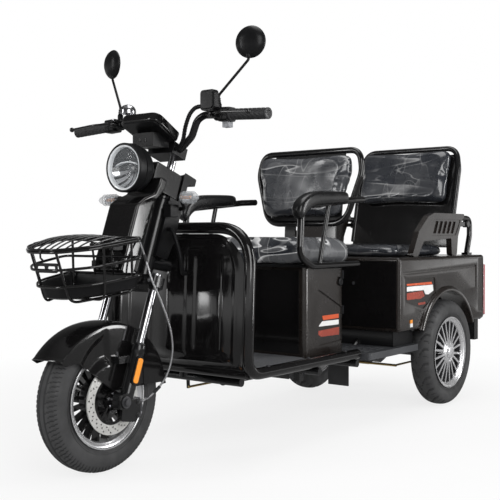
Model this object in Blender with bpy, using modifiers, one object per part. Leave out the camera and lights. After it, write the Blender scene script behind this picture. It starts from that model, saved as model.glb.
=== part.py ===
"""Electric tricycle with a front basket, a driver's seat over the battery box and a rear passenger seat
on a small cargo body.

The tricycle faces -Y, its left side is +X and it stands on z = 0. Stations along Y are measured from the
front axle, and one empty shifts the whole tricycle so that the origin is under its middle.
"""

import math

import bmesh
import bpy
from mathutils import Matrix, Vector

# Fits, in metres like every size below
GAP = 0.0003
RUNNING_GAP = 0.001

# Wheels
WHEELBASE = 1.548
REAR_TRACK = 0.620
TYRE_RADIUS = 0.207
TYRE_WIDTH = 0.084
TYRE_WALL = 0.010
BEAD_RADIUS = 0.127
FLANGE_HEIGHT = 0.013
FLANGE_THICKNESS = 0.005
RIM_WIDTH = 0.079
RIM_WALL = 0.005
SPOKE_COUNT = 12
SPOKE_WIDTH = 0.013
SPOKE_DEPTH = 0.016
WHEEL_STEPS = 24
FRONT_HUB_RADIUS = 0.030
FRONT_HUB_HALF = 0.046
REAR_HUB_RADIUS = 0.034
REAR_HUB_OUT = 0.044
REAR_SPOKE_OUT = 0.022
BRAKE_DRUM_RADIUS = 0.068
BRAKE_DRUM_HALF = 0.032
BRAKE_DRUM_WALL = 0.006
AXLE_RADIUS = 0.007
STUB_RADIUS = 0.011
DISC_RADIUS = 0.097
DISC_BAND = 0.036
DISC_THICKNESS = 0.004
DISC_CENTRE_X = 0.053
DISC_ARMS = 5
DISC_STEPS = 16
CALIPER_BACK_Y = 0.100
HOSE_RADIUS = 0.003

# Steering column and fork, measured along and across the raked steering axis
RAKE = math.radians(20.0)
AXIS_BEHIND_AXLE = 0.055
FORK_OFFSET = 0.035
FORK_HALF_SPACING = 0.087
STANCHION_RADIUS = 0.0125
STANCHION_LOW = 0.055
LOWER_LEG_RADIUS = 0.0185
LOWER_LEG_TOP = 0.148
LOWER_LEG_FOOT = -0.028
FORK_TRAVEL = 0.045
CROWN_LOW = 0.318
CROWN_THICKNESS = 0.032
CROWN_REACH = 0.024
HEAD_RADIUS = 0.0235
HEAD_LENGTH = 0.262
NECK_UP = 0.408
STEERER_RADIUS = 0.0125
STEERER_TOP = 0.733
PANEL_HALF_WIDTH = 0.060
PANEL_FRONT = 0.150
PANEL_DEPTH = 0.055
BRIDGE_HALF_WIDTH = 0.030
BRIDGE_HEIGHT = 0.080
BRIDGE_FRONT = 0.087
BRIDGE_BACK = 0.033
COVER_HALF_WIDTH = 0.036
COVER_BACK = 0.055
COVER_LOW = 0.424
COVER_TOP = 0.706
HOOK_REACH = 0.032
SIGNAL_BAR_BACK = 0.040
SIGNAL_BAR_RADIUS = 0.006
LOOM_RADIUS = 0.0062

# Headlight
LAMP_RADIUS = 0.072
LAMP_DEPTH = 0.082
LAMP_WALL = 0.005
LAMP_FRONT_Y = 0.098
LAMP_Z = 0.864
LAMP_STEPS = 14
LAMP_LUG_RADIUS = 0.009
LAMP_LUG_WIDTH = 0.020

# Handlebar and what is on it
BAR_RADIUS = 0.011
BAR_HALF_WIDTH = 0.393
BAR_AHEAD = 0.030
BAR_UP = 0.752
BAR_RISE = 0.100
BAR_DROP = 0.016
BAR_SWEEP = 0.012
CLAMP_HALF_WIDTH = 0.052
CLAMP_HEIGHT = 0.036
CLAMP_DEPTH = 0.062
GRIP_RADIUS = 0.0165
GRIP_LENGTH = 0.140
GRIP_STEPS = 12
POD_LENGTH = 0.036
POD_SIZE = 0.042
PERCH_LENGTH = 0.020
LEVER_RADIUS = 0.005
LEVER_REACH = 0.064
LEVER_LENGTH = 0.160
LEVER_EYE = 0.008
MIRROR_RADIUS = 0.0475
MIRROR_DEPTH = 0.020
MIRROR_STEM_RADIUS = 0.004
MIRROR_X = 0.286
MIRROR_Y = 0.329
MIRROR_Z = 1.230
MIRROR_TURN = math.radians(15.0)
DASH_HALF_WIDTH = 0.078
DASH_DEPTH = 0.122
DASH_THICKNESS = 0.030
DASH_TILT = math.radians(28.0)
DASH_Y = 0.208
DASH_Z = 0.987
DASH_POST_RADIUS = 0.013
BELL_RADIUS = 0.026
BELL_X = 0.163
ACCESSORY_HALF_WIDTH = 0.027

# Basket
BASKET_FRONT_Y = -0.200
BASKET_BACK_Y = 0.014
BASKET_TOP_Z = 0.622
BASKET_DROP = 0.142
BASKET_TILT = math.radians(9.0)
BASKET_NOSE_HALF = 0.055
BASKET_HALF_WIDTH = 0.168
BASKET_WIRE = 0.0032
BASKET_SLAT_COUNT = 11
BASKET_TAPER = 0.82
LATCH_REACH = 0.011

# Front fender
FENDER_GAP = 0.014
FENDER_HALF_WIDTH = 0.060
FENDER_WALL = 0.003
FENDER_SHOULDER = 2 / 3
STAY_REACH = 0.064

# Guard hoop, leg shield and floor
HOOP_RADIUS = 0.0175
HOOP_BAR_RADIUS = 0.014
HOOP_HALF_WIDTH = 0.282
HOOP_TOP_Z = 0.690
HOOP_LOW_Y = 0.318
HOOP_TOP_Y = 0.338
RAIL_Z = 0.257
RAIL_END_Y = 0.940
SHIELD_WALL = 0.004
SHIELD_BULGE = 0.050
SPINE_WIDTH = 0.060
CHASSIS_RADIUS = 0.016
CHASSIS_HALF_SPACING = 0.150
CROSS_RADIUS = 0.014
DOWN_TUBE_RADIUS = 0.020
FLOOR_FRONT_Y = 0.345
FLOOR_THICKNESS = 0.020
MAT_THICKNESS = 0.005
MAT_RIB = 0.004
MAT_PITCH = 0.036
MAT_HALF_WIDTH = 0.234
KICK_RISE = 0.100
STEP_HALF_WIDTH = 0.325

# Driver's seat
BOX_FRONT_Y = 0.705
BOX_LENGTH = 0.245
BOX_HALF_WIDTH = 0.222
BOX_HEIGHT = 0.300
BOX_WALL = 0.004
BOX_EDGE = 0.008
BATTERY_LENGTH = 0.200
BATTERY_HALF_WIDTH = 0.180
BATTERY_HEIGHT = 0.190
PAN_THICKNESS = 0.010
PAN_HALF_WIDTH = 0.239
PAN_FRONT_LIP = 0.020
PAN_LENGTH = 0.335
CUSHION_HEIGHT = 0.090
CUSHION_LENGTH = 0.370
CUSHION_AHEAD = 0.025
CUSHION_SIDE_GAP = 0.0055
BACK_Y = 1.040
BACK_LOW_Z = 0.712
BACK_HEIGHT = 0.268
BACK_HALF_TOP = 0.224
BACK_HALF_LOW = 0.172
BACK_LEAN = math.radians(7.0)
BACK_TUBE = 0.0115
PAD_THICKNESS = 0.058
PAD_EDGE_GAP = 0.002
PAD_SINK = 0.2
BRACKET_X = 0.090
BRACKET_WIDTH = 0.048
BRACKET_WALL = 0.006
ARM_X = 0.247
ARM_TUBE = 0.0115
ARM_FRONT_Y = 0.640
ARM_TOP_Z = 0.792
ARM_PAD_LENGTH = 0.285
ARM_PAD_HALF_WIDTH = 0.025
ARM_PAD_SIDES = 8

# Cargo body and passenger seat
CARGO_AHEAD = 0.398
CARGO_BEHIND = 0.357
CARGO_HALF_WIDTH = 0.335
CARGO_LOW_Z = 0.315
CARGO_TOP_Z = 0.586
CARGO_WALL = 0.004
CARGO_EDGE = 0.012
ARCH_GAP = 0.033
ARCH_LIP = 0.022
ARCH_FLARE = 0.011
TUB_FLOOR_Z = 0.458
TUB_HALF_WIDTH = 0.225
TUB_FRONT = 0.150
TUB_BACK = 0.185
BENCH_HALF_WIDTH = 0.245
BENCH_FRONT = 0.125
BENCH_LENGTH = 0.470
BENCH_HEIGHT = 0.046
REAR_BACK_Y = 1.772
REAR_BACK_LOW_Z = 0.618
REAR_BACK_HEIGHT = 0.440
REAR_BACK_HALF = 0.236
REAR_PAD_HEIGHT = 0.245
REAR_LEAN = math.radians(14.0)
REAR_HINGE_Y = 1.848
REAR_HINGE_Z = 0.716
REAR_ARM_X = 0.277
REAR_ARM_WIDTH = 0.024
REAR_ARM_TOP_Z = 0.758
TAIL_LIGHT_DEPTH = 0.022
TAIL_LIGHT_HEIGHT = 0.220
TAIL_LIGHT_WIDTH = 0.060

# Rear axle
AXLE_TUBE_RADIUS = 0.026
GEARCASE_RADIUS = 0.068
MOTOR_RADIUS = 0.062
MOTOR_LENGTH = 0.150
BACKING_PLATE_RADIUS = 0.070
SHOCK_X = 0.190
SHOCK_ROD_RADIUS = 0.014
SHOCK_TUBE_RADIUS = 0.021
REAR_TRAVEL = 0.030

# Foot brake
PEDAL_X = -0.110
PEDAL_Y = 0.500
PEDAL_ARM = 0.110
PEDAL_CRANK = 0.062
PEDAL_TUBE = 0.006
PEDAL_PIN = 0.006
PEDAL_BOSS_RADIUS = 0.0115
PEDAL_BOSS_HALF = 0.0085
ROD_RADIUS = 0.004
EQUALISER_AHEAD = 0.190
EQUALISER_HALF = 0.210
DRUM_ROD_X = 0.204

# Worked out from the sizes above
REAR_AXLE_Y = WHEELBASE
WHEEL_X = REAR_TRACK / 2
CROWN_TOP = CROWN_LOW + CROWN_THICKNESS
HEAD_LOW = CROWN_TOP + RUNNING_GAP / 2
HEAD_TOP = HEAD_LOW + HEAD_LENGTH
BRIDGE_LOW = HEAD_TOP + RUNNING_GAP
BRIDGE_TOP = BRIDGE_LOW + BRIDGE_HEIGHT
CHASSIS_Z = RAIL_Z - HOOP_RADIUS - GAP - CROSS_RADIUS
ROD_Z = CHASSIS_Z - PEDAL_CRANK
ROD_X = PEDAL_X + PEDAL_TUBE + GAP + ROD_RADIUS
FLOOR_LOW_Z = CHASSIS_Z + CHASSIS_RADIUS + GAP
FLOOR_TOP_Z = FLOOR_LOW_Z + FLOOR_THICKNESS
BOX_LOW_Z = FLOOR_TOP_Z + GAP
BOX_TOP_Z = BOX_LOW_Z + BOX_HEIGHT
BOX_BACK_Y = BOX_FRONT_Y + BOX_LENGTH
PAN_LOW_Z = BOX_TOP_Z + GAP
CUSHION_LOW_Z = PAN_LOW_Z + PAN_THICKNESS + GAP
CARGO_FRONT_Y = REAR_AXLE_Y - CARGO_AHEAD
CARGO_BACK_Y = REAR_AXLE_Y + CARGO_BEHIND
TUB_FRONT_Y = CARGO_FRONT_Y + TUB_FRONT
TUB_BACK_Y = CARGO_BACK_Y - TUB_BACK
BENCH_FRONT_Y = CARGO_FRONT_Y + BENCH_FRONT
STEP_FRONT_Y = BOX_BACK_Y + 0.006
STEP_BACK_Y = REAR_AXLE_Y - TYRE_RADIUS - 0.018
MIDDLE_Y = (BASKET_FRONT_Y - LATCH_REACH - BASKET_WIRE + CARGO_BACK_Y + TAIL_LIGHT_DEPTH) / 2

# Frames: local X, Y, Z of an outline lie along world Y, Z, X, and a raked frame has Y back and Z up the axis
SIDE_VIEW = Matrix(((0, 0, 1, 0), (1, 0, 0, 0), (0, 1, 0, 0), (0, 0, 0, 1)))
STEER = Matrix.Translation((0, AXIS_BEHIND_AXLE, TYRE_RADIUS)) @ Matrix.Rotation(-RAKE, 4, "X")
ALONG_X = Matrix.Rotation(math.radians(90), 4, "Y")

PARTS = None
HELPERS = None
PIVOTS = {}
MATERIALS = {}


def clear_scene():
    for obj in list(bpy.data.objects):
        bpy.data.objects.remove(obj, do_unlink=True)


def make_collection(name):
    collection = bpy.data.collections.new(name)
    bpy.context.scene.collection.children.link(collection)
    return collection


def make_material(name, colour, roughness, metallic=0.0):
    material = bpy.data.materials.new(name)
    material.use_nodes = True
    shader = material.node_tree.nodes["Principled BSDF"]
    shader.inputs["Base Color"].default_value = (*colour, 1.0)
    shader.inputs["Roughness"].default_value = roughness
    shader.inputs["Metallic"].default_value = metallic
    return material


def make_materials():
    finishes = {
        "gloss_black": ((0.012, 0.011, 0.011), 0.12, 0.0),
        "brown_black": ((0.035, 0.030, 0.027), 0.20, 0.0),
        "matt_black": ((0.020, 0.020, 0.021), 0.55, 0.0),
        "frame_black": ((0.014, 0.014, 0.015), 0.28, 0.0),
        "step_grey": ((0.070, 0.072, 0.078), 0.45, 0.3),
        "chrome": ((0.80, 0.80, 0.82), 0.08, 1.0),
        "alloy": ((0.62, 0.62, 0.63), 0.25, 1.0),
        "tyre_rubber": ((0.030, 0.030, 0.031), 0.75, 0.0),
        "grip_rubber": ((0.022, 0.022, 0.023), 0.70, 0.0),
        "mat_rubber": ((0.110, 0.112, 0.116), 0.70, 0.0),
        "seat_vinyl": ((0.030, 0.033, 0.043), 0.40, 0.0),
        "lens_clear": ((0.85, 0.87, 0.90), 0.05, 0.0),
        "lens_red": ((0.55, 0.02, 0.02), 0.15, 0.0),
        "button_grey": ((0.30, 0.31, 0.33), 0.45, 0.0),
        "battery_case": ((0.05, 0.09, 0.16), 0.50, 0.0),
        "hose_silver": ((0.55, 0.55, 0.56), 0.35, 0.8),
        "yellow_zinc": ((0.60, 0.45, 0.20), 0.35, 1.0),
        "castings": ((0.10, 0.10, 0.105), 0.50, 0.6),
    }
    for name, (colour, roughness, metallic) in finishes.items():
        MATERIALS[name] = make_material(name, colour, roughness, metallic)


def add_object(name, data, material, frame=None):
    obj = bpy.data.objects.new(name, data)
    PARTS.objects.link(obj)
    data.materials.append(MATERIALS[material])
    if frame is not None:
        obj.matrix_world = frame
    return obj


def smooth(obj, degrees=35):
    obj.data.shade_smooth()
    obj.data.set_sharp_from_angle(angle=math.radians(degrees))
    return obj


def add_bevel(obj, width, segments=1, degrees=40):
    bevel = obj.modifiers.new("Rounded edges", "BEVEL")
    bevel.width = width
    bevel.segments = segments
    bevel.limit_method = "ANGLE"
    bevel.angle_limit = math.radians(degrees)
    return obj


def box(name, low, high, material, bevel=0.0, frame=None, segments=1):
    """A box between two corners, with rounded edges where a bevel is given."""
    low = Vector(low)
    high = Vector(high)
    shape = bmesh.new()
    bmesh.ops.create_cube(shape, size=1.0)
    bmesh.ops.scale(shape, vec=high - low, verts=shape.verts)
    bmesh.ops.translate(shape, vec=(low + high) / 2, verts=shape.verts)
    mesh = bpy.data.meshes.new(name)
    shape.to_mesh(mesh)
    shape.free()
    obj = add_object(name, mesh, material, frame)
    if bevel:
        add_bevel(obj, bevel, segments)
    return obj


def turned(name, profile, frame, material, steps=20, ring=False):
    """A profile of (radius, height) points turned about the frame's Z; a ring's profile closes on itself."""
    mesh = bpy.data.meshes.new(name)
    edges = [(i, i + 1) for i in range(len(profile) - 1)]
    if ring:
        edges.append((len(profile) - 1, 0))
    mesh.from_pydata([(radius, 0, height) for radius, height in profile], edges, [])
    obj = add_object(name, mesh, material, frame)
    turn = obj.modifiers.new("Turn", "SCREW")
    turn.axis = "Z"
    turn.steps = steps
    turn.render_steps = steps
    turn.use_merge_vertices = True
    turn.merge_threshold = 0.0001
    turn.use_smooth_shade = True
    return obj


def drum(name, radius, low, high, frame, material, steps=16, bore=0.0):
    """A cylinder along the frame's Z from low to high, with a bore where one is given."""
    if bore:
        profile = [(radius, high), (radius, low), (bore, low), (bore, high)]
        return turned(name, profile, frame, material, steps, ring=True)
    profile = [(0.0, high), (radius, high), (radius, low), (0.0, low)]
    return turned(name, profile, frame, material, steps)


def tube(name, points, radius, material, resolution=2, closed=False):
    """A round tube along points; resolution 1, 2 and 3 give 6, 8 and 10 sides."""
    curve = bpy.data.curves.new(name, "CURVE")
    curve.dimensions = "3D"
    curve.bevel_depth = radius
    curve.bevel_resolution = resolution
    curve.use_fill_caps = True
    spline = curve.splines.new("POLY")
    spline.points.add(len(points) - 1)
    for index, point in enumerate(points):
        spline.points[index].co = (*point, 1.0)
    spline.use_cyclic_u = closed
    return add_object(name, curve, material)


def plate(name, outline, thickness, frame, material, bevel=0.0):
    """A flat outline in the frame's XY, as thick as given about its plane, with rounded edges."""
    curve = bpy.data.curves.new(name, "CURVE")
    curve.dimensions = "2D"
    curve.fill_mode = "BOTH"
    curve.extrude = thickness / 2
    spline = curve.splines.new("POLY")
    spline.points.add(len(outline) - 1)
    for index, point in enumerate(outline):
        spline.points[index].co = (point[0], point[1], 0.0, 1.0)
    spline.use_cyclic_u = True
    obj = solid(add_object(name, curve, material, frame))
    if bevel:
        add_bevel(obj, bevel)
    return obj


def solid(obj):
    """The object made a plain closed mesh, so that it can be cut, joined or bevelled."""
    bpy.context.view_layer.update()
    graph = bpy.context.evaluated_depsgraph_get()
    mesh = bpy.data.meshes.new_from_object(obj.evaluated_get(graph))
    shape = bmesh.new()
    shape.from_mesh(mesh)
    bmesh.ops.remove_doubles(shape, verts=shape.verts, dist=0.00001)
    bmesh.ops.recalc_face_normals(shape, faces=shape.faces)
    shape.to_mesh(mesh)
    shape.free()
    name = obj.name
    frame = obj.matrix_world.copy()
    bpy.data.objects.remove(obj, do_unlink=True)
    made = bpy.data.objects.new(name, mesh)
    PARTS.objects.link(made)
    made.matrix_world = frame
    return made


def helper_group(name, pieces):
    """The pieces moved to a hidden collection that a Boolean reads."""
    group = bpy.data.collections.new(name)
    HELPERS.children.link(group)
    for piece in pieces:
        if piece.type != "MESH":
            piece = solid(piece)
        PARTS.objects.unlink(piece)
        group.objects.link(piece)
        piece.hide_render = True
        piece.display_type = "WIRE"
    return group


def combine(obj, pieces, operation, label):
    if obj.type != "MESH":
        obj = solid(obj)
    boolean = obj.modifiers.new(label, "BOOLEAN")
    boolean.operand_type = "COLLECTION"
    boolean.collection = helper_group(obj.name + "_" + label, pieces)
    boolean.operation = operation
    boolean.solver = "EXACT"
    return obj


def join(obj, pieces, label="joined"):
    return combine(obj, pieces, "UNION", label)


def cut(obj, pieces, label="cut"):
    return combine(obj, pieces, "DIFFERENCE", label)


def rounded(corners, radii, steps=4, closed=False):
    """The corners joined by straight runs, each corner turned with its own radius."""
    count = len(corners)
    points = []
    for index, corner in enumerate(corners):
        corner = Vector(corner)
        end = index in (0, count - 1) and not closed
        if end or not radii[index]:
            points.append(corner)
            continue
        back = Vector(corners[index - 1]) - corner
        ahead = Vector(corners[(index + 1) % count]) - corner
        half = back.angle(ahead) / 2
        run = min(radii[index] / math.tan(half), 0.49 * back.length, 0.49 * ahead.length)
        start = corner + back.normalized() * run
        finish = corner + ahead.normalized() * run
        for step in range(steps + 1):
            part = step / steps
            points.append(start.lerp(corner, part).lerp(corner.lerp(finish, part), part))
    return points


def smooth_route(points, steps):
    """A smooth curve through the points, each run between two points in as many steps."""
    points = [Vector(point) for point in points]
    ends = [2 * points[0] - points[1], *points, 2 * points[-1] - points[-2]]
    route = []
    for index in range(1, len(ends) - 2):
        before, start, finish, after = ends[index - 1 : index + 3]
        for step in range(steps):
            t = step / steps
            linear = (finish - before) * t
            square = (2 * before - 5 * start + 4 * finish - after) * t**2
            cube = (3 * start - before - 3 * finish + after) * t**3
            route.append((2 * start + linear + square + cube) / 2)
    route.append(points[-1])
    return route


def square_ended(start, points, end, steps=2):
    """A smooth curve through the points, with a straight run square to what it meets at each end."""
    return [Vector(start), *smooth_route(points, steps), Vector(end)]


def mirrored(points):
    return [Vector((-point[0], point[1], point[2])) for point in points]


def loft(name, rings, material, frame=None):
    """A closed skin over rings of as many points each, with flat ends."""
    shape = bmesh.new()
    made = [[shape.verts.new(point) for point in ring] for ring in rings]
    count = len(rings[0])
    for first, second in zip(made, made[1:]):
        for index in range(count):
            after = (index + 1) % count
            shape.faces.new((first[index], first[after], second[after], second[index]))
    shape.faces.new(made[0])
    shape.faces.new(made[-1])
    bmesh.ops.recalc_face_normals(shape, faces=shape.faces)
    mesh = bpy.data.meshes.new(name)
    shape.to_mesh(mesh)
    shape.free()
    return add_object(name, mesh, material, frame)


def bore_radius(radius, steps, gap=GAP):
    """The radius of a faceted bore that clears a round shaft of the radius by the gap everywhere."""
    return (radius + gap) / math.cos(math.pi / steps)


def axis_frame(origin, direction):
    """A frame whose Z runs along the direction."""
    turn = Vector(direction).to_track_quat("Z", "Y").to_matrix().to_4x4()
    return Matrix.Translation(origin) @ turn


def steer_point(x, ahead, up):
    return STEER @ Vector((x, -ahead, up))


def make_pivot(name, location, parent=None):
    """An empty on a joint's axis, which what moves with the joint is parented to."""
    pivot = bpy.data.objects.new(name + "_pivot", None)
    PARTS.objects.link(pivot)
    origin = Vector(location)
    pivot.location = origin - (PIVOTS[parent][1] if parent else Vector((0, 0, 0)))
    if parent:
        pivot.parent = PIVOTS[parent][0]
    PIVOTS[name] = (pivot, origin)


def carry(pivot, *pieces):
    """Hangs pieces, and what their Booleans read, on a pivot without moving them."""
    empty, origin = PIVOTS[pivot]
    for piece in pieces:
        group = [piece]
        for modifier in piece.modifiers:
            if modifier.type == "BOOLEAN":
                group.extend(with_helpers(modifier.collection))
        for each in group:
            each.parent = empty
            each.matrix_parent_inverse = Matrix.Translation(-origin)


def with_helpers(group):
    found = []
    for piece in group.objects:
        found.append(piece)
        for modifier in piece.modifiers:
            if modifier.type == "BOOLEAN":
                found.extend(with_helpers(modifier.collection))
    return found


def make_pivots():
    make_pivot("tricycle", (0, 0, 0))
    make_pivot("steering", steer_point(0, 0, HEAD_TOP), "tricycle")
    make_pivot("fork_slide", steer_point(0, FORK_OFFSET, 0), "steering")
    make_pivot("front_wheel", (0, 0, TYRE_RADIUS), "fork_slide")
    make_pivot("headlight_tilt", lamp_hinge(), "steering")
    make_pivot("basket_lid_hinge", basket_point(0, BASKET_BACK_Y, 0), "steering")
    left, outward = bar_run(1)
    right, right_outward = bar_run(-1)
    make_pivot("throttle", right, "steering")
    make_pivot("left_lever", lever_pivot(1), "steering")
    make_pivot("right_lever", lever_pivot(-1), "steering")
    make_pivot("left_mirror", mirror_base(1), "steering")
    make_pivot("right_mirror", mirror_base(-1), "steering")
    make_pivot("horn", left, "steering")
    make_pivot("rear_axle", (0, REAR_AXLE_Y, TYRE_RADIUS), "tricycle")
    make_pivot("left_wheel", (WHEEL_X, REAR_AXLE_Y, TYRE_RADIUS), "rear_axle")
    make_pivot("right_wheel", (-WHEEL_X, REAR_AXLE_Y, TYRE_RADIUS), "rear_axle")
    make_pivot("driver_seat", (0, BOX_FRONT_Y - 0.005, BOX_TOP_Z), "tricycle")
    make_pivot("bench", (0, BENCH_FRONT_Y, CARGO_TOP_Z), "tricycle")
    make_pivot("rear_backrest", (0, REAR_HINGE_Y, REAR_HINGE_Z), "tricycle")
    make_pivot("pedal", (PEDAL_X, PEDAL_Y, CHASSIS_Z), "tricycle")
    make_pivot("brake_rod", (ROD_X, PEDAL_Y, ROD_Z), "tricycle")
    make_pivot("charge_cap", charge_cap_hinge(), "tricycle")
    PIVOTS["tricycle"][0].location.y = -MIDDLE_Y


# Wheels


def tyre_profile():
    half = TYRE_WIDTH / 2
    seat = RIM_WIDTH / 2 - FLANGE_THICKNESS - GAP
    inner = BEAD_RADIUS + GAP
    rim_edge = BEAD_RADIUS + FLANGE_HEIGHT + GAP
    outer = [
        (inner, seat),
        (rim_edge, seat),
        ((rim_edge + TYRE_RADIUS) / 2 - 0.004, half),
        (TYRE_RADIUS - 0.012, half * 0.76),
        (TYRE_RADIUS, half * 0.30),
    ]
    other_side = [(radius, -height) for radius, height in reversed(outer)]
    hollow = [(inner, TYRE_WALL - seat), (TYRE_RADIUS - TYRE_WALL, 0.0), (inner, seat - TYRE_WALL)]
    return outer + other_side + hollow


def rim_profile():
    half = RIM_WIDTH / 2
    seat = half - FLANGE_THICKNESS
    edge = BEAD_RADIUS + FLANGE_HEIGHT
    outer = [(edge, half), (edge, seat), (BEAD_RADIUS, seat)]
    other_side = [(radius, -height) for radius, height in reversed(outer)]
    under = [(BEAD_RADIUS - RIM_WALL, -half), (BEAD_RADIUS - RIM_WALL, half)]
    return outer + other_side + under


def spoke_phase():
    """The angle from the rim's seam to the middle of its second facet."""
    return 1.5 * 2 * math.pi / WHEEL_STEPS


def hub_frame(frame):
    """The wheel's frame turned so that a hub of as many facets as spokes has one facet under each."""
    return frame @ Matrix.Rotation(spoke_phase() - math.pi / SPOKE_COUNT, 4, "Z")


def spokes(name, frame, hub_radius, offset, material):
    """Straight bars from the hub to the rim's barrel, each at the middle of a facet of both."""
    bars = []
    reach = BEAD_RADIUS - RIM_WALL / 2
    for index in range(SPOKE_COUNT):
        turn = Matrix.Rotation(2 * math.pi * index / SPOKE_COUNT + spoke_phase(), 4, "Z")
        low = (hub_radius * 0.85, -SPOKE_WIDTH / 2, offset - SPOKE_DEPTH / 2)
        high = (reach, SPOKE_WIDTH / 2, offset + SPOKE_DEPTH / 2)
        bars.append(box(name + f"_spoke_{index}", low, high, material, frame=frame @ turn))
    return bars


def make_front_wheel():
    frame = Matrix.Translation((0, 0, TYRE_RADIUS)) @ ALONG_X
    bore = AXLE_RADIUS + RUNNING_GAP
    tyre = turned("front_tyre", tyre_profile(), frame, "tyre_rubber", WHEEL_STEPS, ring=True)
    rim = turned("front_rim", rim_profile(), frame, "alloy", WHEEL_STEPS, ring=True)
    hub = drum(
        "front_hub", FRONT_HUB_RADIUS, -FRONT_HUB_HALF, FRONT_HUB_HALF, hub_frame(frame), "alloy",
        SPOKE_COUNT, bore
    )
    rim = join(solid(rim), [hub, *spokes("front", frame, FRONT_HUB_RADIUS, 0.0, "gloss_black")])
    carry("front_wheel", tyre, rim, make_brake_disc(frame))


def make_brake_disc(frame):
    low = DISC_CENTRE_X - DISC_THICKNESS / 2
    high = DISC_CENTRE_X + DISC_THICKNESS / 2
    band = drum(
        "brake_disc", DISC_RADIUS, low, high, frame, "alloy", DISC_STEPS, DISC_RADIUS - DISC_BAND
    )
    bore = AXLE_RADIUS + RUNNING_GAP
    seat = FRONT_HUB_HALF + GAP
    boss = drum("disc_boss", FRONT_HUB_RADIUS * 0.9, seat, high, frame, "alloy", 12, bore)
    arms = [boss]
    for index in range(DISC_ARMS):
        turn = Matrix.Rotation(2 * math.pi * (index + 0.5) / DISC_ARMS, 4, "Z")
        inner = FRONT_HUB_RADIUS * 0.7
        outer = DISC_RADIUS - DISC_BAND / 2
        arm = box(f"disc_arm_{index}", (inner, -0.008, low + 0.0005), (outer, 0.008, high - 0.0005),
                  "alloy",
                  frame=frame @ turn)
        arms.append(arm)
    return join(solid(band), arms)


def make_rear_wheel(side):
    word = "left" if side > 0 else "right"
    centre = Matrix.Translation((side * WHEEL_X, REAR_AXLE_Y, TYRE_RADIUS))
    frame = centre @ Matrix.Rotation(math.radians(90 * side), 4, "Y")
    tyre = turned(f"{word}_rear_tyre", tyre_profile(), frame, "tyre_rubber", WHEEL_STEPS, ring=True)
    rim = turned(f"{word}_rear_rim", rim_profile(), frame, "alloy", WHEEL_STEPS, ring=True)
    bore = STUB_RADIUS + RUNNING_GAP
    top = REAR_HUB_OUT
    cap = top - 0.005
    low = -BRAKE_DRUM_HALF
    face = -BRAKE_DRUM_HALF + 0.038
    hub_profile = [
        (0.0, top), (REAR_HUB_RADIUS, top), (REAR_HUB_RADIUS, face),
        (BRAKE_DRUM_RADIUS, face - 0.004), (BRAKE_DRUM_RADIUS, low),
        (BRAKE_DRUM_RADIUS - BRAKE_DRUM_WALL, low), (BRAKE_DRUM_RADIUS - BRAKE_DRUM_WALL, face - 0.012),
        (bore, face - 0.012), (bore, cap), (0.0, cap),
    ]
    hub = turned(f"{word}_rear_hub", hub_profile, hub_frame(frame), "alloy", SPOKE_COUNT)
    rim = join(solid(rim), [hub, *spokes(word, frame, REAR_HUB_RADIUS, REAR_SPOKE_OUT, "alloy")])
    carry(f"{word}_wheel", tyre, rim)


# Fork, fender and front brake


def make_fork():
    stanchions = []
    for side in (1, -1):
        frame = STEER @ Matrix.Translation((side * FORK_HALF_SPACING, -FORK_OFFSET, 0))
        stanchions.append(
            drum("stanchion", STANCHION_RADIUS, STANCHION_LOW, CROWN_LOW + 0.012, frame, "chrome", 12)
        )
    half = FORK_HALF_SPACING + STANCHION_RADIUS + 0.006
    crown = box(
        "fork_crown",
        (-half, -FORK_OFFSET - CROWN_REACH, CROWN_LOW),
        (half, CROWN_REACH, CROWN_TOP),
        "frame_black", 0.008, STEER,
    )
    steerer = drum("steerer", STEERER_RADIUS, CROWN_LOW + 0.01, STEERER_TOP, STEER, "chrome", 16)
    fork = join(crown, [*stanchions, steerer])
    fork.name = "fork_upper"
    carry("steering", fork)


def axle_point(x):
    return Vector((x, 0, TYRE_RADIUS))


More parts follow.
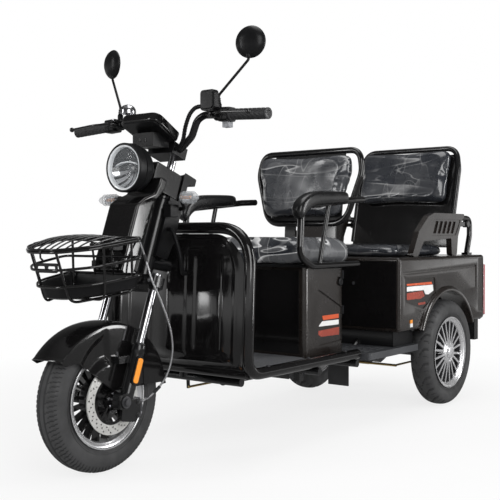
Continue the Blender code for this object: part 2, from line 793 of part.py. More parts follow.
def make_fork_leg(side):
    word = "left" if side > 0 else "right"
    frame = STEER @ Matrix.Translation((side * FORK_HALF_SPACING, -FORK_OFFSET, 0))
    bore = bore_radius(STANCHION_RADIUS, 10)
    bottom = STANCHION_LOW - FORK_TRAVEL - 0.006
    collar = LOWER_LEG_TOP - 0.022
    profile = [
        (0.0, LOWER_LEG_TOP), (LOWER_LEG_RADIUS + 0.002, LOWER_LEG_TOP), (LOWER_LEG_RADIUS + 0.002, collar),
        (LOWER_LEG_RADIUS, collar - 0.003), (LOWER_LEG_RADIUS, LOWER_LEG_FOOT), (0.0, LOWER_LEG_FOOT),
    ]
    leg = solid(turned(f"fork_leg_{word}", profile, frame, "matt_black", 10))
    hole = bore_radius(AXLE_RADIUS, 10)
    low = side * (FORK_HALF_SPACING - LOWER_LEG_RADIUS + 0.002)
    high = side * (FORK_HALF_SPACING + LOWER_LEG_RADIUS + 0.001)
    lug_low = (min(low, high), -0.018, TYRE_RADIUS - 0.020)
    lug_high = (max(low, high), 0.030, TYRE_RADIUS + 0.022)
    pieces = [box(f"lug_{word}", lug_low, lug_high, "matt_black", 0.005)]
    stay_x = sorted((side * (FENDER_HALF_WIDTH + GAP), side * FORK_HALF_SPACING))
    stay_at = steer_point(0, FORK_OFFSET, LOWER_LEG_TOP - 0.040)
    pieces.append(
        box(f"stay_{word}", (stay_x[0], stay_at.y - STAY_REACH, stay_at.z - 0.012),
            (stay_x[1], stay_at.y + 0.007, stay_at.z + 0.012), "matt_black", 0.002)
    )
    if side > 0:
        pieces.append(
            box("caliper_arm", (FORK_HALF_SPACING - 0.014, 0.010, 0.190),
                (FORK_HALF_SPACING + 0.002, 0.078, 0.206),
                "matt_black")
        )
    leg = join(leg, pieces)
    hole_low = min(side * 0.05, side * 0.14)
    hole_high = max(side * 0.05, side * 0.14)
    axle_hole = drum(f"axle_hole_{word}", hole, hole_low, hole_high,
                     Matrix.Translation((0, 0, TYRE_RADIUS)) @ ALONG_X, "matt_black", 10)
    slider = drum(f"slider_bore_{word}", bore, bottom, LOWER_LEG_TOP + 0.02, frame, "matt_black", 10)
    leg = cut(leg, [axle_hole, slider], "bores")
    carry("fork_slide", leg)


def make_front_axle():
    frame = Matrix.Translation((0, 0, TYRE_RADIUS)) @ ALONG_X
    inner = FORK_HALF_SPACING + LOWER_LEG_RADIUS + 0.001 + GAP
    outer = inner + 0.012
    nut = AXLE_RADIUS + 0.005
    profile = [
        (0.0, outer), (nut, outer), (nut, inner), (AXLE_RADIUS, inner),
        (AXLE_RADIUS, -inner), (nut, -inner), (nut, -outer), (0.0, -outer),
    ]
    axle = turned("front_axle", profile, frame, "castings", 10)
    carry("fork_slide", axle)


def make_caliper():
    low = (DISC_CENTRE_X - 0.016, 0.050, 0.148)
    high = (FORK_HALF_SPACING - 0.014 - GAP, CALIPER_BACK_Y, 0.206)
    body = box("brake_caliper", low, high, "castings", 0.006)
    frame = Matrix.Translation((0, 0, TYRE_RADIUS)) @ ALONG_X
    slot = drum(
        "disc_slot", DISC_RADIUS + 0.003, DISC_CENTRE_X - DISC_THICKNESS / 2 - 0.0004,
        DISC_CENTRE_X + DISC_THICKNESS / 2 + 0.0004, frame, "castings", 2 * DISC_STEPS,
    )
    carry("fork_slide", cut(body, [slot], "disc_slot"))


def fender_radius(angle):
    """Distance of the fender's crown from the axle; the angle runs from ahead, over the top, to behind."""
    nose = max(0.0, 1.0 - angle / math.radians(85))
    return TYRE_RADIUS + FENDER_GAP + 0.030 * nose**1.5


def fender_skirt(angle):
    """How far the side skirt hangs below the crown."""
    degrees = math.degrees(angle)
    if degrees < 95:
        return 0.030 + 0.155 * math.sin(math.radians(90 * (degrees - 33) / 62)) ** 1.3
    return max(0.022, 0.185 - 0.017 * (degrees - 95))


def make_fender():
    """A crown that follows the tyre, with a deep skirt on each side ahead of the fork."""
    start = math.radians(33)
    finish = math.radians(186)
    across = 6
    along = 13
    shape = bmesh.new()
    bmesh.ops.create_grid(shape, x_segments=across, y_segments=along, size=1.0)
    for vert in shape.verts:
        angle = start + (finish - start) * (vert.co.y + 1) / 2
        side = vert.co.x
        bend = min(1.0, abs(side) / FENDER_SHOULDER)
        outward = FENDER_HALF_WIDTH * math.sin(bend * math.pi / 2) * math.copysign(1, side) if side else 0.0
        drop = 0.012 * (1 - math.cos(bend * math.pi / 2))
        if abs(side) > FENDER_SHOULDER:
            drop += (abs(side) - FENDER_SHOULDER) / (1 - FENDER_SHOULDER) * (fender_skirt(angle) - 0.012)
        reach = fender_radius(angle) - drop
        vert.co = (outward, -math.cos(angle) * reach, TYRE_RADIUS + math.sin(angle) * reach)
    mesh = bpy.data.meshes.new("front_fender")
    shape.to_mesh(mesh)
    shape.free()
    fender = add_object("front_fender", mesh, "gloss_black")
    shell = fender.modifiers.new("Wall", "SOLIDIFY")
    shell.thickness = FENDER_WALL
    shell.offset = -1.0
    smooth(fender, 50)
    carry("fork_slide", fender)


def make_brake_hose():
    """The front brake's hose, from behind the basket to the caliper."""
    points = [
        (0.068, 0.094, 0.650), (0.092, 0.090, 0.606), (0.112, 0.098, 0.540), (0.122, 0.124, 0.480),
        (0.124, 0.160, 0.400), (0.122, 0.172, 0.330), (0.108, 0.162, 0.262), (0.082, 0.136, 0.212),
        (0.056, 0.108, 0.186),
    ]
    start = (PANEL_HALF_WIDTH + GAP, 0.094, 0.650)
    end = (0.056, CALIPER_BACK_Y + GAP, 0.186)
    hose = tube("front_brake_hose", square_ended(start, points, end, 3), HOSE_RADIUS, "hose_silver", 2)
    carry("steering", hose)


# Steering column


def make_front_panel():
    """The gloss panel ahead of the column, hung from a bridge over the head tube."""
    back = PANEL_FRONT - PANEL_DEPTH
    crown_face = FORK_OFFSET + CROWN_REACH + GAP
    outline = [
        (-PANEL_FRONT, CROWN_LOW + 0.012), (-PANEL_FRONT, BRIDGE_LOW - 0.080),
        (-PANEL_FRONT + 0.020, BRIDGE_LOW - 0.055), (-BRIDGE_FRONT - 0.009, BRIDGE_LOW - 0.027),
        (-BRIDGE_FRONT, BRIDGE_LOW + 0.008), (-BRIDGE_FRONT, BRIDGE_LOW + 0.030),
        (-BRIDGE_FRONT + 0.030, BRIDGE_LOW + 0.030), (-BRIDGE_FRONT + 0.030, BRIDGE_LOW),
        (-back + 0.025, BRIDGE_LOW - 0.025), (-back + 0.005, BRIDGE_LOW - 0.065),
        (-back, BRIDGE_LOW - 0.115), (-back, CROWN_TOP), (-crown_face, CROWN_TOP),
        (-crown_face, CROWN_LOW + 0.004), (-PANEL_FRONT + 0.030, CROWN_LOW - 0.010),
    ]
    panel = plate("front_panel", outline, 2 * PANEL_HALF_WIDTH, STEER @ SIDE_VIEW, "gloss_black", 0.005)
    bridge = box(
        "bridge", (-BRIDGE_HALF_WIDTH, -BRIDGE_FRONT, BRIDGE_LOW), (BRIDGE_HALF_WIDTH, BRIDGE_BACK,
                                                                    BRIDGE_TOP),
        "gloss_black", 0.006, STEER,
    )
    ears = []
    hinge = lamp_hinge()
    for side in (1, -1):
        near = LAMP_LUG_WIDTH / 2 + GAP
        ear_x = sorted((side * near, side * (near + 0.006)))
        ears.append(
            box(f"ear_{side}", (ear_x[0], hinge.y - 0.004, hinge.z - 0.009),
                (ear_x[1], hinge.y + 0.022, hinge.z + 0.009),
                "gloss_black")
        )
    panel = join(panel, [bridge, *ears])
    bore = drum("steerer_bore", STEERER_RADIUS + GAP, 0.45, BRIDGE_TOP + 0.01, STEER, "gloss_black", 16)
    panel = cut(panel, [bore], "steerer_bore")
    carry("steering", panel)


def lamp_hinge():
    return Vector((0, LAMP_FRONT_Y + LAMP_DEPTH + 0.007, LAMP_Z))


def make_headlight():
    frame = Matrix.Translation((0, LAMP_FRONT_Y, LAMP_Z)) @ Matrix.Rotation(math.radians(90), 4, "X")
    wall = LAMP_WALL
    profile = [
        (LAMP_RADIUS, 0.0), (LAMP_RADIUS, -LAMP_DEPTH * 0.25), (LAMP_RADIUS * 0.93, -LAMP_DEPTH * 0.62),
        (LAMP_RADIUS * 0.66, -LAMP_DEPTH * 0.90), (LAMP_RADIUS * 0.32, -LAMP_DEPTH), (0.0, -LAMP_DEPTH),
        (0.0, wall - LAMP_DEPTH), (LAMP_RADIUS * 0.58, wall - LAMP_DEPTH * 0.90),
        (LAMP_RADIUS * 0.93 - wall, -LAMP_DEPTH * 0.60), (LAMP_RADIUS - wall - 0.002, 0.0),
    ]
    housing = solid(turned("headlight_housing", profile, frame, "matt_black", LAMP_STEPS, ring=True))
    lug_frame = Matrix.Translation(lamp_hinge()) @ ALONG_X
    lug = drum("lamp_lug", LAMP_LUG_RADIUS, -LAMP_LUG_WIDTH / 2, LAMP_LUG_WIDTH / 2, lug_frame,
               "matt_black", 14)
    neck_low = (-LAMP_LUG_WIDTH / 2, LAMP_FRONT_Y + LAMP_DEPTH - 0.003, LAMP_Z - 0.007)
    neck_high = (LAMP_LUG_WIDTH / 2, lamp_hinge().y, LAMP_Z + 0.007)
    housing = join(housing, [lug, box("lamp_neck", neck_low, neck_high, "matt_black")])
    lens_radius = LAMP_RADIUS - wall - 0.002 - RUNNING_GAP
    lens_profile = [
        (0.0, 0.004), (lens_radius * 0.6, 0.002), (lens_radius, -0.003), (lens_radius, -0.0065), (0.0,
                                                                                                  -0.001),
    ]
    lens = turned("headlight_lens", lens_profile, frame, "lens_clear", LAMP_STEPS)
    carry("headlight_tilt", housing, lens)


def make_column_cover():
    """The matt cover behind the head tube, with a bag hook at its top."""
    outline = [
        (0.0, COVER_LOW), (0.0, COVER_TOP), (COVER_BACK + HOOK_REACH, COVER_TOP),
        (COVER_BACK + HOOK_REACH, COVER_TOP - 0.024), (COVER_BACK + 0.008, COVER_TOP - 0.026),
        (COVER_BACK, COVER_TOP - 0.036), (COVER_BACK, COVER_LOW + 0.060), (COVER_BACK - 0.012, COVER_LOW),
    ]
    cover = plate("column_cover", outline, 2 * COVER_HALF_WIDTH, STEER @ SIDE_VIEW, "matt_black", 0.004)
    groove = drum("head_groove", HEAD_RADIUS + 2 * GAP, COVER_LOW - 0.05, HEAD_TOP + 0.02, STEER,
                  "matt_black", 16)
    swing = math.hypot(BRIDGE_HALF_WIDTH, BRIDGE_BACK) + 0.003
    sweep = drum("bridge_sweep", swing, HEAD_TOP - 0.002, COVER_TOP + 0.05, STEER, "matt_black", 20)
    tunnel_frame = Matrix.Translation(signal_bar_place()) @ ALONG_X
    tunnel = drum("signal_tunnel", SIGNAL_BAR_RADIUS + RUNNING_GAP, -0.1, 0.1, tunnel_frame, "matt_black",
                  10)
    neck_room = down_tube("neck_room", DOWN_TUBE_RADIUS + RUNNING_GAP)
    cover = cut(cover, [groove, sweep, tunnel, neck_room])
    carry("tricycle", cover)


def signal_bar_place():
    return STEER @ Vector((0, SIGNAL_BAR_BACK, HEAD_TOP - 0.022))


def make_turn_signals():
    """A lamp at each end of one bar that passes through the column cover."""
    centre = signal_bar_place()
    ends = []
    lamps = []
    for side in (1, -1):
        middle = Vector((side * 0.118, 0.208, 0.778))
        tip = Vector((side * 0.202, 0.190, 0.776))
        direction = (tip - middle).normalized()
        length = (tip - middle).length
        ends.append([Vector((side * 0.062, centre.y, centre.z)), middle + direction * 0.01])
        profile = [
            (0.0, length), (0.010, length), (0.0175, length - 0.010), (0.0185, length * 0.45),
            (0.012, 0.006), (0.008, 0.0), (0.0, 0.0),
        ]
        lamps.append(turned(f"signal_lamp_{side}", profile, axis_frame(middle, direction), "lens_clear", 8))
    path = [ends[1][1], ends[1][0], ends[0][0], ends[0][1]]
    bar = solid(tube("turn_signals", path, SIGNAL_BAR_RADIUS, "matt_black", 1))
    carry("tricycle", join(bar, lamps))


def make_frame_loom():
    """The spiral-wrapped loom that loops from the column to the leg shield."""
    points = [
        (0.050, 0.246, 0.686), (0.068, 0.241, 0.664), (0.082, 0.241, 0.632), (0.087, 0.246, 0.602),
        (0.082, 0.258, 0.572), (0.072, 0.274, 0.552),
    ]
    start = (COVER_HALF_WIDTH + GAP, 0.246, 0.686)
    end = (0.072, 0.287, 0.552)
    loom = tube("frame_loom", square_ended(start, points, end, 1), LOOM_RADIUS, "matt_black", 2)
    carry("tricycle", loom)


# Handlebar


def bar_centre():
    return steer_point(0, BAR_AHEAD, BAR_UP)


def bar_run(side):
    """The outer end of the bar and the direction from there towards the middle."""
    centre = bar_centre()
    end = Vector((side * BAR_HALF_WIDTH, centre.y - BAR_SWEEP, centre.z + BAR_RISE - BAR_DROP))
    inner = Vector((side * 0.150, centre.y + 0.003, centre.z + BAR_RISE))
    return end, (inner - end).normalized()


def bar_frame(side, inset):
    """A frame on the bar, its Z towards the middle, at a distance from the bar's end."""
    end, inward = bar_run(side)
    return axis_frame(end + inward * inset, inward)


def bar_place(side, inset):
    end, inward = bar_run(side)
    return end + inward * inset


def make_handlebar():
    centre = bar_centre()
    half = []
    for x, y, z in ((0.050, -0.001, 0.000), (0.098, 0.002, 0.040), (0.118, 0.003, 0.088)):
        half.append(centre + Vector((x, y, z)))
    left_end, inward = bar_run(1)
    half.append(left_end + inward * (BAR_HALF_WIDTH - 0.145))
    half.append(left_end)
    corners = [*reversed(mirrored(half)), *half]
    radii = [0, 0.04, 0.04, 0.04, 0.05, 0.05, 0.04, 0.04, 0.04, 0]
    bar = solid(tube("handlebar", rounded(corners, radii, 2), BAR_RADIUS, "frame_black", 2))
    block = box(
        "clamp_block",
        (-CLAMP_HALF_WIDTH, -BAR_AHEAD - CLAMP_DEPTH / 2, STEERER_TOP + GAP),
        (CLAMP_HALF_WIDTH, -BAR_AHEAD + CLAMP_DEPTH / 2, STEERER_TOP + GAP + CLAMP_HEIGHT),
        "matt_black", 0.005, STEER,
    )
    bar = join(bar, [block])
    carry("steering", bar)


def grip_profile():
    collar = GRIP_RADIUS + 0.003
    bore = bore_radius(BAR_RADIUS, GRIP_STEPS)
    return [
        (collar, GRIP_LENGTH), (collar, GRIP_LENGTH - 0.006), (GRIP_RADIUS, GRIP_LENGTH - 0.008),
        (GRIP_RADIUS - 0.001, 0.004), (GRIP_RADIUS, 0.0), (bore, 0.0), (bore, GRIP_LENGTH),
    ]


def make_grips():
    left = turned("left_grip", grip_profile(), bar_frame(1, 0.0), "grip_rubber", GRIP_STEPS, ring=True)
    right = turned("throttle_grip", grip_profile(), bar_frame(-1, 0.0), "grip_rubber", GRIP_STEPS,
                   ring=True)
    carry("steering", left)
    carry("throttle", right)


def lever_pivot(side):
    at = perch_place(side)
    return Vector((at.x, at.y - 0.034, at.z))


def mirror_base(side):
    at = perch_place(side)
    return Vector((at.x, at.y, at.z + GRIP_RADIUS))


def make_pod(side):
    """The switch pod on the bar, with the brake lever's perch and the mirror's socket."""
    word = "left" if side > 0 else "right"
    frame = bar_frame(side, GRIP_LENGTH + GAP)
    half = POD_SIZE / 2
    pod = box(f"switch_pod_{word}", (-half, -half, 0.0), (half, half, POD_LENGTH), "matt_black", 0.006,
              frame)
    perch_at = perch_place(side)
    perch = drum(f"perch_{word}", GRIP_RADIUS + 0.001, POD_LENGTH - 0.003,
                 POD_LENGTH + 0.004 + PERCH_LENGTH,
                 frame, "matt_black", 12)
    pivot = lever_pivot(side)
    lug = LEVER_EYE + 0.003
    pieces = [perch]
    for level in (1, -1):
        lug_z = sorted((level * (LEVER_RADIUS + 2 * GAP), level * (LEVER_RADIUS + 0.006)))
        pieces.append(
            box(f"lug_{word}_{level}", (pivot.x - lug, pivot.y - lug, pivot.z + lug_z[0]),
                (pivot.x + lug, perch_at.y, pivot.z + lug_z[1]), "matt_black")
        )
    socket_frame = Matrix.Translation((perch_at.x, perch_at.y, perch_at.z))
    pieces.append(drum(f"socket_{word}", 0.009, 0.010, GRIP_RADIUS + 0.016, socket_frame, "matt_black", 10))
    if side > 0:
        pieces += accessory_box(perch_at)
    pod = join(pod, pieces)
    bore = drum(f"bar_bore_{word}", bore_radius(BAR_RADIUS, 12), -0.01, POD_LENGTH + PERCH_LENGTH + 0.02,
                frame,
                "matt_black", 12)
    hole = drum(f"mirror_hole_{word}", MIRROR_STEM_RADIUS + 0.0006, BAR_RADIUS + 0.002, GRIP_RADIUS + 0.03,
                socket_frame, "matt_black", 10)
    cutters = [bore, hole]
    if side > 0:
        cutters.append(horn_pocket())
    pod = cut(pod, cutters, "bores")
    carry("steering", pod)


def perch_place(side):
    return bar_place(side, GRIP_LENGTH + POD_LENGTH + PERCH_LENGTH / 2 + 0.004)


def accessory_place():
    return perch_place(1) + Vector((-0.012, -0.030, 0.040))


def accessory_box(perch_at):
    """The square box on the left of the bar, on a short neck."""
    centre = accessory_place()
    low = centre - Vector((ACCESSORY_HALF_WIDTH, 0.013, 0.030))
    high = centre + Vector((ACCESSORY_HALF_WIDTH, 0.013, 0.030))
    shell = box("accessory_box", low, high, "matt_black", 0.008)
    neck = box("accessory_neck", (centre.x + 0.006, centre.y, perch_at.z + 0.006),
               (centre.x + 0.018, perch_at.y - 0.004, perch_at.z + 0.024), "matt_black")
    return [shell, neck]


def horn_place():
    at = bar_place(1, GRIP_LENGTH + POD_LENGTH / 2)
    return Vector((at.x, at.y + 0.004, at.z - POD_SIZE / 2))


def horn_pocket():
    at = horn_place()
    return box("horn_pocket", (at.x - 0.0125, at.y - 0.0105, at.z - 0.02),
               (at.x + 0.0125, at.y + 0.0105, at.z + 0.008),
               "matt_black")


def make_horn_button():
    at = horn_place()
    button = box("horn_button", (at.x - 0.012, at.y - 0.010, at.z - 0.016),
                 (at.x + 0.012, at.y + 0.010, at.z + 0.004),
                 "button_grey", 0.003)
    carry("horn", button)


def make_lever(side):
    """A brake lever: an eye on the pivot, a blade ahead of the grip and a ball at its end."""
    word = "left" if side > 0 else "right"
    pivot = lever_pivot(side)
    drop = Vector((side * LEVER_LENGTH, 0.0, -0.010))
    path = [
        pivot,
        pivot + Vector((side * 0.022, -0.012, -0.001)),
        pivot + Vector((side * 0.050, 0.034 - LEVER_REACH, -0.003)),
        pivot + drop + Vector((0.0, 0.034 - LEVER_REACH, 0.0)),
    ]
    points = rounded(path, [0, 0.02, 0.05, 0], 2)
    blade = solid(tube(f"{word}_brake_lever", points, LEVER_RADIUS, "alloy", 1))
    eye = drum(f"eye_{word}", LEVER_EYE, -LEVER_RADIUS - GAP, LEVER_RADIUS + GAP,
               Matrix.Translation(pivot), "alloy", 10)
    ball_frame = axis_frame(points[-1], (side, 0, 0))
    ball_profile = [(0.0, 0.008), (0.0055, 0.0055), (0.008, 0.0), (0.0055, -0.0055), (0.0, -0.008)]
    ball = turned(f"ball_{word}", ball_profile, ball_frame, "alloy", 6)
    carry(f"{word}_lever", join(blade, [eye, ball]))


def make_mirror(side):
    word = "left" if side > 0 else "right"
    base = mirror_base(side)
    centre = Vector((side * MIRROR_X, MIRROR_Y, MIRROR_Z))
    foot = centre + Vector((side * -0.004, -0.004, -MIRROR_RADIUS - 0.004))
    seat = centre + Vector((side * -0.002, -0.006, -MIRROR_RADIUS * 0.55))
    path = [base + Vector((0, 0, -0.002)), base + Vector((0, 0, 0.040)), foot, seat]
    stem = tube(f"mirror_stem_{word}", rounded(path, [0, 0.02, 0.012, 0], 3), MIRROR_STEM_RADIUS,
                "matt_black", 1)
    facing = Matrix.Rotation(side * MIRROR_TURN, 4, "Z") @ Matrix.Rotation(math.radians(90), 4, "X")
    back = MIRROR_DEPTH
    profile = [
        (0.0, back), (MIRROR_RADIUS * 0.45, back * 0.92), (MIRROR_RADIUS * 0.82, back * 0.60),
        (MIRROR_RADIUS, back * 0.12), (MIRROR_RADIUS, -0.003), (0.0, -0.003),
    ]
    head = solid(turned(f"{word}_mirror", profile, Matrix.Translation(centre) @ facing, "matt_black", 14))
    carry(f"{word}_mirror", join(head, [stem]))


def make_dash():
    frame = Matrix.Translation((0, DASH_Y, DASH_Z)) @ Matrix.Rotation(-DASH_TILT, 4, "X")
    half = DASH_DEPTH / 2
    outline = rounded(
        [(-DASH_HALF_WIDTH, -half, 0), (DASH_HALF_WIDTH, -half, 0), (DASH_HALF_WIDTH * 0.92, half, 0),
         (-DASH_HALF_WIDTH * 0.92, half, 0)],
        [0.030, 0.030, 0.020, 0.020], 2, closed=True,
    )
    dash = plate("dash", outline, DASH_THICKNESS, frame, "gloss_black", 0.006)
    under = box("dash_box", (-0.042, -0.020, -0.052), (0.042, 0.052, 0.0), "matt_black", frame=frame)
    post_low = STEERER_TOP + CLAMP_HEIGHT + 2 * GAP
    post_frame = STEER @ Matrix.Translation((0, -BAR_AHEAD - 0.006, 0))
    post = drum("dash_post", DASH_POST_RADIUS, post_low, post_low + 0.034, post_frame, "chrome", 12)
    top = post_frame @ Vector((0, 0, post_low + 0.028))
    neck = box("dash_neck", (-DASH_POST_RADIUS, DASH_Y + 0.020, top.z - 0.007),
               (DASH_POST_RADIUS, top.y + 0.006, top.z + 0.007),
               "matt_black")
    carry("steering", join(dash, [under, post, neck]))


def make_bell():
    centre = bar_centre()
    end, inward = bar_run(-1)
    at = end + inward * ((BAR_HALF_WIDTH - BELL_X) / abs(inward.x))
    frame = Matrix.Translation((at.x, at.y - 0.010, at.z + BAR_RADIUS))
    profile = [
        (0.0, 0.046), (BELL_RADIUS * 0.5, 0.043), (BELL_RADIUS * 0.9, 0.034), (BELL_RADIUS, 0.020),
        (BELL_RADIUS - 0.004, 0.018), (0.007, 0.020), (0.007, 0.004), (0.0, 0.004),
    ]
    dome = solid(turned("bell", profile, frame, "chrome", 10))
    band = drum("bell_band", BAR_RADIUS + 0.0045, -0.007, 0.007, axis_frame(at, inward), "chrome", 10)
    foot = box("bell_foot", (at.x - 0.006, at.y - 0.014, at.z + BAR_RADIUS + 0.001),
               (at.x + 0.006, at.y + 0.004, at.z + BAR_RADIUS + 0.010), "chrome")
    bell = join(dome, [band, foot])
    bore = drum("bell_bore", bore_radius(BAR_RADIUS, 10), -0.02, 0.02, axis_frame(at, inward), "chrome", 10)
    bell = cut(bell, [bore], "bar_bore")
    carry("steering", bell)


def make_bar_loom():
    """The spiral-wrapped loom beside the left of the bar."""
    points = [
        (0.0660, 0.2620, 0.9280), (0.0900, 0.2540, 0.9500), (0.1100, 0.2430, 0.9880), (0.1260, 0.2430,
                                                                                       1.0220),
        (0.1390, 0.2500, 1.0400), (0.1520, 0.2537, 1.0450),
    ]
    start = (CLAMP_HALF_WIDTH + GAP, 0.2620, 0.9280)
    end = (accessory_place().x - ACCESSORY_HALF_WIDTH - GAP, 0.2537, 1.0450)
    loom = tube("bar_loom", square_ended(start, points, end, 1), LOOM_RADIUS, "matt_black", 2)
    carry("steering", loom)


# Basket


def basket_point(x, y, drop):
    """A point of the basket: it leans nose down about its front edge."""
    back = y - BASKET_FRONT_Y
    lift = back * math.sin(BASKET_TILT) - drop * math.cos(BASKET_TILT)
    return Vector((x, BASKET_FRONT_Y + back * math.cos(BASKET_TILT) + drop * math.sin(BASKET_TILT),
                   BASKET_TOP_Z + lift))


def basket_ring(scale, drop, inset=0.0, steps=2):
    """One level of the basket: a narrow nose that swells to the full width at the back."""
    depth = BASKET_BACK_Y - BASKET_FRONT_Y
    back = BASKET_BACK_Y - BASKET_WIRE - inset
    nose = BASKET_BACK_Y - BASKET_WIRE - depth * (0.5 + scale / 2) + inset
    corners = [
        (BASKET_NOSE_HALF * scale - inset * 0.5, nose, 0),
        (BASKET_HALF_WIDTH * 0.86 * scale - inset, nose + depth * 0.30, 0),
        (BASKET_HALF_WIDTH * scale - inset, back, 0),
    ]
    outline = [*corners, *reversed([(-x, y, z) for x, y, z in corners])]
    radii = [0.07, 0.16, 0.020, 0.020, 0.16, 0.07]
    return [basket_point(point.x, point.y, drop) for point in rounded(outline, radii, steps, closed=True)]


def basket_wire(name, points, resolution=1, closed=False):
    return tube(name, points, BASKET_WIRE, "matt_black", resolution, closed)


def make_basket():
    rim = solid(basket_wire("basket", basket_ring(1.0, 0.0), closed=True))
    pieces = [basket_wire("basket_middle", basket_ring(0.97, BASKET_DROP * 0.34, steps=1), 0, closed=True)]
    depth = BASKET_BACK_Y - BASKET_FRONT_Y
    for x_front, x_back in ((0.050, 0.120), (-0.050, -0.120)):
        corners = [
            basket_point(x_front, BASKET_FRONT_Y + 0.001, -0.002),
            basket_point(x_front, BASKET_FRONT_Y + depth * 0.13, BASKET_DROP),
            basket_point(x_back, BASKET_BACK_Y - depth * 0.10, BASKET_DROP),
            basket_point(x_back, BASKET_BACK_Y - BASKET_WIRE, -0.002),
        ]
        pieces.append(basket_wire("basket_hoop", rounded(corners, [0, 0.03, 0.02, 0], 1), 0))
    back = BASKET_BACK_Y - BASKET_WIRE
    for x in (-0.040, 0.040):
        upright = [basket_point(x, back, -0.001), basket_point(x * 0.93, back - 0.002, BASKET_DROP * 0.72)]
        pieces.append(basket_wire("basket_upright", upright, 0))
    pieces.append(basket_tray())
    pieces += basket_brackets()
    carry("steering", join(rim, pieces))


def basket_tray():
    """The plastic tray in the bottom of the basket."""
    low = BASKET_DROP + 0.001
    high = BASKET_DROP * 0.66
    wide = BASKET_TAPER + 0.055
    narrow = BASKET_TAPER - 0.06
    levels = ((narrow, low, 0.004), (wide, high, 0.0), (wide, high, 0.003), (narrow, low - 0.003, 0.007))
    rings = [basket_ring(scale, drop, inset, 1) for scale, drop, inset in levels]
    return loft("basket_tray", rings, "matt_black")


def basket_brackets():
    """Two arms from the back of the basket to the panel's front face."""
    arms = []
    for side in (1, -1):
        for drop in (0.020, 0.070):
            start = basket_point(side * 0.040, BASKET_BACK_Y - BASKET_WIRE, drop)
            low = Vector((start.x - 0.009, start.y - 0.003, start.z - 0.010))
            high = Vector((start.x + 0.009, panel_face_y(low.z) - GAP, start.z + 0.010))
            arms.append(box("basket_arm", low, high, "matt_black"))
    return arms


def panel_face_y(z):
    """The station of the front panel's raked face at a height."""
    foot = steer_point(0, PANEL_FRONT, 0)
    return foot.y + (z - foot.z) * math.tan(RAKE)


def make_basket_lid():
    """The hinged lid: a rim like the basket's, with slats from front to back and a latch hook."""
    lift = -2 * BASKET_WIRE - GAP
    rim = solid(basket_wire("basket_lid", basket_ring(0.985, lift), closed=True))
    pieces = []
    depth = BASKET_BACK_Y - BASKET_FRONT_Y
    back_y = BASKET_BACK_Y - BASKET_WIRE
    for index in range(BASKET_SLAT_COUNT):
        x = BASKET_HALF_WIDTH * 0.88 * (2 * index / (BASKET_SLAT_COUNT - 1) - 1)
        swell = max(0.0, (abs(x) - BASKET_NOSE_HALF) / (BASKET_HALF_WIDTH - BASKET_NOSE_HALF))
        front_y = BASKET_FRONT_Y + 0.003 + depth * 0.62 * swell**1.5
        wire = [basket_point(x, front_y, lift), basket_point(x, back_y - 0.001, lift)]
        pieces.append(tube("lid_slat", wire, BASKET_WIRE * 0.7, "matt_black", 0))
    hook = [
        basket_point(0.0, BASKET_FRONT_Y + 0.004, lift),
        basket_point(0.0, BASKET_FRONT_Y - LATCH_REACH, lift + 0.002),
        basket_point(0.0, BASKET_FRONT_Y - LATCH_REACH, lift + 0.026),
    ]
    pieces.append(tube("lid_hook", rounded(hook, [0, 0.005, 0], 2), BASKET_WIRE * 0.8, "matt_black", 1))
    carry("basket_lid_hinge", join(rim, pieces))


# Hoop, shield, floor and chassis


def make_guard_hoop():
    """One tube: left side rail, up round the leg shield and back along the right side, with a bar across."""
    corners = [
        (HOOP_HALF_WIDTH, RAIL_END_Y, RAIL_Z), (HOOP_HALF_WIDTH, HOOP_LOW_Y, RAIL_Z),
        (HOOP_HALF_WIDTH, HOOP_TOP_Y, HOOP_TOP_Z),
    ]
    other = [(-x, y, z) for x, y, z in reversed(corners)]
    path = rounded([*corners, *other], [0, 0.060, 0.125, 0.125, 0.060, 0], 3)
    hoop = solid(tube("guard_hoop", path, HOOP_RADIUS, "gloss_black", 2))
    bar_y = FLOOR_FRONT_Y - HOOP_BAR_RADIUS - GAP
    end = HOOP_HALF_WIDTH - 0.006
    bar = tube("hoop_bar", [(end, bar_y, RAIL_Z), (-end, bar_y, RAIL_Z)], HOOP_BAR_RADIUS, "gloss_black", 2)
    carry("tricycle", join(hoop, [bar]))


def shield_half_width(z):
    """Half the shield's width at a height: straight sides and round top corners."""
    edge = HOOP_HALF_WIDTH - HOOP_RADIUS - 2 * GAP
    corner = 0.118
    top = HOOP_TOP_Z - HOOP_RADIUS - GAP
    above = max(0.0, z - (top - corner))
    return edge - corner + math.sqrt(max(0.0, corner**2 - above**2))


def shield_depth(x, z):
    """The shield's station: in the hoop's plane at its edges, swelling forward in the middle."""
    rise = (z - RAIL_Z) / (HOOP_TOP_Z - RAIL_Z)
    plane = HOOP_LOW_Y + (HOOP_TOP_Y - HOOP_LOW_Y) * rise
    edge = min(1.0, abs(x) / (HOOP_HALF_WIDTH - HOOP_RADIUS))
    bulge = 0.55 * (1 - edge**4) + 0.45 * math.exp(-((x / SPINE_WIDTH) ** 2))
    ends = min(1.0, 6 * rise, 5 * (1 - rise))
    return plane - SHIELD_BULGE * bulge * max(0.0, ends)


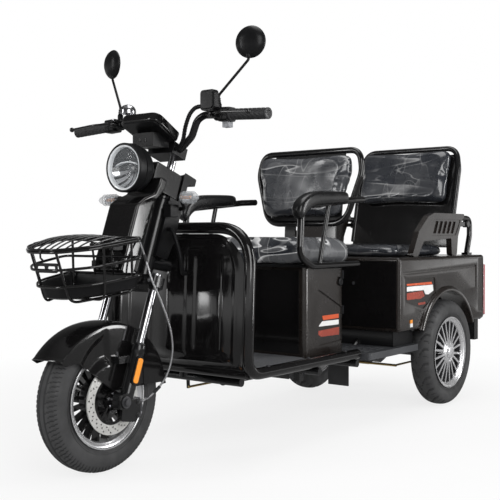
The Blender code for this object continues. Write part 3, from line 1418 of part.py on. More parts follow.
def make_leg_shield():
    low = RAIL_Z + HOOP_BAR_RADIUS + RUNNING_GAP
    high = HOOP_TOP_Z - HOOP_RADIUS - 2 * GAP
    shape = bmesh.new()
    bmesh.ops.create_grid(shape, x_segments=10, y_segments=6, size=1.0)
    for vert in shape.verts:
        rise = (vert.co.y + 1) / 2
        rise = 1 - (1 - rise) ** 1.35
        z = low + (high - low) * rise
        x = vert.co.x * shield_half_width(z)
        vert.co = (x, shield_depth(x, z), z)
    mesh = bpy.data.meshes.new("leg_shield")
    shape.to_mesh(mesh)
    shape.free()
    shield = add_object("leg_shield", mesh, "gloss_black")
    shell = shield.modifiers.new("Wall", "SOLIDIFY")
    shell.thickness = SHIELD_WALL
    shell.offset = 0.0
    smooth(shield, 50)
    neck = steer_point(0, 0, NECK_UP)
    opening = box("neck_opening", (-DOWN_TUBE_RADIUS - 0.008, 0.20, neck.z - 0.058),
                  (DOWN_TUBE_RADIUS + 0.008, 0.42, neck.z + 0.040), "gloss_black")
    carry("tricycle", cut(shield, [opening], "neck_opening"))


def make_floor():
    half = HOOP_HALF_WIDTH - HOOP_RADIUS - GAP
    board = box("floor_board", (-half, FLOOR_FRONT_Y, FLOOR_LOW_Z), (half, BOX_BACK_Y, FLOOR_TOP_Z),
                "matt_black", 0.003)
    slot_x = 0.010
    slot = box("pedal_slot", (PEDAL_X - slot_x, PEDAL_Y - 0.060, 0.15),
               (PEDAL_X + slot_x, PEDAL_Y + 0.040, 0.40),
               "matt_black")
    tube_room = DOWN_TUBE_RADIUS + RUNNING_GAP
    notch = box("tube_notch", (-tube_room, FLOOR_FRONT_Y - 0.01, 0.15),
                (tube_room, FLOOR_FRONT_Y + 2 * tube_room + GAP, 0.40),
                "matt_black")
    carry("tricycle", cut(board, [slot, notch], "openings"))
    make_floor_mat()


def make_floor_mat():
    """A rubber mat whose ribs run from front to back."""
    count = int(2 * MAT_HALF_WIDTH / MAT_PITCH)
    start = -count * MAT_PITCH / 2
    outline = [(-start, 0.0), (start, 0.0)]
    for index in range(count):
        left = start + index * MAT_PITCH
        outline += [
            (left, MAT_THICKNESS), (left + MAT_PITCH * 0.15, MAT_THICKNESS + MAT_RIB),
            (left + MAT_PITCH * 0.55, MAT_THICKNESS + MAT_RIB), (left + MAT_PITCH * 0.70, MAT_THICKNESS),
        ]
    outline.append((-start, MAT_THICKNESS))
    front = FLOOR_FRONT_Y + 0.066
    back = BOX_FRONT_Y - 0.006
    frame = Matrix.Translation((0, (front + back) / 2,
                                FLOOR_TOP_Z + GAP)) @ Matrix.Rotation(math.radians(90), 4, "X")
    mat = plate("floor_mat", outline, back - front, frame, "mat_rubber")
    room = box("pedal_room", (PEDAL_X - 0.040, 0.30, 0.2), (PEDAL_X + 0.040, PEDAL_Y + 0.050, 0.4),
               "mat_rubber")
    carry("tricycle", cut(mat, [room], "pedal_room"))


def make_chassis():
    """The welded frame: head tube, down tube, two long rails, cross tubes, rear step and shock towers."""
    head = drum("chassis", HEAD_RADIUS, HEAD_LOW, HEAD_TOP, STEER, "frame_black", 14)
    pieces = [down_tube("down_tube", DOWN_TUBE_RADIUS)]
    kick_z = CHASSIS_Z + KICK_RISE
    rear_end = CARGO_BACK_Y - 0.020
    for side in (1, -1):
        x = side * CHASSIS_HALF_SPACING
        rail_path = [
            (x, down_tube_y(), CHASSIS_Z), (x, CARGO_FRONT_Y - 0.030, CHASSIS_Z),
            (x, CARGO_FRONT_Y + 0.090, kick_z), (x, rear_end, kick_z),
        ]
        pieces.append(tube("main_rail", rounded(rail_path, [0, 0.04, 0.04, 0], 1), CHASSIS_RADIUS,
                           "frame_black", 1))
        pieces += shock_tower(side, kick_z)
        pieces.append(rear_bracket(side, rear_end, kick_z))
    wide = HOOP_HALF_WIDTH + 0.008
    inside = CARGO_HALF_WIDTH - CARGO_WALL - GAP
    crosses = [
        (down_tube_y(), CHASSIS_Z, wide), (cross_tube_y(), CHASSIS_Z, wide), (BOX_BACK_Y - 0.02,
                                                                              CHASSIS_Z, wide),
        (CARGO_FRONT_Y + 0.110, kick_z, inside), (rear_end - 0.010, kick_z, inside),
    ]
    for y, z, half in crosses:
        pieces.append(tube("cross_tube", [(-half, y, z), (half, y, z)], CROSS_RADIUS, "frame_black", 1))
    pieces.append(
        box("step_plate", (-STEP_HALF_WIDTH, STEP_FRONT_Y, FLOOR_LOW_Z - 0.006),
            (STEP_HALF_WIDTH, STEP_BACK_Y, FLOOR_TOP_Z),
            "step_grey", 0.006)
    )
    pieces += pedal_mounts()
    chassis = join(solid(head), pieces)
    bore = drum("steerer_tunnel", STEERER_RADIUS + RUNNING_GAP, HEAD_LOW - 0.02, HEAD_TOP + 0.02, STEER,
                "frame_black", 14)
    rod_hole = drum("rod_hole", bore_radius(ROD_RADIUS, 8), -0.02, 0.02,
                    axis_frame((ROD_X, cross_tube_y(), ROD_Z), (0, 1, 0)), "frame_black", 8)
    bores = [bore, rod_hole]
    for side in (1, -1):
        top = shock_top()
        frame = Matrix.Translation((side * SHOCK_X, REAR_AXLE_Y, 0))
        bores.append(drum("shock_bore", bore_radius(SHOCK_ROD_RADIUS, 10), 0.15, top - 0.006, frame,
                          "frame_black", 10))
    chassis = cut(chassis, bores, "bores")
    carry("tricycle", chassis)


def cross_tube_y():
    return BOX_FRONT_Y - 0.010


def pedal_mounts():
    """The pin that the foot brake turns on, and the hanger that its rod slides in."""
    pin = drum("pedal_pin", PEDAL_PIN, -CHASSIS_HALF_SPACING, PEDAL_X + PEDAL_BOSS_HALF + 0.004,
               Matrix.Translation((0, PEDAL_Y, CHASSIS_Z)) @ ALONG_X, "frame_black", 8)
    reach = ROD_RADIUS + 0.007
    hanger = box("rod_hanger", (ROD_X - reach, cross_tube_y() - 0.003, ROD_Z - reach),
                 (ROD_X + reach, cross_tube_y() + 0.003, CHASSIS_Z - 0.004), "frame_black")
    return [pin, hanger]


def down_tube_y():
    return FLOOR_FRONT_Y + DOWN_TUBE_RADIUS + RUNNING_GAP


def down_tube(name, radius):
    """The tube from the head tube back through the shield and down behind it."""
    neck = steer_point(0, -0.008, NECK_UP)
    behind = down_tube_y()
    corners = [neck, (0, behind - 0.004, neck.z - 0.026), (0, behind, CHASSIS_Z)]
    return tube(name, rounded(corners, [0, 0.05, 0], 3), radius, "frame_black", 2)


def shock_top():
    return CHASSIS_Z + KICK_RISE + 0.040


def shock_tower(side, kick_z):
    """An upper shock tube beside the rail, welded to it through a short block."""
    frame = Matrix.Translation((side * SHOCK_X, REAR_AXLE_Y, 0))
    low = TYRE_RADIUS + AXLE_TUBE_RADIUS + REAR_TRAVEL + 0.010
    x = sorted((side * (CHASSIS_HALF_SPACING + 0.002), side * SHOCK_X))
    block = box("shock_block", (x[0], REAR_AXLE_Y - 0.013, kick_z - 0.009),
                (x[1], REAR_AXLE_Y + 0.013, kick_z + 0.009),
                "frame_black")
    return [drum("shock_tower", SHOCK_TUBE_RADIUS, low, shock_top(), frame, "frame_black", 10), block]


def rear_bracket(side, rear_end, kick_z):
    """The bracket that hangs under each rear corner."""
    x = sorted((side * (CARGO_HALF_WIDTH - 0.060), side * (CARGO_HALF_WIDTH - 0.022)))
    return box("rear_bracket", (x[0], rear_end - 0.028, kick_z - 0.100),
               (x[1], rear_end + 0.009, kick_z + 0.006),
               "frame_black")


# Driver's seat


def make_seat_box():
    low = (-BOX_HALF_WIDTH, BOX_FRONT_Y, BOX_LOW_Z)
    high = (BOX_HALF_WIDTH, BOX_BACK_Y, BOX_TOP_Z + 2 * BOX_EDGE)
    shell = box("seat_box", low, high, "brown_black", BOX_EDGE)
    above_low = (-BOX_HALF_WIDTH - BOX_EDGE, BOX_FRONT_Y - BOX_EDGE, BOX_TOP_Z)
    above_high = (BOX_HALF_WIDTH + BOX_EDGE, BOX_BACK_Y + BOX_EDGE, BOX_TOP_Z + 4 * BOX_EDGE)
    above = box("seat_box_above", above_low, above_high, "brown_black")
    inner_low = (-BOX_HALF_WIDTH + BOX_WALL, BOX_FRONT_Y + BOX_WALL, BOX_LOW_Z + BOX_WALL)
    inner_high = (BOX_HALF_WIDTH - BOX_WALL, BOX_BACK_Y - BOX_WALL, BOX_TOP_Z + 5 * BOX_EDGE)
    hollow = box("seat_box_hollow", inner_low, inner_high, "brown_black")
    port = drum("charge_port", 0.010, BOX_HALF_WIDTH - 0.02, BOX_HALF_WIDTH + 0.02,
                Matrix.Translation((0, charge_cap_place().y,
                                    charge_cap_place().z)) @ ALONG_X, "brown_black", 14)
    carry("tricycle", cut(shell, [hollow, port, above], "hollow"))
    battery_low = BOX_LOW_Z + BOX_WALL + GAP
    middle = (BOX_FRONT_Y + BOX_BACK_Y) / 2
    battery = box(
        "battery_pack", (-BATTERY_HALF_WIDTH, middle - BATTERY_LENGTH / 2, battery_low),
        (BATTERY_HALF_WIDTH, middle + BATTERY_LENGTH / 2,
         battery_low + BATTERY_HEIGHT), "battery_case", 0.004,
    )
    carry("tricycle", battery)


def charge_cap_place():
    """The centre of the round cap, on the seat box's left side."""
    return Vector((BOX_HALF_WIDTH + GAP, BOX_BACK_Y - 0.026, BOX_TOP_Z - 0.056))


def charge_cap_hinge():
    return charge_cap_place() + Vector((0.003, 0, 0.0155))


def make_charge_cap():
    place = charge_cap_place()
    frame = Matrix.Translation(place) @ ALONG_X
    cap = solid(drum("charge_cap", 0.0135, 0.0, 0.006, frame, "button_grey", 12))
    hinge = drum("cap_hinge", 0.0028, -0.006, 0.006,
                 Matrix.Translation(charge_cap_hinge()) @ Matrix.Rotation(
        math.radians(90), 4, "X"), "button_grey", 8)
    carry("charge_cap", join(cap, [hinge]))


def cushion(name, half_x, half_y, low, height, crown, pull, corner, material, frame=None, taper=1.0):
    """A crowned pad: flat underneath, its sides drawn in between the corners, swelling at the top."""
    shape = bmesh.new()
    bmesh.ops.create_cube(shape, size=2.0)
    level = [edge for edge in shape.edges if abs(edge.verts[0].co.z - edge.verts[1].co.z) < 0.5]
    bmesh.ops.subdivide_edges(shape, edges=level, cuts=2, use_grid_fill=True)
    for vert in shape.verts:
        u, v, w = vert.co
        narrow = taper + (1 - taper) * (v + 1) / 2
        side_x = half_x * narrow * (1 - pull * (1 - v * v) * u * u)
        side_y = half_y * (1 - pull * (1 - u * u) * v * v)
        x = side_x * u * math.sqrt(1 - corner * v * v)
        y = side_y * v * math.sqrt(1 - corner * u * u)
        edge = (1 - u**4) * (1 - v**4)
        z = low + height * (w + 1) / 2 * (1 - crown + crown * edge**0.6)
        vert.co = (x, y, z)
    mesh = bpy.data.meshes.new(name)
    shape.to_mesh(mesh)
    shape.free()
    obj = add_object(name, mesh, material, frame)
    soften = obj.modifiers.new("Soft", "SUBSURF")
    soften.levels = 1
    soften.render_levels = 1
    sunk = PAD_SINK * height
    fill_out(obj, (half_x, half_y, low - sunk, height + sunk))
    reach = 2 * max(half_x, half_y)
    below = box(name + "_floor", (-reach, -reach, low - reach), (reach, reach, low), material, frame=frame)
    return cut(smooth(obj, 180), [below], "flat_underneath")


def fill_out(obj, size):
    """Grows a pad's cage, which softening draws in, until the soft pad has its full size."""
    half_x, half_y, low, height = size
    bpy.context.view_layer.update()
    graph = bpy.context.evaluated_depsgraph_get()
    soft = bpy.data.meshes.new_from_object(obj.evaluated_get(graph))
    reach_x = max(vert.co.x for vert in soft.vertices)
    reach_y = max(vert.co.y for vert in soft.vertices)
    bottom = min(vert.co.z for vert in soft.vertices)
    top = max(vert.co.z for vert in soft.vertices)
    bpy.data.meshes.remove(soft)
    for vert in obj.data.vertices:
        vert.co.x *= half_x / reach_x
        vert.co.y *= half_y / reach_y
        vert.co.z = low + (vert.co.z - bottom) * height / (top - bottom)


def make_driver_seat():
    front = BOX_FRONT_Y - PAN_FRONT_LIP
    back = front + PAN_LENGTH
    pan = box("seat_pan", (-PAN_HALF_WIDTH, front, PAN_LOW_Z),
              (PAN_HALF_WIDTH, back, PAN_LOW_Z + PAN_THICKNESS),
              "matt_black", 0.003)
    pad_middle = front - CUSHION_AHEAD + CUSHION_LENGTH / 2
    pad = cushion(
        "driver_cushion", ARM_X - ARM_TUBE - CUSHION_SIDE_GAP, CUSHION_LENGTH / 2, 0.0, CUSHION_HEIGHT,
        0.30, 0.03, 0.10, "seat_vinyl", Matrix.Translation((0, pad_middle, CUSHION_LOW_Z)),
    )
    pan = join(pan, [piece for side in (1, -1) for piece in armrest_tubes(side)])
    carry("driver_seat", pan, pad)
    make_driver_backrest()
    for side in (1, -1):
        make_arm_pad(side)


def back_frame():
    """The driver's backrest plane: Z up the pad, Y back."""
    return Matrix.Translation((0, BACK_Y, BACK_LOW_Z)) @ Matrix.Rotation(-BACK_LEAN, 4, "X")


def make_driver_backrest():
    frame = back_frame()
    corners = [
        (BACK_HALF_LOW, 0, 0), (BACK_HALF_TOP + 0.006, 0, BACK_HEIGHT * 0.70), (BACK_HALF_TOP - 0.010, 0,
                                                                                BACK_HEIGHT),
        (-BACK_HALF_TOP + 0.010, 0, BACK_HEIGHT), (-BACK_HALF_TOP - 0.006, 0,
                                                   BACK_HEIGHT * 0.70), (-BACK_HALF_LOW, 0, 0),
    ]
    path = [frame @ point for point in rounded(corners, [0.075, 0.10, 0.055, 0.055, 0.10, 0.075], 2,
                                               closed=True)]
    hoop = solid(tube("driver_back_frame", path, BACK_TUBE, "frame_black", 1, closed=True))
    pieces = []
    pan_back = BOX_FRONT_Y - PAN_FRONT_LIP + PAN_LENGTH
    for side in (1, -1):
        inner = side * BRACKET_X - BRACKET_WIDTH / 2
        outer = inner + BRACKET_WIDTH
        foot_z = PAN_LOW_Z - GAP - BRACKET_WALL
        rise_y = pan_back + 0.040
        top = frame @ Vector((0, 0, 0.004))
        outline = [
            (BOX_BACK_Y + 0.004, foot_z), (rise_y + BRACKET_WALL, foot_z), (rise_y + BRACKET_WALL + 0.010,
                                                                            top.z),
            (rise_y + 0.010, top.z + 0.006), (top.y - 0.004, top.z + 0.004), (top.y - 0.004, top.z - 0.003),
            (rise_y + 0.008, top.z - 0.002), (rise_y, foot_z + BRACKET_WALL), (BOX_BACK_Y + 0.004,
                                                                               foot_z + BRACKET_WALL),
        ]
        middle = Matrix.Translation(((inner + outer) / 2, 0, 0)) @ SIDE_VIEW
        pieces.append(plate(f"bracket_{side}", outline, BRACKET_WIDTH, middle, "frame_black"))
    board = box("back_board", (-BACK_HALF_LOW * 0.9, -0.004, 0.006),
                (BACK_HALF_LOW * 0.9, 0.004, BACK_HEIGHT - 0.006),
                "matt_black", frame=frame)
    pieces.append(board)
    carry("driver_seat", join(hoop, pieces))
    half = BACK_HEIGHT / 2 - BACK_TUBE - PAD_EDGE_GAP
    turn = Matrix.Translation((0, -0.0045, BACK_HEIGHT / 2)) @ Matrix.Rotation(math.radians(90), 4, "X")
    pad = cushion(
        "driver_back_pad", BACK_HALF_TOP - BACK_TUBE - PAD_EDGE_GAP, half, 0.0, PAD_THICKNESS, 0.34, 0.02,
        0.16,
        "seat_vinyl", frame @ turn, taper=0.80,
    )
    carry("driver_seat", pad)


def armrest_path(side):
    """The armrest tube: from the backrest forward under the pad, down, and back along the pan."""
    x = side * ARM_X
    low_z = PAN_LOW_Z + PAN_THICKNESS / 2
    join_at = back_frame() @ Vector((side * (BACK_HALF_TOP + 0.004 + BACK_TUBE + 0.001), -0.004,
                                     ARM_TOP_Z - BACK_LOW_Z + 0.004))
    back = BOX_FRONT_Y - PAN_FRONT_LIP + PAN_LENGTH
    corners = [
        join_at, (x, join_at.y - 0.075, ARM_TOP_Z), (x, ARM_FRONT_Y + 0.010, ARM_TOP_Z - 0.030),
        (x, ARM_FRONT_Y, low_z + 0.030), (x, ARM_FRONT_Y + 0.075, low_z), (x, back - 0.02, low_z),
    ]
    return rounded(corners, [0, 0.06, 0.045, 0.05, 0.05, 0], 2)


def armrest_tubes(side):
    """The armrest's bent tube and the straight post under it, welded to the pan's edge."""
    rail = tube(f"arm_rail_{side}", armrest_path(side), ARM_TUBE, "frame_black", 1)
    x = side * ARM_X
    top = Vector((x, ARM_FRONT_Y + 0.175, ARM_TOP_Z - 0.012))
    foot = Vector((x, ARM_FRONT_Y + 0.115, PAN_LOW_Z + PAN_THICKNESS / 2))
    return [rail, tube(f"arm_post_{side}", [foot, top], 0.008, "frame_black", 1)]


def make_arm_pad(side):
    """A moulded pad that wraps the tube and droops over its front bend."""
    word = "left" if side > 0 else "right"
    path = armrest_path(side)
    x = side * ARM_X
    rings = []
    stations = (
        (0.000, -0.070, 0.012, 0.62), (0.004, -0.050, 0.020, 0.80), (0.022, -0.024, 0.026, 0.95),
        (0.070, -0.002, 0.025, 1.0), (0.180, 0.006, 0.023, 1.0), (0.262, 0.010, 0.021, 0.95), (0.285,
                                                                                               0.010,
                                                                                               0.016, 0.80),
    )
    for along, lift, half_height, width in stations:
        y = ARM_FRONT_Y - 0.012 + along * ARM_PAD_LENGTH / 0.285
        z = ARM_TOP_Z + lift - 0.004
        lean = 0.9 if along < 0.01 else (0.45 if along < 0.03 else 0.0)
        ring = []
        for step in range(ARM_PAD_SIDES):
            angle = 2 * math.pi * step / ARM_PAD_SIDES
            across = ARM_PAD_HALF_WIDTH * width * math.cos(angle)
            up = half_height * math.sin(angle)
            ring.append(Vector((x + across, y - up * lean, z + up * (1 - 0.4 * lean))))
        rings.append(ring)
    pad = loft(f"{word}_arm_pad", rings, "matt_black")
    smooth(pad, 60)
    tunnel = tube(f"arm_tunnel_{word}", path, ARM_TUBE + 0.0006, "matt_black", 1)
    slot_low = (x - ARM_TUBE - 0.0006, ARM_FRONT_Y - 0.05, ARM_TOP_Z - 0.15)
    slot_high = (x + ARM_TUBE + 0.0006, ARM_FRONT_Y + 0.5, ARM_TOP_Z - 0.022)
    slot = box(f"arm_slot_{word}", slot_low, slot_high, "matt_black")
    pad = cut(pad, [tunnel, slot], "tunnel")
    carry("driver_seat", pad)


# Cargo body and passenger seat


def make_cargo_body():
    """A pressed body: side skirts with wheel arches, a deck and a storage tub under the bench."""
    half = CARGO_HALF_WIDTH
    body = box("cargo_body", (-half, CARGO_FRONT_Y, CARGO_LOW_Z - 0.02),
               (half, CARGO_BACK_Y, CARGO_TOP_Z), "brown_black",
               CARGO_EDGE)
    wall = CARGO_WALL
    hollow = box(
        "cargo_hollow", (-half + wall, CARGO_FRONT_Y + wall, CARGO_LOW_Z - 0.05),
        (half - wall, CARGO_BACK_Y - wall, CARGO_TOP_Z - wall), "brown_black", CARGO_EDGE - wall,
    )
    body = cut(body, [hollow], "hollow")
    tub = box(
        "tub", (-TUB_HALF_WIDTH - wall, TUB_FRONT_Y - wall, TUB_FLOOR_Z), (TUB_HALF_WIDTH + wall,
                                                                           TUB_BACK_Y + wall,
                                                                           CARGO_TOP_Z - 0.001),
        "brown_black",
    )
    arch = TYRE_RADIUS + ARCH_GAP
    lips = []
    for side in (1, -1):
        frame = Matrix.Translation((side * half, REAR_AXLE_Y,
                                    TYRE_RADIUS)) @ Matrix.Rotation(math.radians(90 * side), 4, "Y")
        lips.append(drum(f"arch_lip_{side}", arch + ARCH_LIP, -0.003, ARCH_FLARE, frame, "brown_black", 24))
    body = join(body, [tub, *lips], "tub_and_lips")
    opening = box(
        "tub_opening", (-TUB_HALF_WIDTH, TUB_FRONT_Y, TUB_FLOOR_Z + wall), (TUB_HALF_WIDTH, TUB_BACK_Y,
                                                                            CARGO_TOP_Z + 0.05),
        "brown_black",
    )
    arch_cut = []
    for side in (1, -1):
        frame = Matrix.Translation((side * half, REAR_AXLE_Y,
                                    TYRE_RADIUS)) @ Matrix.Rotation(math.radians(90 * side), 4, "Y")
        arch_cut.append(drum(f"arch_{side}", arch, -0.08, 0.05, frame, "brown_black", 24))
    below = box("below_skirts", (-0.6, CARGO_FRONT_Y - 0.1, -0.2), (0.6, CARGO_BACK_Y + 0.1, CARGO_LOW_Z),
                "brown_black")
    body = cut(body, [opening, below, *arch_cut], "openings")
    carry("tricycle", body)


def make_tail_light(side):
    word = "left" if side > 0 else "right"
    outer = CARGO_HALF_WIDTH - 0.002
    x = sorted((side * outer, side * (outer - TAIL_LIGHT_WIDTH)))
    low_z = CARGO_LOW_Z + 0.012
    light = box(
        f"{word}_tail_light", (x[0], CARGO_BACK_Y + GAP, low_z), (x[1], CARGO_BACK_Y + TAIL_LIGHT_DEPTH,
                                                                  low_z + TAIL_LIGHT_HEIGHT),
        "lens_red", 0.006,
    )
    carry("tricycle", light)


def make_bench():
    middle = BENCH_FRONT_Y + BENCH_LENGTH / 2
    pad = cushion(
        "bench_cushion", BENCH_HALF_WIDTH, BENCH_LENGTH / 2, 0.0, BENCH_HEIGHT, 0.25, 0.02, 0.08,
        "seat_vinyl",
        Matrix.Translation((0, middle, CARGO_TOP_Z + GAP)),
    )
    carry("bench", pad)


def rear_back_frame():
    return Matrix.Translation((0, REAR_BACK_Y, REAR_BACK_LOW_Z)) @ Matrix.Rotation(-REAR_LEAN, 4, "X")


def make_rear_backrest():
    """The passengers' backrest: a tube round the pad, a board below it and a hinge ear at each side."""
    frame = rear_back_frame()
    half = REAR_BACK_HALF
    corners = [
        (half, 0, 0.024), (half + 0.004, 0, REAR_BACK_HEIGHT * 0.78), (half - 0.016, 0, REAR_BACK_HEIGHT),
        (-half + 0.016, 0, REAR_BACK_HEIGHT), (-half - 0.004, 0, REAR_BACK_HEIGHT * 0.78), (-half, 0,
                                                                                            0.024),
    ]
    path = [frame @ point for point in rounded(corners, [0, 0.12, 0.06, 0.06, 0.12, 0], 2)]
    hoop = solid(tube("rear_back_frame", path, BACK_TUBE, "frame_black", 1))
    board = box("rear_board", (-half, -0.005, 0.0), (half, 0.005, REAR_BACK_HEIGHT - 0.03), "matt_black",
                frame=frame)
    pieces = [board]
    hinge_local = frame.inverted() @ Vector((0, REAR_HINGE_Y, REAR_HINGE_Z))
    for side in (1, -1):
        ear_x = sorted((side * (half - 0.010), side * (half + BACK_TUBE + 0.001)))
        pieces.append(
            box(f"hinge_ear_{side}", (ear_x[0], -0.004, hinge_local.z - 0.018),
                (ear_x[1], hinge_local.y, hinge_local.z + 0.018),
                "frame_black", frame=frame)
        )
        pin_frame = Matrix.Translation((0, REAR_HINGE_Y, REAR_HINGE_Z)) @ ALONG_X
        pin_x = sorted((side * (half - 0.004), side * (REAR_ARM_X - REAR_ARM_WIDTH / 2 - GAP)))
        pieces.append(drum(f"hinge_pin_{side}", 0.010, pin_x[0], pin_x[1], pin_frame, "frame_black", 14))
    carry("rear_backrest", join(hoop, pieces))
    pad_half = REAR_PAD_HEIGHT / 2
    pad_middle = REAR_BACK_HEIGHT - BACK_TUBE - PAD_EDGE_GAP - pad_half
    turn = Matrix.Translation((0, -0.005 - GAP, pad_middle)) @ Matrix.Rotation(math.radians(90), 4, "X")
    pad = cushion(
        "rear_back_pad", half - BACK_TUBE - PAD_EDGE_GAP, pad_half, 0.0, PAD_THICKNESS, 0.34, 0.02, 0.16,
        "seat_vinyl", frame @ turn, taper=0.97,
    )
    carry("rear_backrest", pad)


def make_rear_armrest(side):
    """A moulded armrest with a louvred side panel, a sloping front leg, a rear post and a rear tube."""
    word = "left" if side > 0 else "right"
    foot = CARGO_TOP_Z + GAP
    top = REAR_ARM_TOP_Z
    front = CARGO_FRONT_Y + 0.185
    rear = CARGO_BACK_Y - 0.100
    outline = [
        (front, foot), (front + 0.048, foot), (front + 0.098, foot + 0.058), (rear - 0.125, foot + 0.070),
        (rear - 0.120, foot), (rear - 0.072, foot), (rear - 0.060, foot + 0.078), (rear - 0.020,
                                                                                   top - 0.024),
        (rear, top - 0.014), (rear, top), (front + 0.190, top), (front + 0.140,
                                                                 top - 0.014), (front + 0.058,
                                                                                foot + 0.098),
    ]
    frame = Matrix.Translation((side * REAR_ARM_X, 0, 0)) @ SIDE_VIEW
    arm = plate(f"{word}_rear_armrest", outline, REAR_ARM_WIDTH, frame, "brown_black")
    x = side * REAR_ARM_X
    path = rounded(
        [(x, rear - 0.020, top - 0.016), (x, rear + 0.078, top - 0.018), (x, rear + 0.078, top - 0.090),
         (x, rear + 0.050, foot + 0.007)],
        [0, 0.050, 0.04, 0], 3,
    )
    loop = tube(f"rear_loop_{word}", path, 0.0115, "frame_black", 1)
    boss = drum(f"hinge_boss_{word}", 0.014, -REAR_ARM_WIDTH / 2, REAR_ARM_WIDTH / 2,
                Matrix.Translation((x, REAR_HINGE_Y, REAR_HINGE_Z)) @ ALONG_X, "frame_black", 12)
    stay = box(f"hinge_stay_{word}", (x - 0.006, rear - 0.046, REAR_HINGE_Z - 0.008),
               (x + 0.006, rear + 0.074, REAR_HINGE_Z + 0.008),
               "frame_black")
    shoe = box(f"loop_shoe_{word}", (x - 0.014, rear + 0.030, foot),
               (x + 0.014, rear + 0.072, foot + 0.009), "frame_black")
    carry("tricycle", join(arm, [loop, boss, stay, shoe]))


# Rear axle and brake


def make_rear_axle():
    """A tube axle with gearcase, motor, brake backing plates, wheel stubs and shock rods."""
    frame = Matrix.Translation((0, REAR_AXLE_Y, TYRE_RADIUS)) @ ALONG_X
    plate_in = WHEEL_X - BRAKE_DRUM_HALF - 0.012
    plate_out = plate_in + 0.008
    stub_end = WHEEL_X + REAR_HUB_OUT - 0.006
    half = [
        (STUB_RADIUS, stub_end), (STUB_RADIUS, plate_out), (BACKING_PLATE_RADIUS, plate_out),
        (BACKING_PLATE_RADIUS, plate_in), (AXLE_TUBE_RADIUS, plate_in - 0.004), (AXLE_TUBE_RADIUS, 0.070),
        (GEARCASE_RADIUS, 0.035),
    ]
    other = [(radius, -height) for radius, height in reversed(half)]
    profile = [(0.0, stub_end), *half, *other, (0.0, -stub_end)]
    axle = solid(turned("rear_axle", profile, frame, "castings", 10))
    pieces = []
    for side in (1, -1):
        rod_frame = Matrix.Translation((side * SHOCK_X, REAR_AXLE_Y, 0))
        top = shock_top() - 0.006 - REAR_TRAVEL - 0.004
        pieces.append(drum(f"shock_rod_{side}", SHOCK_ROD_RADIUS, TYRE_RADIUS, top, rod_frame, "castings",
                           10))
        lever_x = sorted((side * (DRUM_ROD_X + ROD_RADIUS + GAP), side * (plate_in + 0.004)))
        pieces.append(
            box(f"brake_lever_{side}", (lever_x[0], REAR_AXLE_Y - 0.054, ROD_Z - 0.008),
                (lever_x[1], REAR_AXLE_Y - 0.041, ROD_Z + 0.008), "castings")
        )
    motor_frame = Matrix.Translation((-0.030, REAR_AXLE_Y - GEARCASE_RADIUS - MOTOR_RADIUS * 0.75,
                                      TYRE_RADIUS)) @ ALONG_X
    motor = drum("drive_motor", MOTOR_RADIUS, -MOTOR_LENGTH / 2, MOTOR_LENGTH / 2, motor_frame,
                 "castings", 12)
    pieces.append(motor)
    carry("rear_axle", join(axle, pieces))


def make_foot_brake():
    """A pedal on the pin of the right rail, and the rod from its crank to the rear brakes."""
    pivot = Vector((PEDAL_X, PEDAL_Y, CHASSIS_Z))
    foot = pivot + Vector((0, -0.040, PEDAL_ARM))
    crank = pivot + Vector((0, 0.004, -PEDAL_CRANK - PEDAL_TUBE))
    arm = solid(tube("brake_pedal", [crank, pivot, foot], PEDAL_TUBE, "frame_black", 2))
    pad_frame = Matrix.Translation(foot) @ Matrix.Rotation(math.radians(28), 4, "X")
    pad = box("pedal_pad", (-0.030, -0.024, -0.004), (0.030, 0.024, 0.005), "grip_rubber", 0.003, pad_frame)
    pin_frame = Matrix.Translation(pivot) @ ALONG_X
    boss = drum("pedal_boss", PEDAL_BOSS_RADIUS, -PEDAL_BOSS_HALF, PEDAL_BOSS_HALF, pin_frame,
                "frame_black", 10)
    pedal = join(arm, [pad, boss])
    bore = drum("pedal_bore", bore_radius(PEDAL_PIN, 10), -0.02, 0.02, pin_frame, "frame_black", 10)
    carry("pedal", cut(pedal, [bore], "pin_bore"))
    bar_y = REAR_AXLE_Y - EQUALISER_AHEAD
    rod_path = [(ROD_X, PEDAL_Y - 0.006, ROD_Z), (ROD_X, bar_y, ROD_Z)]
    rod = solid(tube("brake_rod", rod_path, ROD_RADIUS, "yellow_zinc", 1))
    bar_path = [(-EQUALISER_HALF, bar_y, ROD_Z), (EQUALISER_HALF, bar_y, ROD_Z)]
    pieces = [tube("equaliser", bar_path, ROD_RADIUS * 1.3, "yellow_zinc", 1)]
    for side in (1, -1):
        x = side * DRUM_ROD_X
        path = [(x, bar_y, ROD_Z), (x, REAR_AXLE_Y - 0.040, ROD_Z)]
        pieces.append(tube(f"drum_rod_{side}", path, ROD_RADIUS, "yellow_zinc", 1))
    carry("brake_rod", join(rod, pieces))


def build():
    make_materials()
    make_pivots()
    make_front_wheel()
    for side in (1, -1):
        make_rear_wheel(side)
    make_fork()
    for side in (1, -1):
        make_fork_leg(side)
    make_front_axle()
    make_caliper()
    make_fender()
    make_brake_hose()
    make_front_panel()
    make_headlight()
    make_column_cover()
    make_handlebar()
    make_grips()
    make_turn_signals()
    for side in (1, -1):
        make_pod(side)
        make_lever(side)
        make_mirror(side)
    make_horn_button()
    make_dash()
    make_bell()
    make_bar_loom()
    make_frame_loom()
    make_basket()
    make_basket_lid()
    make_guard_hoop()
    make_leg_shield()
    make_floor()
    make_chassis()
    make_seat_box()
    make_charge_cap()
    make_driver_seat()
    make_cargo_body()
    for side in (1, -1):
        make_tail_light(side)
        make_rear_armrest(side)
    make_bench()
    make_rear_backrest()
    make_rear_axle()
    make_foot_brake()


clear_scene()
PARTS = make_collection("electric_tricycle")
HELPERS = make_collection("cutters")
build()
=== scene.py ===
import math

import bmesh
import bpy
from mathutils import Matrix, Vector, noise


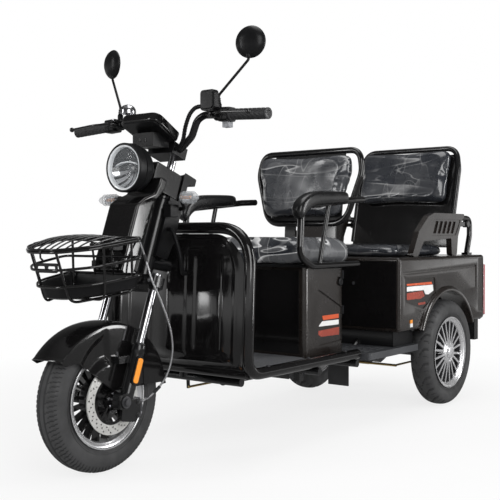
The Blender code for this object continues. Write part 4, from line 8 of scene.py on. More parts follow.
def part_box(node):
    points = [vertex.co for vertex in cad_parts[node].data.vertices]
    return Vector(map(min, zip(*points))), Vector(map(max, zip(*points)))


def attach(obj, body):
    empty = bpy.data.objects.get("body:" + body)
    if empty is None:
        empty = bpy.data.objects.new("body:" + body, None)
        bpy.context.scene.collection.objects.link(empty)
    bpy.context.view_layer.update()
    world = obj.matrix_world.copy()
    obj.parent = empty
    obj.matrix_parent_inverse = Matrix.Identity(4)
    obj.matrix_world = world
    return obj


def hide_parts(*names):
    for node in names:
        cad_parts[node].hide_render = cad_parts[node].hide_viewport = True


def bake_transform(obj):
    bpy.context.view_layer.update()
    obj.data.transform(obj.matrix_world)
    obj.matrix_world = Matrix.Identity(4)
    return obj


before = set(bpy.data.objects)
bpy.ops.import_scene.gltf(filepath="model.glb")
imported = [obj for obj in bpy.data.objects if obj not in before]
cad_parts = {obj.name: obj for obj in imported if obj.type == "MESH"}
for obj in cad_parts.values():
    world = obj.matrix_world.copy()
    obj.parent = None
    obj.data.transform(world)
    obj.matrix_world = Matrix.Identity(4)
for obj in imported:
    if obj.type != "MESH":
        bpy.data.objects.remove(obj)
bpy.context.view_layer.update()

TYRE_LOW, TYRE_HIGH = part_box("front_tyre")
FRONT_AXLE_Y = (TYRE_LOW.y + TYRE_HIGH.y) / 2

# Stations are measured from the front axle, as in the solids; everything moves into the row frame at the end
REAR_AXLE_Y = 1.548
WHEEL_X = 0.310
AXLE_Z = 0.207
RAKE = math.radians(20.0)
SIDE_VIEW = Matrix(((0, 0, 1, 0), (1, 0, 0, 0), (0, 1, 0, 0), (0, 0, 0, 1)))
STEER = Matrix.Translation((0, 0.055, AXLE_Z)) @ Matrix.Rotation(-RAKE, 4, "X")
ALONG_X = Matrix.Rotation(math.radians(90), 4, "Y")
UPRIGHT = Matrix.Rotation(math.radians(90), 4, "X")
FORK_X = 0.087
FORK_AHEAD = 0.035
CROWN_LOW = 0.318
CROWN_TOP = 0.350
HEAD_LOW = 0.3505
HEAD_TOP = 0.6125
BRIDGE_LOW = 0.6135
BRIDGE_TOP = 0.6935
STEERER_TOP = 0.733
CHASSIS_Z = 0.2252
FLOOR_TOP_Z = 0.2615
BOX_TOP_Z = 0.5618
PAN_LOW_Z = 0.5621
CARGO_FRONT_Y = 1.150
CARGO_BACK_Y = 1.905
CARGO_TOP_Z = 0.586
CARGO_HALF = 0.335
RAIL_X = 0.150
LEG_FACE_X = FORK_X + 0.0185
SEAT_BOX_HALF = 0.222
ARM_X = 0.247
REAR_ARM_X = 0.277
REAR_HINGE_Y = 1.848
REAR_HINGE_Z = 0.716
SEAT_TUBE = 0.0115
LAMP_HINGE_Y = 0.187
LAMP_Z = 0.864

EDGE_ANGLE = math.radians(32)
SENSOR = 36.0
FOCAL_PIXELS = 901.0
PICTURE_PIXELS = 500.0
FINISH = {}


# Materials


def set_stops(ramp, stops):
    """The colours along a ramp, as (place, colour) pairs."""
    while len(ramp.elements) < len(stops):
        ramp.elements.new(0.5)
    for element, (place, colour) in zip(ramp.elements, stops):
        element.position = place
        element.color = (*colour, 1.0)


class Nodes:
    """The node tree of one material, with short calls for the nodes that every finish here uses."""

    def __init__(self, name):
        self.material = bpy.data.materials.new(name + "_finish")
        self.material.use_nodes = True
        self.tree = self.material.node_tree
        self.shader = self.tree.nodes["Principled BSDF"]
        self.coords = self.tree.nodes.new("ShaderNodeTexCoord").outputs["Object"]

    def add(self, kind, links=(), **values):
        node = self.tree.nodes.new(kind)
        for key, value in values.items():
            if hasattr(node, key):
                setattr(node, key, value)
            else:
                node.inputs[key.replace("_", " ")].default_value = value
        for socket, source in dict(links).items():
            self.tree.links.new(source, node.inputs[socket])
        return node

    def set(self, **values):
        for key, value in values.items():
            self.shader.inputs[key.replace("_", " ")].default_value = value

    def link(self, source, socket):
        self.tree.links.new(source, self.shader.inputs[socket])

    def stretched(self, scale):
        return self.add("ShaderNodeMapping", {"Vector": self.coords}, Scale=scale).outputs["Vector"]

    def noise(self, scale, detail=3.0, vector=None, distortion=0.0):
        made = self.add("ShaderNodeTexNoise", {"Vector": vector or self.coords}, Scale=scale, Detail=detail,
                        Distortion=distortion)
        return made.outputs["Fac"]

    def ramp(self, source, stops):
        node = self.add("ShaderNodeValToRGB", {"Fac": source})
        set_stops(node.color_ramp, stops)
        return node.outputs["Color"]

    def span(self, source, low, high, start=0.3, end=0.7):
        node = self.add("ShaderNodeMapRange", {"Value": source}, From_Min=start, From_Max=end, To_Min=low,
                        To_Max=high)
        return node.outputs["Result"]

    def blend(self, kind, share, first, second):
        """One colour over another; each of the three is a socket or a value."""
        node = self.tree.nodes.new("ShaderNodeMix")
        node.data_type = "RGBA"
        node.blend_type = kind
        colours = {"factor": node.inputs[0], "first": node.inputs[6], "second": node.inputs[7]}
        for key, source in (("factor", share), ("first", first), ("second", second)):
            if isinstance(source, bpy.types.NodeSocket):
                self.tree.links.new(source, colours[key])
            else:
                colours[key].default_value = source
        return node.outputs[2]

    def bump(self, heights):
        """A bump for each (source, strength, distance), one on the other."""
        normal = None
        for source, strength, distance in heights:
            links = {"Height": source}
            if normal:
                links["Normal"] = normal
            node = self.add("ShaderNodeBump", links, Strength=strength, Distance=distance)
            normal = node.outputs["Normal"]
        self.link(normal, "Normal")


def tint(colour, amount):
    return tuple(min(1.0, channel * amount) for channel in colour)


def finish(name, colour, rough, vary=0.15, metal=0.0, coat=0.0, cloud=7.0, grain=400.0, bump=0.1,
           depth=0.0004, peel=0.0, **sockets):
    """A finish that drifts softly in colour and roughness, with a fine grain and, if given, orange peel."""
    made = Nodes(name)
    soft = made.noise(cloud, 4.0)
    fine = made.noise(grain, 2.0)
    made.link(made.ramp(soft, ((0.32, tint(colour, 1 - vary)), (0.68, tint(colour, 1 + vary)))), "Base Color")
    made.link(made.span(made.noise(cloud * 2.3, 5.0), rough * 0.8, rough * 1.25), "Roughness")
    heights = [(fine, bump, depth)]
    if peel:
        heights.append((made.noise(90.0, 1.0), peel, 0.0006))
    made.bump(heights)
    made.set(Metallic=metal, Coat_Weight=coat, Coat_Roughness=0.06, **sockets)
    FINISH[name] = made.material
    return made


def make_finishes():
    finish("gloss_black", (0.0055, 0.0052, 0.0054), 0.10, coat=0.35, bump=0.02, peel=0.03,
           Specular_IOR_Level=0.4)
    finish("brown_black", (0.0165, 0.0130, 0.0112), 0.24, metal=0.2, coat=0.40, grain=1400.0, bump=0.04,
           peel=0.04)
    finish("matt_black", (0.0070, 0.0070, 0.0075), 0.33, grain=700.0, bump=0.10, Specular_IOR_Level=0.16)
    finish("pad_black", (0.009, 0.009, 0.0095), 0.24, grain=600.0, bump=0.10, Specular_IOR_Level=0.4)
    finish("frame_black", (0.0075, 0.0075, 0.0080), 0.22, coat=0.2, grain=320.0, bump=0.05, peel=0.05,
           Specular_IOR_Level=0.4)
    finish("step_grey", (0.055, 0.057, 0.062), 0.42, metal=0.2, grain=260.0, bump=0.3)
    finish("chrome", (0.50, 0.50, 0.52), 0.20, vary=0.03, metal=1.0, bump=0.0)
    finish("alloy", (0.66, 0.66, 0.67), 0.26, vary=0.05, metal=0.72, coat=0.3, grain=900.0, bump=0.06)
    finish("tyre_rubber", (0.036, 0.036, 0.037), 0.66, vary=0.30, cloud=11.0, grain=520.0, bump=0.3)
    # The groove finish is darker than the tread as painted shade in the recesses; its higher roughness is the
    # rubber's own.
    finish("tyre_groove", (0.020, 0.020, 0.021), 0.80, grain=520.0, bump=0.3)
    finish("grip_rubber", (0.020, 0.020, 0.021), 0.58, grain=800.0, bump=0.3)
    finish("mat_rubber", (0.085, 0.087, 0.092), 0.45, vary=0.12, grain=700.0, bump=0.3)
    finish("lens_red", (0.36, 0.016, 0.020), 0.13, vary=0.10, coat=0.8, grain=200.0, bump=0.1)
    finish("lens_amber", (0.85, 0.29, 0.020), 0.16, vary=0.08, coat=0.8, grain=300.0, bump=0.3)
    finish("button_grey", (0.22, 0.225, 0.24), 0.42, grain=900.0, bump=0.15)
    finish("battery_case", (0.035, 0.07, 0.14), 0.48, grain=500.0)
    finish("yellow_zinc", (0.50, 0.37, 0.16), 0.34, vary=0.2, metal=1.0, cloud=30.0)
    finish("castings", (0.060, 0.060, 0.064), 0.44, metal=0.5, grain=300.0, bump=0.4)
    finish("disc_steel", (0.60, 0.595, 0.575), 0.34, vary=0.05, metal=0.6, grain=600.0, bump=0.1)
    finish("mirror_glass", (0.86, 0.87, 0.88), 0.03, vary=0.02, metal=1.0, bump=0.0)
    finish("reflector", (0.70, 0.71, 0.73), 0.20, vary=0.10, metal=0.7, bump=0.02)
    finish("light_ring", (0.72, 0.74, 0.76), 0.30, vary=0.05, coat=0.7, bump=0.03)
    finish("decal_orange", (0.60, 0.085, 0.020), 0.24, vary=0.08, coat=0.5, bump=0.02)
    finish("decal_white", (0.80, 0.80, 0.79), 0.26, vary=0.04, coat=0.5, bump=0.02)
    finish("decal_red", (0.30, 0.040, 0.020), 0.24, vary=0.18, coat=0.5, bump=0.02)
    make_hose_finish()
    make_glass()
    # The last number of each is how white the painted highlights along the folds are.
    make_vinyl("seat_vinyl", 0.46, 0.62, 0.42)
    make_vinyl("loose_film", 0.30, 0.48, 0.80)


def make_hose_finish():
    """Silver braid under a clear jacket."""
    made = finish("hose_silver", (0.42, 0.42, 0.43), 0.30, metal=0.8, coat=0.5)
    braid = made.add("ShaderNodeTexWave", {"Vector": made.coords}, Scale=220.0, Distortion=1.5)
    braid.bands_direction = "DIAGONAL"
    made.bump([(braid.outputs["Fac"], 0.5, 0.0004)])


def make_glass():
    """Clear moulded lens: mostly see-through, with its own gloss and a faint ribbing."""
    made = finish("lens_clear", (0.60, 0.63, 0.66), 0.04, vary=0.03, coat=0.1, grain=60.0, bump=0.02)
    made.set(Alpha=0.07, Specular_IOR_Level=0.3)
    made.material.surface_render_method = "BLENDED"
    milky = finish("lens_milky", (0.50, 0.52, 0.54), 0.08, vary=0.15, cloud=60.0, coat=0.9, grain=120.0,
                   bump=0.5)
    milky.set(Alpha=0.36)
    milky.material.surface_render_method = "BLENDED"


def make_vinyl(name, sparse, dense, white):
    """Slate vinyl in its clear film: a few pulled folds with painted highlights, thin white streaks mixed
    into the base colour, and a fine grain below.
    """
    made = Nodes(name)
    pulled = made.noise(2.6, 1.5, made.stretched((0.9, 2.4, 4.2)), 0.35)
    crossed = made.noise(3.4, 1.0, made.stretched((3.6, 1.4, 1.1)), 0.5)
    # Painted highlights: the three thin ramps below are bright streaks along the film's folds. The veil keeps
    # them to patches, and they are mixed into the base colour towards the level white.
    fold = made.ramp(pulled, ((0.470, (0.10, 0.10, 0.10)), (0.500, (1, 1, 1)), (0.505, (0, 0, 0))))
    second_fold_highlight = made.ramp(pulled, ((0.575, (0, 0, 0)), (0.590, (0.8, 0.8, 0.8)), (0.594, (0.05, 0.05, 0.05))))
    crease = made.ramp(crossed, ((0.550, (0, 0, 0)), (0.565, (0.6, 0.6, 0.6)), (0.568, (0.04, 0.04, 0.04))))
    highlight_veil = made.ramp(made.noise(3.6, 2.0), ((sparse, (0.05, 0.05, 0.05)), (dense, (1, 1, 1))))
    thin = made.blend("MULTIPLY", 1.0, made.blend("ADD", 1.0, made.blend("ADD", 1.0, fold, second_fold_highlight), crease),
                      highlight_veil)
    base = made.ramp(made.noise(3.5, 3.0), ((0.3, (0.014, 0.016, 0.021)), (0.7, (0.026, 0.029, 0.036))))
    made.link(made.blend("MIX", thin, base, (white, white, white, 1.0)), "Base Color")
    made.link(made.span(made.noise(18.0, 3.0), 0.20, 0.36), "Roughness")
    made.bump([(made.noise(1100.0, 1.0), 0.08, 0.0003), (pulled, 0.30, 0.020), (crossed, 0.22, 0.016)])
    made.set(Coat_Weight=0.8, Coat_Roughness=0.10)
    FINISH[name] = made.material


# Shapes


def angle_at(index, count):
    return 2 * math.pi * index / count


def turned(angle):
    return Matrix.Rotation(angle, 4, "Z")


def word_for(side):
    return "left" if side > 0 else "right"


def skin(shape, rings, paint=0, around=True, caps=True, loop=False):
    """Faces between rings of as many points each; loop joins the last ring to the first."""
    made = [[shape.verts.new(point) for point in ring] for ring in rings]
    pairs = list(zip(made, made[1:]))
    if loop:
        pairs.append((made[-1], made[0]))
    count = len(made[0])
    faces = []
    for first, second in pairs:
        for index in range(count if around else count - 1):
            after = (index + 1) % count
            faces.append(shape.faces.new((first[index], first[after], second[after], second[index])))
    if caps and around and not loop:
        faces.append(shape.faces.new(made[0]))
        faces.append(shape.faces.new(made[-1]))
    for face in faces:
        face.material_index = paint


def lathe(shape, profile, place, steps=48, closed=False, paint=0):
    rings = []
    for index in range(steps):
        turn = place @ turned(angle_at(index, steps))
        rings.append([turn @ Vector((radius, 0, height)) for radius, height in profile])
    skin(shape, rings, paint, around=closed, caps=False, loop=True)


def drum(shape, radius, low, high, place, steps=32, paint=0, edge=0.0):
    profile = [(0, low), (radius - edge, low), (radius, low + edge), (radius, high - edge),
               (radius - edge, high), (0, high)]
    lathe(shape, profile, place, steps, paint=paint)


def circle(sides):
    return [(math.cos(angle_at(i, sides)), math.sin(angle_at(i, sides))) for i in range(sides)]


def sweep(shape, points, radius, sides=16, closed=False, paint=0, section=None, up=None):
    """A section carried along points; radius is a number or a function of the share along and the angle."""
    points = [Vector(point) for point in points]
    count = len(points)
    side = None
    rings = []
    for index, point in enumerate(points):
        before = points[index - 1] if closed or index else point
        after = points[(index + 1) % count] if closed or index < count - 1 else point
        tangent = (after - before).normalized()
        if side is None or up:
            upward = Vector(up) if up else Vector((0, 0, 1) if abs(tangent.z) < 0.9 else (0, 1, 0))
            side = tangent.cross(upward)
        side = (side - tangent * side.dot(tangent)).normalized()
        over = tangent.cross(side)
        ring = []
        for a, b in section or circle(sides):
            size = radius(index / count, math.atan2(b, a)) if callable(radius) else radius
            ring.append(point + side * (a * size) + over * (b * size))
        rings.append(ring)
    skin(shape, rings, paint, loop=closed)


def block(shape, low, high, place=Matrix(), paint=0):
    rings = []
    for z in (low[2], high[2]):
        ring = ((low[0], low[1], z), (high[0], low[1], z), (high[0], high[1], z), (low[0], high[1], z))
        rings.append([place @ Vector(point) for point in ring])
    skin(shape, rings, paint)


def side_block(shape, side, inner, outer, low, high, place=Matrix(), paint=0):
    """A block on one side: inner and outer are distances from the middle, low and high are (y, z)."""
    near, far = sorted((side * inner, side * outer))
    block(shape, (near, *low), (far, *high), place, paint)


def prism(shape, outline, low, high, place, paint=0):
    """A flat outline in the place's XY, from one height to another."""
    skin(shape, [[place @ Vector((x, y, height)) for x, y in outline] for height in (low, high)], paint)


def patch(shape, make, across, along):
    """A surface of points make(u, v), both from -1 to 1."""
    rows = [[make(2 * i / across - 1, 2 * j / along - 1) for i in range(across + 1)]
            for j in range(along + 1)]
    skin(shape, rows, around=False, caps=False)


def rounded(corners, radii, steps=8, closed=False):
    count = len(corners)
    points = []
    for index, corner in enumerate(corners):
        corner = Vector(corner)
        if (index in (0, count - 1) and not closed) or not radii[index]:
            points.append(corner)
            continue
        back = Vector(corners[index - 1]) - corner
        ahead = Vector(corners[(index + 1) % count]) - corner
        half = back.angle(ahead) / 2
        run = min(radii[index] / math.tan(half), 0.49 * back.length, 0.49 * ahead.length)
        start = corner + back.normalized() * run
        finish_at = corner + ahead.normalized() * run
        for step in range(steps + 1):
            part = step / steps
            points.append(start.lerp(corner, part).lerp(corner.lerp(finish_at, part), part))
    return points


def flat(points):
    return [(point[0], point[1]) for point in points]


def rounded_flat(corners, radius, steps=5):
    return flat(rounded([(x, y, 0) for x, y in corners], [radius] * len(corners), steps, closed=True))


def rounded_box(low, high, radius, steps=5):
    return rounded_flat([low, (high[0], low[1]), high, (low[0], high[1])], radius, steps)


def route(points, steps):
    """A smooth curve through the points."""
    points = [Vector(point) for point in points]
    ends = [2 * points[0] - points[1], *points, 2 * points[-1] - points[-2]]
    found = []
    for index in range(1, len(ends) - 2):
        before, start, finish_at, after = ends[index - 1 : index + 3]
        for step in range(steps):
            t = step / steps
            linear = (finish_at - before) * t
            square = (2 * before - 5 * start + 4 * finish_at - after) * t**2
            cube = (3 * start - before - 3 * finish_at + after) * t**3
            found.append((2 * start + linear + square + cube) / 2)
    found.append(points[-1])
    return found


def across_at(x, y, z):
    """A place whose Z is the vehicle's X."""
    return Matrix.Translation((x, y, z)) @ ALONG_X


def out_place(side, x, y, z):
    """A place whose Z points outward on that side."""
    return Matrix.Translation((side * x, y, z)) @ Matrix.Rotation(math.radians(90 * side), 4, "Y")


def axis_place(origin, direction):
    return Matrix.Translation(origin) @ Vector(direction).to_track_quat("Z", "Y").to_matrix().to_4x4()


def on_side(side, x):
    """A place whose XY is the vehicle's YZ, at the station x, its Z outward on that side."""
    return Matrix.Translation((side * x, 0, 0)) @ Matrix.Diagonal((side, 1, 1, 1)) @ SIDE_VIEW


def steer_point(x, ahead, up):
    return STEER @ Vector((x, -ahead, up))


def linked(name, shape):
    """The shape as an object of the scene."""
    mesh = bpy.data.meshes.new(name)
    shape.to_mesh(mesh)
    shape.free()
    made = bpy.data.objects.new(name, mesh)
    bpy.context.scene.collection.objects.link(made)
    return made


def moved_in(name, shape, merge):
    """The shape, in the vehicle's stations, as an object in the row frame, with doubled points merged."""
    bmesh.ops.remove_doubles(shape, verts=shape.verts, dist=merge)
    bmesh.ops.recalc_face_normals(shape, faces=shape.faces)
    bmesh.ops.translate(shape, vec=(0, FRONT_AXLE_Y, 0), verts=shape.verts)
    return linked(name, shape)


def round_edges(made, width, segments):
    edges = made.modifiers.new("Edges", "BEVEL")
    edges.width = width
    edges.segments = segments
    edges.limit_method = "ANGLE"
    edges.angle_limit = EDGE_ANGLE
    edges.harden_normals = True


def soften(made, levels):
    soft = made.modifiers.new("Soft", "SUBSURF")
    soft.levels = levels
    soft.render_levels = levels


def piece(name, shape, finishes, body, replaces=(), bevel=0.0, segments=2, sharp=40, levels=0,
          wall=0.0):
    """A finished piece from a shape in the vehicle's stations."""
    made = moved_in(name, shape, 0.00002)
    mesh = made.data
    for each in finishes:
        mesh.materials.append(FINISH[each])
    mesh.shade_smooth()
    if not bevel:
        mesh.set_sharp_from_angle(angle=math.radians(sharp))
    if wall:
        shell = made.modifiers.new("Wall", "SOLIDIFY")
        shell.thickness = abs(wall)
        shell.offset = math.copysign(1.0, wall)
    if levels:
        soften(made, levels)
    if bevel:
        round_edges(made, bevel, segments)
    if body:
        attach(made, body)
    if replaces:
        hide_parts(*replaces)
    return made


def baked(made):
    """The piece's mesh with its modifiers applied."""
    bpy.context.view_layer.update()
    mesh = bpy.data.meshes.new_from_object(made.evaluated_get(bpy.context.evaluated_depsgraph_get()))
    made.modifiers.clear()
    made.data = mesh
    return made


def carve(made, shape, bevel=0.0, segments=2):
    """Cuts a shape in the vehicle's stations out of a piece, then rounds the edges that are left."""
    cutter = moved_in("cutter", shape, 0.00001)
    mesh = cutter.data
    boolean = made.modifiers.new("Cut", "BOOLEAN")
    boolean.object = cutter
    boolean.operation = "DIFFERENCE"
    boolean.solver = "EXACT"
    boolean.use_self = True
    baked(made)
    bpy.data.objects.remove(cutter, do_unlink=True)
    bpy.data.meshes.remove(mesh)
    made.data.shade_smooth()
    if bevel:
        round_edges(made, bevel, segments)
    else:
        made.data.set_sharp_from_angle(angle=math.radians(40))


def bolt(shape, place, radius=0.006, height=0.004, paint=0):
    """A washer and a hexagon head."""
    drum(shape, radius * 1.5, 0.0, height * 0.3, place, 20, paint)
    drum(shape, radius, height * 0.25, height, place, 6, paint, radius * 0.12)


# Camera, floor and light


def make_camera():
    data = bpy.data.cameras.new("camera")
    data.sensor_fit = "HORIZONTAL"
    data.sensor_width = SENSOR
    data.lens = FOCAL_PIXELS / PICTURE_PIXELS * SENSOR
    data.clip_end = 60.0
    camera = bpy.data.objects.new("camera", data)
    camera.location = (1.886, -2.6124, 0.665)
    camera.rotation_euler = (math.radians(90 - 0.88), 0, math.radians(37.53))
    bpy.context.scene.collection.objects.link(camera)
    bpy.context.scene.camera = camera


def make_lamp(name, location, size, power, target):
    data = bpy.data.lights.new(name, "AREA")
    data.shape = "RECTANGLE"
    data.size, data.size_y = size
    data.energy = power
    lamp = bpy.data.objects.new(name, data)
    lamp.location = location
    lamp.rotation_euler = (Vector(target) - Vector(location)).to_track_quat("-Z", "Y").to_euler()
    bpy.context.scene.collection.objects.link(lamp)


def make_world():
    """White where it is seen, and for metal and glass white at the horizon with a darker ceiling."""
    world = bpy.data.worlds.new("studio")
    world.use_nodes = True
    bpy.context.scene.world = world
    tree = world.node_tree
    nodes = tree.nodes
    links = tree.links
    soft = nodes["Background"]
    soft.inputs["Color"].default_value = (1.0, 1.0, 1.0, 1.0)
    soft.inputs["Strength"].default_value = 0.42
    seen = nodes.new("ShaderNodeBackground")
    seen.inputs["Color"].default_value = (1.0, 1.0, 1.0, 1.0)
    seen.inputs["Strength"].default_value = 1.0
    mirrored = nodes.new("ShaderNodeBackground")
    mirrored.inputs["Strength"].default_value = 1.0
    coords = nodes.new("ShaderNodeTexCoord")
    split = nodes.new("ShaderNodeSeparateXYZ")
    links.new(coords.outputs["Generated"], split.inputs["Vector"])
    ramp = nodes.new("ShaderNodeValToRGB")
    stops = ((0.0, 1.0), (0.05, 0.80), (0.16, 0.10), (0.62, 0.05), (1.0, 0.30))
    set_stops(ramp.color_ramp, [(place, (level, level, level)) for place, level in stops])
    links.new(split.outputs["Z"], ramp.inputs["Fac"])
    links.new(ramp.outputs["Color"], mirrored.inputs["Color"])
    path = nodes.new("ShaderNodeLightPath")
    shiny = nodes.new("ShaderNodeMixShader")
    links.new(path.outputs["Is Glossy Ray"], shiny.inputs["Fac"])
    links.new(soft.outputs["Background"], shiny.inputs[1])
    links.new(mirrored.outputs["Background"], shiny.inputs[2])
    shown = nodes.new("ShaderNodeMixShader")
    clear = nodes.new("ShaderNodeMath")
    clear.operation = "MAXIMUM"
    links.new(path.outputs["Is Camera Ray"], clear.inputs[0])
    links.new(path.outputs["Is Transmission Ray"], clear.inputs[1])
    links.new(clear.outputs["Value"], shown.inputs["Fac"])
    links.new(shiny.outputs["Shader"], shown.inputs[1])
    links.new(seen.outputs["Background"], shown.inputs[2])
    links.new(shown.outputs["Shader"], nodes["World Output"].inputs["Surface"])


def make_floor_stage():
    """A pale floor that keeps the tricycle's shadow and looks white where nothing shades it."""
    shape = bmesh.new()
    patch(shape, lambda u, v: (25 * u, 25 * v, 0.0), 8, 8)
    floor = linked("studio_floor", shape)
    made = Nodes("studio_floor")
    made.link(made.ramp(made.noise(2.0, 3.0), ((0.3, (0.86, 0.86, 0.86)), (0.7, (0.89, 0.89, 0.89)))),
              "Base Color")
    made.set(Roughness=0.6)
    nodes = made.tree.nodes
    glow = nodes.new("ShaderNodeEmission")
    glow.inputs["Strength"].default_value = 1.0
    path = nodes.new("ShaderNodeLightPath")
    away = made.add("ShaderNodeVectorMath", {0: made.coords}, operation="LENGTH")
    share = made.add("ShaderNodeMath", {0: path.outputs["Is Camera Ray"],
                                        1: made.span(away.outputs["Value"], 0.80, 1.0, 0.9, 2.2)},
                     operation="MULTIPLY")
    mirrored = nodes.new("ShaderNodeEmission")
    mirrored.inputs["Strength"].default_value = 0.30
    seen = made.add("ShaderNodeMixShader",
                    {"Fac": path.outputs["Is Glossy Ray"], 1: made.shader.outputs["BSDF"],
                     2: mirrored.outputs["Emission"]})
    mix = made.add("ShaderNodeMixShader", {"Fac": share.outputs["Value"], 1: seen.outputs["Shader"],
                                           2: glow.outputs["Emission"]})
    made.tree.links.new(mix.outputs["Shader"], nodes["Material Output"].inputs["Surface"])
    floor.data.materials.append(made.material)


def make_studio():
    bpy.context.scene.view_settings.view_transform = "Standard"
    make_camera()
    make_world()
    make_floor_stage()
    make_lamp("key_softbox", (3.3, -2.5, 2.0), (2.0, 2.8), 88.0, (0.1, -0.2, 0.45))
    make_lamp("front_strip", (-1.9, -3.4, 1.6), (0.5, 2.4), 34.0, (0, -0.4, 0.5))
    make_lamp("side_strip", (2.95, 1.85, 1.2), (0.5, 2.2), 46.0, (0.1, -0.2, 0.5))
    make_lamp("overhead", (0.2, 0.2, 3.6), (2.6, 1.6), 40.0, (0, 0, 0))


# Wheels


TREAD_HALF = 0.042


def tyre(name, x, y, body, groove, steps):
    """A tyre whose crown is cut by grooves: groove(step, share across) gives the share of the full depth."""
    keys = ((0.1402, 0.0338), (0.149, 0.0382), (0.165, 0.0416), (0.181, 0.0412), (0.1925, 0.0370),
            (0.2012, 0.0280), (0.2058, 0.0150), (0.2070, 0.0))
    half = [(point.x, point.y) for point in route([(r, h, 0) for r, h in keys], 3)]
    outline = half + [(r, -h) for r, h in reversed(half[:-1])] + [(0.1300, -0.030), (0.1300, 0.030)]
    place = across_at(x, y, AXLE_Z)
    rings = []
    cuts = []
    for index in range(steps):
        angle = angle_at(index, steps)
        turn = place @ turned(angle)
        ring = []
        cuts.append([groove(index, across / TREAD_HALF) if radius > 0.176 else 0.0 for radius,
                     across in outline])
        for (radius, across), cut in zip(outline, cuts[-1]):
            ring.append(turn @ Vector((radius - 0.0034 * cut, 0, across)))
        rings.append(ring)
    shape = bmesh.new()
    skin(shape, rings, caps=False, loop=True)
    shape.faces.ensure_lookup_table()
    around = len(outline)
    for index in range(steps):
        for step in range(around):
            # Groove faces get the darker finish: painted shade in the grooves.
            if cuts[index][step] > 0.4:
                shape.faces[index * around + step].material_index = 1
    for rim_line in (0.1475, 0.1525):
        for side in (1, -1):
            lathe(shape,
                  [(rim_line - 0.0008, side * 0.036),
                   (rim_line, side * (0.0385 + (rim_line - 0.1475) * 0.4)),
                   (rim_line + 0.0008, side * 0.036)], place, 96)
    piece(name, shape, ["tyre_rubber", "tyre_groove"], body, [name], sharp=35)


def front_groove(index, across):
    """Fine ribs across both shoulders that run out towards the middle, and a thin ring each side of it."""
    share = abs(across)
    if 0.30 < share < 0.95:
        beat = (index + round(share * 4)) % 4
        if beat == 0:
            return 0.8 if share > 0.52 or index % 8 < 4 else 0.0
    return 0.45 if abs(share - 0.22) < 0.04 else 0.0


def rear_groove(index, across):
    """Long curved grooves that sweep back from the middle to the shoulders."""
    share = abs(across)
    lean = 9.0 * math.sin(share * 2.2) + (4.5 if across > 0 else 0.0)
    step = (index + lean) % 12
    if 0.10 < share < 0.92 and step < 1.6:
        return 1.0
    return 0.45 if 0.5 < share < 0.9 and 6.0 < step < 7.0 else 0.0


LIP = ((0.1398, 0.0385), (0.1390, 0.0394), (0.1368, 0.0395), (0.1352, 0.0382), (0.1344, 0.0356),
       (0.1296, 0.0342), (0.1276, 0.0326), (0.1220, 0.0296), (0.1203, 0.0268), (0.1196, 0.0225))


def rim_ring(shape, place, barrel=0):
    """Both lips of the rim and the barrel between them."""
    for side in (1, -1):
        profile = [(r, side * h) for r, h in LIP]
        profile += [(0.1235, side * 0.0225), (0.1300, side * 0.0310), (0.1370, side * 0.0360)]
        lathe(shape, profile, place, 96, closed=True)
    lathe(shape, [(0.1200, 0.0235), (0.1190, 0.010), (0.1190, -0.010), (0.1200, -0.0235), (0.1250, -0.0235),
                  (0.1250, 0.0235)], place, 96, closed=True, paint=barrel)


def radial_bar(shape, place, angle, inner, outer, low, high, skew=0.0, paint=0):
    """A tapered bar from (radius, half width) inner to outer, between two heights at each end."""
    turn = place @ turned(angle)
    rings = []
    for (radius, half), (bottom, top), shift in ((inner, low, 0.0), (outer, high, skew)):
        rings.append([turn @ Vector((radius, y + shift, z)) for y, z in
                      ((-half, bottom), (half, bottom), (half, top), (-half, top))])
    skin(shape, rings, paint)


def front_wheel():
    tyre("front_tyre", 0.0, 0.0, "front_wheel", front_groove, 384)
    place = across_at(0, 0, AXLE_Z)
    shape = bmesh.new()
    rim_ring(shape, place)
    lathe(shape,
          [(0.066, -0.012), (0.069, -0.004), (0.069, 0.014), (0.064, 0.020), (0.050, 0.024), (0.036, 0.032),
           (0.030, 0.0455), (0.0085, 0.0455), (0.0085, -0.0455), (0.030, -0.0455), (0.036, -0.030),
           (0.050, -0.018)], place, 64, closed=True, paint=1)
    for index in range(20):
        angle = angle_at(index + 0.5, 20)
        radial_bar(shape, place, angle, (0.064, 0.0046), (0.1245, 0.0036), (-0.008, 0.012), (-0.012, 0.016),
                   paint=1)
    piece("front_rim", shape, ["alloy", "gloss_black"], "front_wheel", ["front_rim"], sharp=30)
    make_disc(place)


def make_disc(place):
    centre = 0.053
    shape = bmesh.new()
    lathe(shape,
          [(0.0965, centre - 0.0019), (0.097, centre), (0.0965, centre + 0.0019), (0.067, centre + 0.0019),
           (0.067, centre - 0.0019)], place, 120, closed=True)
    disc = piece("brake_disc", shape, ["disc_steel"], "front_wheel", ["brake_disc"])
    holes = bmesh.new()
    for index in range(60):
        angle = angle_at(index, 60)
        radius = (0.0755, 0.0825, 0.0895)[index % 3]
        at = place @ turned(angle) @ Matrix.Translation((radius, 0, centre))
        drum(holes, 0.0028, -0.006, 0.006, at, 10)
    carve(disc, holes)
    carrier = bmesh.new()
    lathe(carrier, [(0.027, 0.0463), (0.027, centre + 0.0035), (0.0085, centre + 0.0035), (0.0085, 0.0463)],
          place, 48, closed=True)
    lathe(carrier, [(0.0685, centre - 0.0021), (0.0685, centre + 0.0021), (0.0610, centre + 0.0021),
                    (0.0610, centre - 0.0021)], place, 80, closed=True)
    for index in range(5):
        angle = angle_at(index + 0.5, 5)
        for lean in (-0.007, 0.007):
            radial_bar(carrier, place, angle, (0.022, 0.0048), (0.064, 0.0048), (0.0509, 0.0551),
                       (0.0509, 0.0551), lean)
        at = place @ turned(angle) @ Matrix.Translation((0.0185, 0, centre + 0.0034))
        bolt(carrier, at, 0.0034, 0.003, paint=1)
    piece("disc_carrier", carrier, ["gloss_black", "chrome"], "front_wheel", bevel=0.0006)


